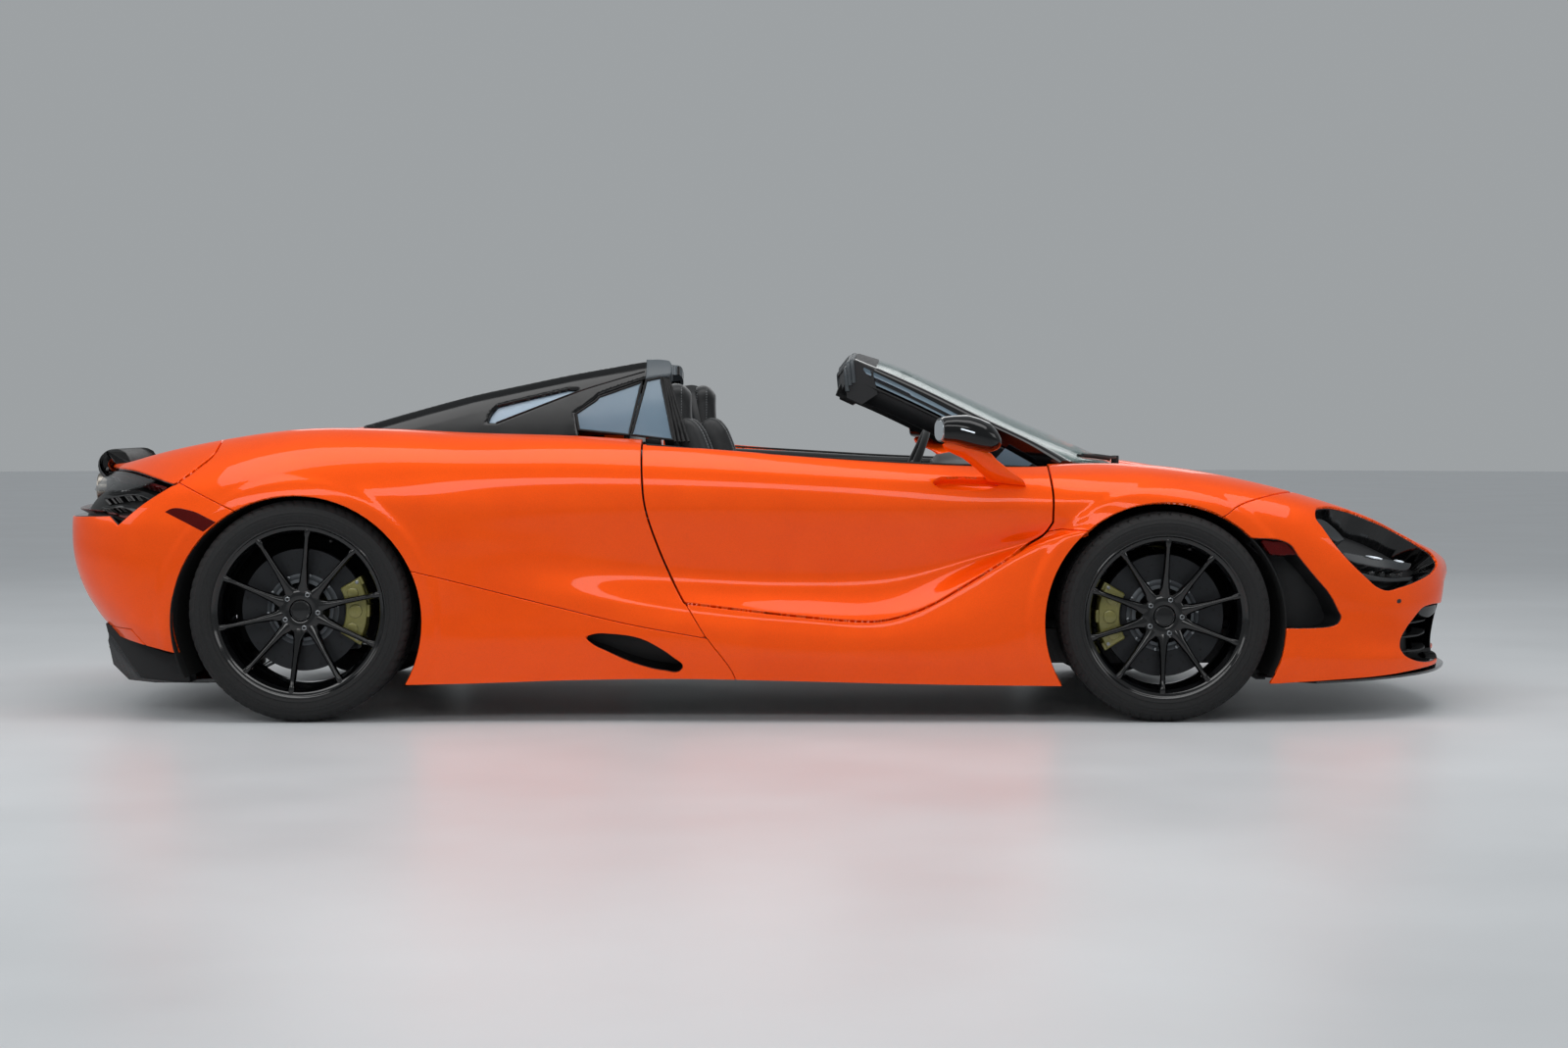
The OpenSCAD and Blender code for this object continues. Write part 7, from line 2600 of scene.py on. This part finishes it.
@dataclass
class Cockpit:
    """Dashboard, console, steering wheel and carpets."""

    wheel_at: Pt3 = (486, 350, 742)

    def dashboard(self) -> None:
        """Hooded dashboard with vents, dials and a central screen."""
        rings = []
        for y in np.linspace(-636, 636, 81):
            hood = math.exp(-((y - 350) / 165) ** 4)
            mid = math.exp(-(y / 140) ** 4)
            end = abs(y / 636) ** 8
            rings.append([(842, y, 566), (842, y, 776 - 6 * end), (742, y, 790 + 8 * hood),
                          (640, y, 792 + 26 * hood - 6 * end), (588 - 6 * hood, y, 784 + 24 * hood - 16 * end),
                          (566 - 4 * hood, y, 766 + 20 * hood - 14 * end),
                          (562, y, 752 + 8 * hood), (582 + 40 * hood, y, 736), (580 + 38 * hood - 14 * mid, y, 690),
                          (552 - 22 * mid, y, 668), (544 - 22 * mid, y, 640), (558, y, 600), (590, y, 566)])
        body = smooth(loft("dashboard", rings), 38)
        given(dressed(body, Stock.suede), "body", "leather", "dashboard")
        seam = [(566 - 4 * math.exp(-((y - 350) / 165) ** 4) - 0.5, y, 767 + 20 * math.exp(-((y - 350) / 165) ** 4)
                 - 14 * abs(y / 636) ** 8) for y in np.linspace(-630, 630, 80)]
        given(dressed(tube("dashboard_seam", seam, 1.6, sides=6, steps=1), Stock.thread), "body", "leather")
        parts = []
        for y in (-560, -150, 150, 560):
            ring = bevelled(cuboid("vent", (540, y - 62, 690), (584, y + 62, 734), 8, 3), 1, 1)
            parts.append(dressed(ring, Stock.satin_black))
            for k in range(4):
                parts.append(dressed(cuboid("slat", (536, y - 56, 696 + 9 * k), (546, y + 56, 699 + 9 * k), 1, 1),
                                     Stock.gloss_black))
            parts.append(dressed(cuboid("vane", (533, y - 5, 694), (541, y + 5, 730), 2, 2), Stock.alloy))
        given(joined("dashboard_vents", parts), "body", "black_trim")
        screen = Finish("oleophobic_display_glass", "#0A0F16", rough=0.1, rough_swing=0.02, coat=1.0, coat_rough=0.02,
                        grain_mm=40)
        parts = [dressed(turned(cuboid("dial_screen", (588, 230, 700), (600, 470, 782), 4, 3), (594, 350, 740),
                                (0, 1, 0), -14), screen),
                 dressed(turned(cuboid("touch_screen", (516, -76, 560), (528, 76, 730), 5, 3), (522, 0, 645),
                                (0, 1, 0), -16), screen),
                 dressed(turned(cuboid("touch_frame", (520, -82, 554), (540, 82, 736), 5, 3), (522, 0, 645), (0, 1, 0),
                                -16), Stock.satin_black)]
        given(joined("displays", parts), "body", "gloss_black")
        ring = [lathe("dial", [(44, -1.5), (47, -1.5), (47, 1.5), (44, 1.5), (44, -1.5)], (0, 0, 0), "X", 60)]
        lean = Matrix.Rotation(math.radians(14), 4, "Y")
        ring[0].data.transform(Matrix.Translation(Vector((585, 350, 742)) * MM) @ lean)
        given(dressed(ring[0], Stock.white), "body", "lamp")
        shroud = loft("column_shroud", [[(x, 350 + w * rounded(a, 0.7)[0], z + h * rounded(a, 0.7)[1])
                      for a in np.linspace(0, 2 * math.pi, 28, endpoint=False)]
                      for x, z, w, h in ((508, 728, 46, 34), (530, 720, 52, 38), (580, 704, 56, 44),
                                         (640, 690, 58, 48))])
        given(dressed(smooth(shroud, 50), Stock.dash_skin), "body", "black_trim")

    def console(self) -> None:
        """Centre console with padded armrest, carbon fascia and buttons."""
        outline = flowing([(560, 152), (548, 590), (470, 572), (392, 536), (250, 442), (20, 416), (-190, 402),
                           (-300, 408), (-420, 418), (-420, 152)], corners=(0, 1, 8, 9))
        block = bevelled(prism("console", [tuple(p) for p in outline], -78, 78), 14, 4, 50)
        given(dressed(block, Stock.dash_skin), "body", "black_trim", "centre_console")
        strip = [[(x, y, z + 4 + 1.5 * s) for y, s in ((-40, 0), (-34, 1), (34, 1), (40, 0), (36, -3), (-36, -3))]
                 for x, z in ((470, 572), (430, 556), (392, 536), (330, 496), (280, 462), (240, 440), (180, 432))]
        given(dressed(smooth(loft("console_fascia", strip), 40), Stock.carbon), "body", "carbon_tub")
        parts = []
        for k in range(3):
            x, z = 400 - 44 * k, 546 - 30 * k
            knob = lathe("button", [(0.01, 0), (13, 0), (15, 3), (15, 9), (13, 11), (0.01, 11)], (x, 0, z), "Z", 36)
            knob = turned(knob, (x, 0, z), (0, 1, 0), -34)
            parts.append(dressed(knob, Stock.alloy if k != 1 else Stock.satin_black))
        for k, y in enumerate((-24, 24)):
            parts.append(dressed(turned(cuboid("rocker", (300, y - 11, 478), (330, y + 11, 486), 3, 2), (315, y, 482),
                                        (0, 1, 0), -34), Stock.satin_black))
        given(joined("console_buttons", parts), "body", "black_trim")
        rest = Seat(0.0, "x").shape("armrest", [(150, 434), (20, 428), (-120, 420), (-220, 414)], (48, 54, 54, 46),
                                    (15, 18, 18, 14), 0.0)
        rest.name = "console_armrest_pad"
        pad = inflated(rest, 7, 5.0)
        dressed(pad, Stock.leather)
        given(pad, "body", "leather")

    def steering(self) -> None:
        """Steering wheel with a shaped rim, three spokes, hub pad and shift paddles."""
        x, y, z = self.wheel_at
        parts = []
        rim = []
        for k in range(96):
            a = 2 * math.pi * k / 96
            flat = 1 - 0.07 * max(0.0, -math.sin(a)) ** 6
            ring = []
            off_side = abs(math.degrees(math.atan2(math.sin(a), abs(math.cos(a)))))
            grip = 1.0 + 0.16 * math.exp(-((off_side - 18) / 14) ** 2)
            for b in np.linspace(0, 2 * math.pi, 16, endpoint=False):
                r = (164 + 13.5 * grip * math.cos(b)) * flat
                ring.append((13.5 * grip * math.sin(b) * 0.9, r * math.cos(a), r * math.sin(a)))
            rim.append(ring)
        parts.append(dressed(smooth(loft("rim", rim, capped=False, closed=True), 80), Stock.suede))
        for angle in (8, 172, 270):
            c, s = math.cos(math.radians(angle)), math.sin(math.radians(angle))
            arm = []
            for r, w, t in ((44, 26, 9), (80, 18, 7), (120, 15, 6), (158, 20, 6)):
                arm.append([(t * v + (12 if r < 60 else 4), r * c - w * u * s, r * s + w * u * c)
                            for u, v in ((-1, -0.4), (-0.7, -1), (0.7, -1), (1, -0.4), (1, 0.4), (0.7, 1), (-0.7, 1),
                                         (-1, 0.4))])
            parts.append(dressed(bevelled(loft("spoke", arm), 2, 2), Stock.satin_black))
        hub = lathe("hub", [(0.01, -16), (30, -16), (44, -10), (50, 2), (52, 20), (40, 34), (0.01, 34)], (0, 0, 0),
                    "X", 64)
        parts.append(dressed(smooth(hub, 50), Stock.leather))
        for sign in (-1, 1):
            blade = bevelled(prism("paddle", [(sign * 66, -30), (sign * 66, 34), (sign * 92, 60), (sign * 108, 52),
                                              (sign * 104, -8), (sign * 84, -40)], 22, 26, "YZ"), 1, 1)
            parts.append(dressed(blade, Stock.carbon))
        parts.append(dressed(rod("column", (30, 0, 0), (66, 0, 0), 22, 32, 2), Stock.satin_black))
        wheel = joined("steering_wheel_rim", parts)
        wheel.data.transform(Matrix.Translation(Vector((x, y, z)) * MM) @ Matrix.Rotation(math.radians(22), 4, "Y"))
        given(wheel, "steering_wheel", "leather", "steering_wheel")

    def trim(self) -> None:
        """Carpets, pedals and the padded sill rails."""
        parts = []
        for y0, y1 in ((100, 590), (-590, -100)):
            carpet = bevelled(prism("carpet", [(836, 152), (836, 300), (828, 300), (760, 172), (700, 160), (-460, 160),
                                               (-460, 152)], y0, y1), 2, 2)
            parts.append(dressed(carpet, Stock.carpet))
        given(joined("carpets", parts), "body", "black_trim")
        pedals = []
        for y, w, zz in ((300, 34, 250), (400, 26, 240)):
            pad = cuboid("pedal", (770, y - w, zz - 40), (778, y + w, zz + 50), 3, 3)
            pad = turned(pad, (774, y, zz), (0, 1, 0), 24)
            pedals.append(dressed(pad, Stock.alloy))
            pedals.append(dressed(rod("arm", (786, y, zz + 20), (838, y, 420), 7, 16), Stock.satin_black))
        given(joined("pedals", pedals), "body", "metal")
        rails = []
        for side in (-1, 1):
            y0, y1 = sorted((side * 598, side * 702))
            rail = bevelled(prism("rail", [(820, 398), (820, 408), (-455, 408), (-455, 398)], y0, y1), 4, 2)
            rails.append(dressed(rail, Stock.leather))
        given(joined("sill_rail_trims", rails), "body", "leather")

    def make(self) -> None:
        """Build the cabin."""
        for y, tag, ahead in ((350.0, "left", 92.0), (-350.0, "right", 28.0)):
            Seat(y, tag, ahead).make()
        self.dashboard()
        self.console()
        self.steering()
        self.trim()


# ---------------------------------------------------------------------------------------------
# Doors from inside, chassis and engine bay
# ---------------------------------------------------------------------------------------------
@dataclass
class DoorInner:
    """Inner half of a dihedral door: edge walls, trimmed card, pull and speaker.

    Attributes:
        body: painted body whose surface the edge walls follow.
    """

    body: CarBody

    def walls(self, side: Side) -> bpy.types.Object:
        """Edge walls between the outer skin and the card, and the rubber seal along them."""
        s = self.body.lines
        patch = self.body.part(-450, 920)
        wall = Panel("edge_wall", patch, keep=[s.door.wider(-1.5)], drop=[s.door.wider(-12), self.body.belt()],
                     thick=92, edge=1.5, sink=13).build(side)
        seal = Panel("edge_seal", patch, keep=[s.door.wider(-13)], drop=[s.door.wider(-24), self.body.belt()],
                     thick=16, edge=5, sink=92).build(side)
        return joined("door_walls", [dressed(wall, Stock.paint), dressed(seal, Stock.seal)])

    def card(self, side: Side) -> bpy.types.Object:
        """Leather card with a carbon sweep, stitched line, pull, speaker and pocket."""
        sign = 1 if side is Side.LEFT else -1

        def slab(name: str, line: Sequence[Pt2], low: float, high: float, round_mm: float, finish: Finish,
                 corners: Iterable[int] = ()) -> bpy.types.Object:
            """Rounded slab on the inner face of the door."""
            pts = [tuple(p) for p in flowing(line, corners=corners)]
            y0, y1 = sorted((sign * low, sign * high))
            return dressed(bevelled(prism(name, pts, y0, y1), round_mm, 3), finish)

        parts = [slab("card", [(845, 772), (852, 640), (800, 566), (686, 492), (560, 420), (430, 360), (250, 336),
                               (100, 344), (-240, 386), (-300, 470), (-352, 610), (-378, 700), (-384, 800), (60, 796),
                               (520, 784)], 728, 762, 8, Stock.leather, corners=(0, 9, 12)),
                 slab("sweep", [(800, 742), (790, 650), (640, 606), (300, 590), (-60, 600), (-330, 640), (-350, 700),
                                (0, 690), (420, 690), (640, 706)], 722, 732, 3, Stock.suede, corners=(0,)),
                 slab("blade", [(700, 640), (640, 594), (300, 566), (-60, 576), (-300, 612), (-300, 624), (-60, 590),
                                (300, 580), (620, 606)], 717, 730, 2, Stock.carbon, corners=(0, 4, 5)),
                 slab("pocket", [(560, 470), (500, 430), (300, 392), (120, 396), (100, 430), (300, 440), (480, 476)],
                      712, 730, 6, Stock.leather),
                 slab("pull", [(330, 668), (330, 644), (120, 640), (110, 662)], 704, 730, 5, Stock.alloy)]
        for k, (x, z, r) in enumerate(((690, 572, 62), (742, 706, 22))):
            grille = lathe("speaker", [(0.01, 0), (r - 6, 0), (r - 3, 3), (r, 3), (r, -8), (0.01, -8)],
                           (x, sign * 727, z), "Y", 48)
            if sign > 0:
                grille = turned(grille, (x, sign * 727, z), (1, 0, 0), 180)
            parts.append(dressed(grille, Stock.mesh_black if k == 0 else Stock.alloy))
        stitch = [(x, sign * 721.5, z) for x, z in flowing([(796, 736), (640, 700), (420, 684), (0, 684), (-344, 694)],
                                                           corners=(0, 4), closed=False)]
        parts.append(dressed(tube("stitch", stitch, 1.5, sides=6, steps=1), Stock.thread))
        top = []
        for x, z, y_in, y_out in ((868, 780, 733, 772), (780, 784, 734, 777), (640, 787, 736, 787),
                                  (400, 796, 738, 797),
                                  (60, 816, 740, 806), (-150, 826, 742, 806), (-300, 840, 742, 806),
                                  (-384, 846, 742, 806)):
            top.append([(x, sign * y_in, z - 34), (x, sign * (y_in - 4), z - 18), (x, sign * (y_in + 4), z - 5),
                        (x, sign * (y_in + 16), z - 1), (x, sign * (y_out - 6), z - 1), (x, sign * (y_out + 6), z - 5),
                        (x, sign * (y_out + 4), z - 30), (x, sign * (y_out - 20), z - 40)])
        parts.append(dressed(smooth(loft("ledge", top), 50), Stock.suede))
        lip = [(x, sign * (y_out + 1), z + 1) for x, z, _, y_out in
               ((862, 779, 0, 772), (780, 784, 0, 777), (640, 787, 0, 787), (400, 796, 0, 797), (60, 817, 0, 806),
                (-150, 829, 0, 806), (-300, 845, 0, 806), (-386, 852, 0, 806))]
        parts.append(dressed(tube("waist_seal", lip, 5.5, sides=10, steps=8), Stock.seal))
        return joined("door_card", parts)

    def make(self) -> None:
        """Build both inner halves."""
        for side in Side:
            tag = side.name.lower()
            given(self.walls(side), f"door_{tag}", "body_paint", f"door_{tag}").name = f"door_edge_{tag}"
            given(self.card(side), f"door_{tag}", "leather").name = f"door_card_{tag}"


@dataclass
class Chassis:
    """Finishes of the construction pieces that stay, with the bolts of the floor panel."""

    finishes: dict[str, Finish] = field(default_factory=lambda: {
        "floor_tub": Stock.tub, "front_structure": Stock.satin_black, "rear_structure": Stock.cast_alloy,
        "engine": Stock.cast_iron, "luggage_tub": Stock.carpet, "front_suspension": Stock.steel,
        "rear_suspension": Stock.steel, "bonnet_hinges": Stock.satin_black})

    def carry_over(self) -> None:
        """Give each construction piece that still shows its real finish."""
        for name, finish in self.finishes.items():
            node = frame["nodes"][name]
            material = finish.make()
            if not node.material_slots:
                node.data.materials.append(material)
            for place in node.material_slots:
                place.material = material
            log.info("%-28s carried over as %s", name, finish.name)

    def fasteners(self) -> None:
        """Bolts of the floor panel."""
        bolts = []
        for x in (-400, -200, 0, 200, 400, 600, 780):
            for y in (-560, -240, 240, 560):
                bolts.append(lathe("bolt", [(0.01, 113.5), (9, 113.5), (11, 115.5), (11, 119), (0.01, 119)], (x, y, 0),
                                   "Z", 16))
        given(dressed(joined("floor_bolts", bolts), Stock.steel), "body", "metal")

    def make(self) -> None:
        """Finish the chassis."""
        self.carry_over()
        self.fasteners()


# ---------------------------------------------------------------------------------------------
# Studio
# ---------------------------------------------------------------------------------------------
@dataclass
class Studio:
    """Pale floor, soft lights and the camera that sees the right side.

    Attributes:
        camera_at: place of the camera in metres.
        lens: focal length on a 36 mm sensor.
        pitch: how far it looks down, in degrees.
        yaw: how far it is turned, in degrees.
    """

    camera_at: Pt3 = (0.030, -9.997, 0.9533)
    lens: float = 67.617
    pitch: float = 2.1587
    yaw: float = -0.0809

    def camera(self) -> None:
        """Add the camera."""
        data = bpy.data.cameras.new("camera")
        data.lens = self.lens
        data.sensor_width = 36.0
        data.clip_end = 200
        obj = bpy.data.objects.new("camera", data)
        obj.location = self.camera_at
        obj.rotation_euler = (math.radians(90 - self.pitch), 0.0, math.radians(self.yaw))
        bpy.context.collection.objects.link(obj)
        bpy.context.scene.camera = obj

    def softbox(self, name: str, place: Pt3, aim: Pt3, size: tuple[float, float], power: float) -> None:
        """Add a soft rectangular lamp."""
        data = bpy.data.lights.new(name, "AREA")
        data.shape = "RECTANGLE"
        data.size, data.size_y = size
        data.energy = power
        obj = bpy.data.objects.new(name, data)
        obj.location = place
        obj.rotation_euler = (Vector(aim) - Vector(place)).to_track_quat("-Z", "Y").to_euler()
        bpy.context.collection.objects.link(obj)

    def floor(self) -> None:
        """Lay a large pale floor that fades into the backdrop."""
        clear_selection()
        bpy.ops.mesh.primitive_circle_add(vertices=96, radius=40, fill_type="NGON", location=(0, 0, -0.0005))
        obj = bpy.context.object
        obj.name = "floor"
        made = bpy.data.materials.new("sealed_studio_floor")
        made.use_nodes = True
        tree = made.node_tree
        tree.nodes.clear()
        place = add_node(tree, "ShaderNodeTexCoord").outputs["Object"]
        noise = add_node(tree, "ShaderNodeTexNoise", {"Vector": place, "Scale": 1.2, "Detail": 5.0})
        tone = ramp(tree, noise.outputs["Fac"], [(0.3, linear("#CFD2D4")), (0.7, linear("#D8DBDD"))])
        rough = add_node(tree, "ShaderNodeMapRange", {"Value": noise.outputs["Fac"], "To Min": 0.28, "To Max": 0.42})
        shader = add_node(tree, "ShaderNodeBsdfPrincipled", {"Base Color": tone, "Roughness": rough.outputs["Result"]})
        add_node(tree, "ShaderNodeOutputMaterial", {"Surface": shader.outputs["BSDF"]})
        obj.data.materials.append(made)

    def world(self) -> None:
        """Give an even pale surround."""
        scene_world = bpy.data.worlds.new("studio")
        bpy.context.scene.world = scene_world
        scene_world.use_nodes = True
        tree = scene_world.node_tree
        tree.nodes.clear()
        path = add_node(tree, "ShaderNodeLightPath")
        seen = add_node(tree, "ShaderNodeMath", {0: path.outputs["Is Camera Ray"],
                                                 1: path.outputs["Is Transmission Ray"]}, operation="MAXIMUM")
        seen = add_node(tree, "ShaderNodeMath", {0: seen.outputs["Value"], 1: path.outputs["Is Glossy Ray"]},
                        operation="MAXIMUM")
        light = add_node(tree, "ShaderNodeBackground", {"Color": linear("#E4E8EC"), "Strength": 0.5})
        view = add_node(tree, "ShaderNodeBackground", {"Color": linear("#D3D8DB"), "Strength": 0.52})
        mix = add_node(tree, "ShaderNodeMixShader", {"Fac": seen.outputs["Value"], 1: light.outputs["Background"],
                                                     2: view.outputs["Background"]})
        add_node(tree, "ShaderNodeOutputWorld", {"Surface": mix.outputs["Shader"]})

    def make(self) -> None:
        """Set up the studio."""
        scene = bpy.context.scene
        scene.view_settings.view_transform = "Standard"
        self.camera()
        self.floor()
        self.world()
        self.softbox("overhead_bank", (0.0, -1.2, 4.6), (0.0, 0.0, 0.5), (8.0, 2.2), 150)
        self.softbox("near_side_bank", (-1.5, -6.5, 3.4), (0.0, 0.0, 0.6), (7.0, 1.2), 100)
        self.softbox("nose_bank", (6.5, -2.5, 3.0), (1.0, 0.0, 0.5), (3.0, 2.0), 40)
        self.softbox("tail_bank", (-6.5, -1.5, 3.0), (-1.0, 0.0, 0.5), (3.0, 2.0), 40)
        self.softbox("far_side_bank", (0.0, 6.5, 3.4), (0.0, 0.0, 0.6), (6.0, 1.6), 50)


def main() -> None:
    """Build the studio and every sub-assembly in order."""
    Studio().make()
    body = CarBody()
    body.make()
    Fittings(body).make()
    front = RoadWheel("front", (1219.5, 835.5, 325.0), 325, 245, 241, 2.0)
    rear = RoadWheel("rear", (-1450.5, 811.5, 343.0), 343, 305, 256, 6.0)
    front.make()
    rear.make()
    Corner(front, -1, ("knuckle_left", "knuckle_right"), ("knuckle_left", "knuckle_right"),
           (1219.5, 305.0, 374.0), 556, 926).make()
    Corner(rear, 1, ("rear_uprights", "rear_uprights"), ("body", "body"), (-1461.5, 311.0, 389.0), 640, 930).make()
    Windscreen().make()
    Buttresses().make()
    DoorMirror().make()
    Cockpit().make()
    DoorInner(body).make()
    Chassis().make()
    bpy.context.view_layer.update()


if __name__ == "__main__":
    main()
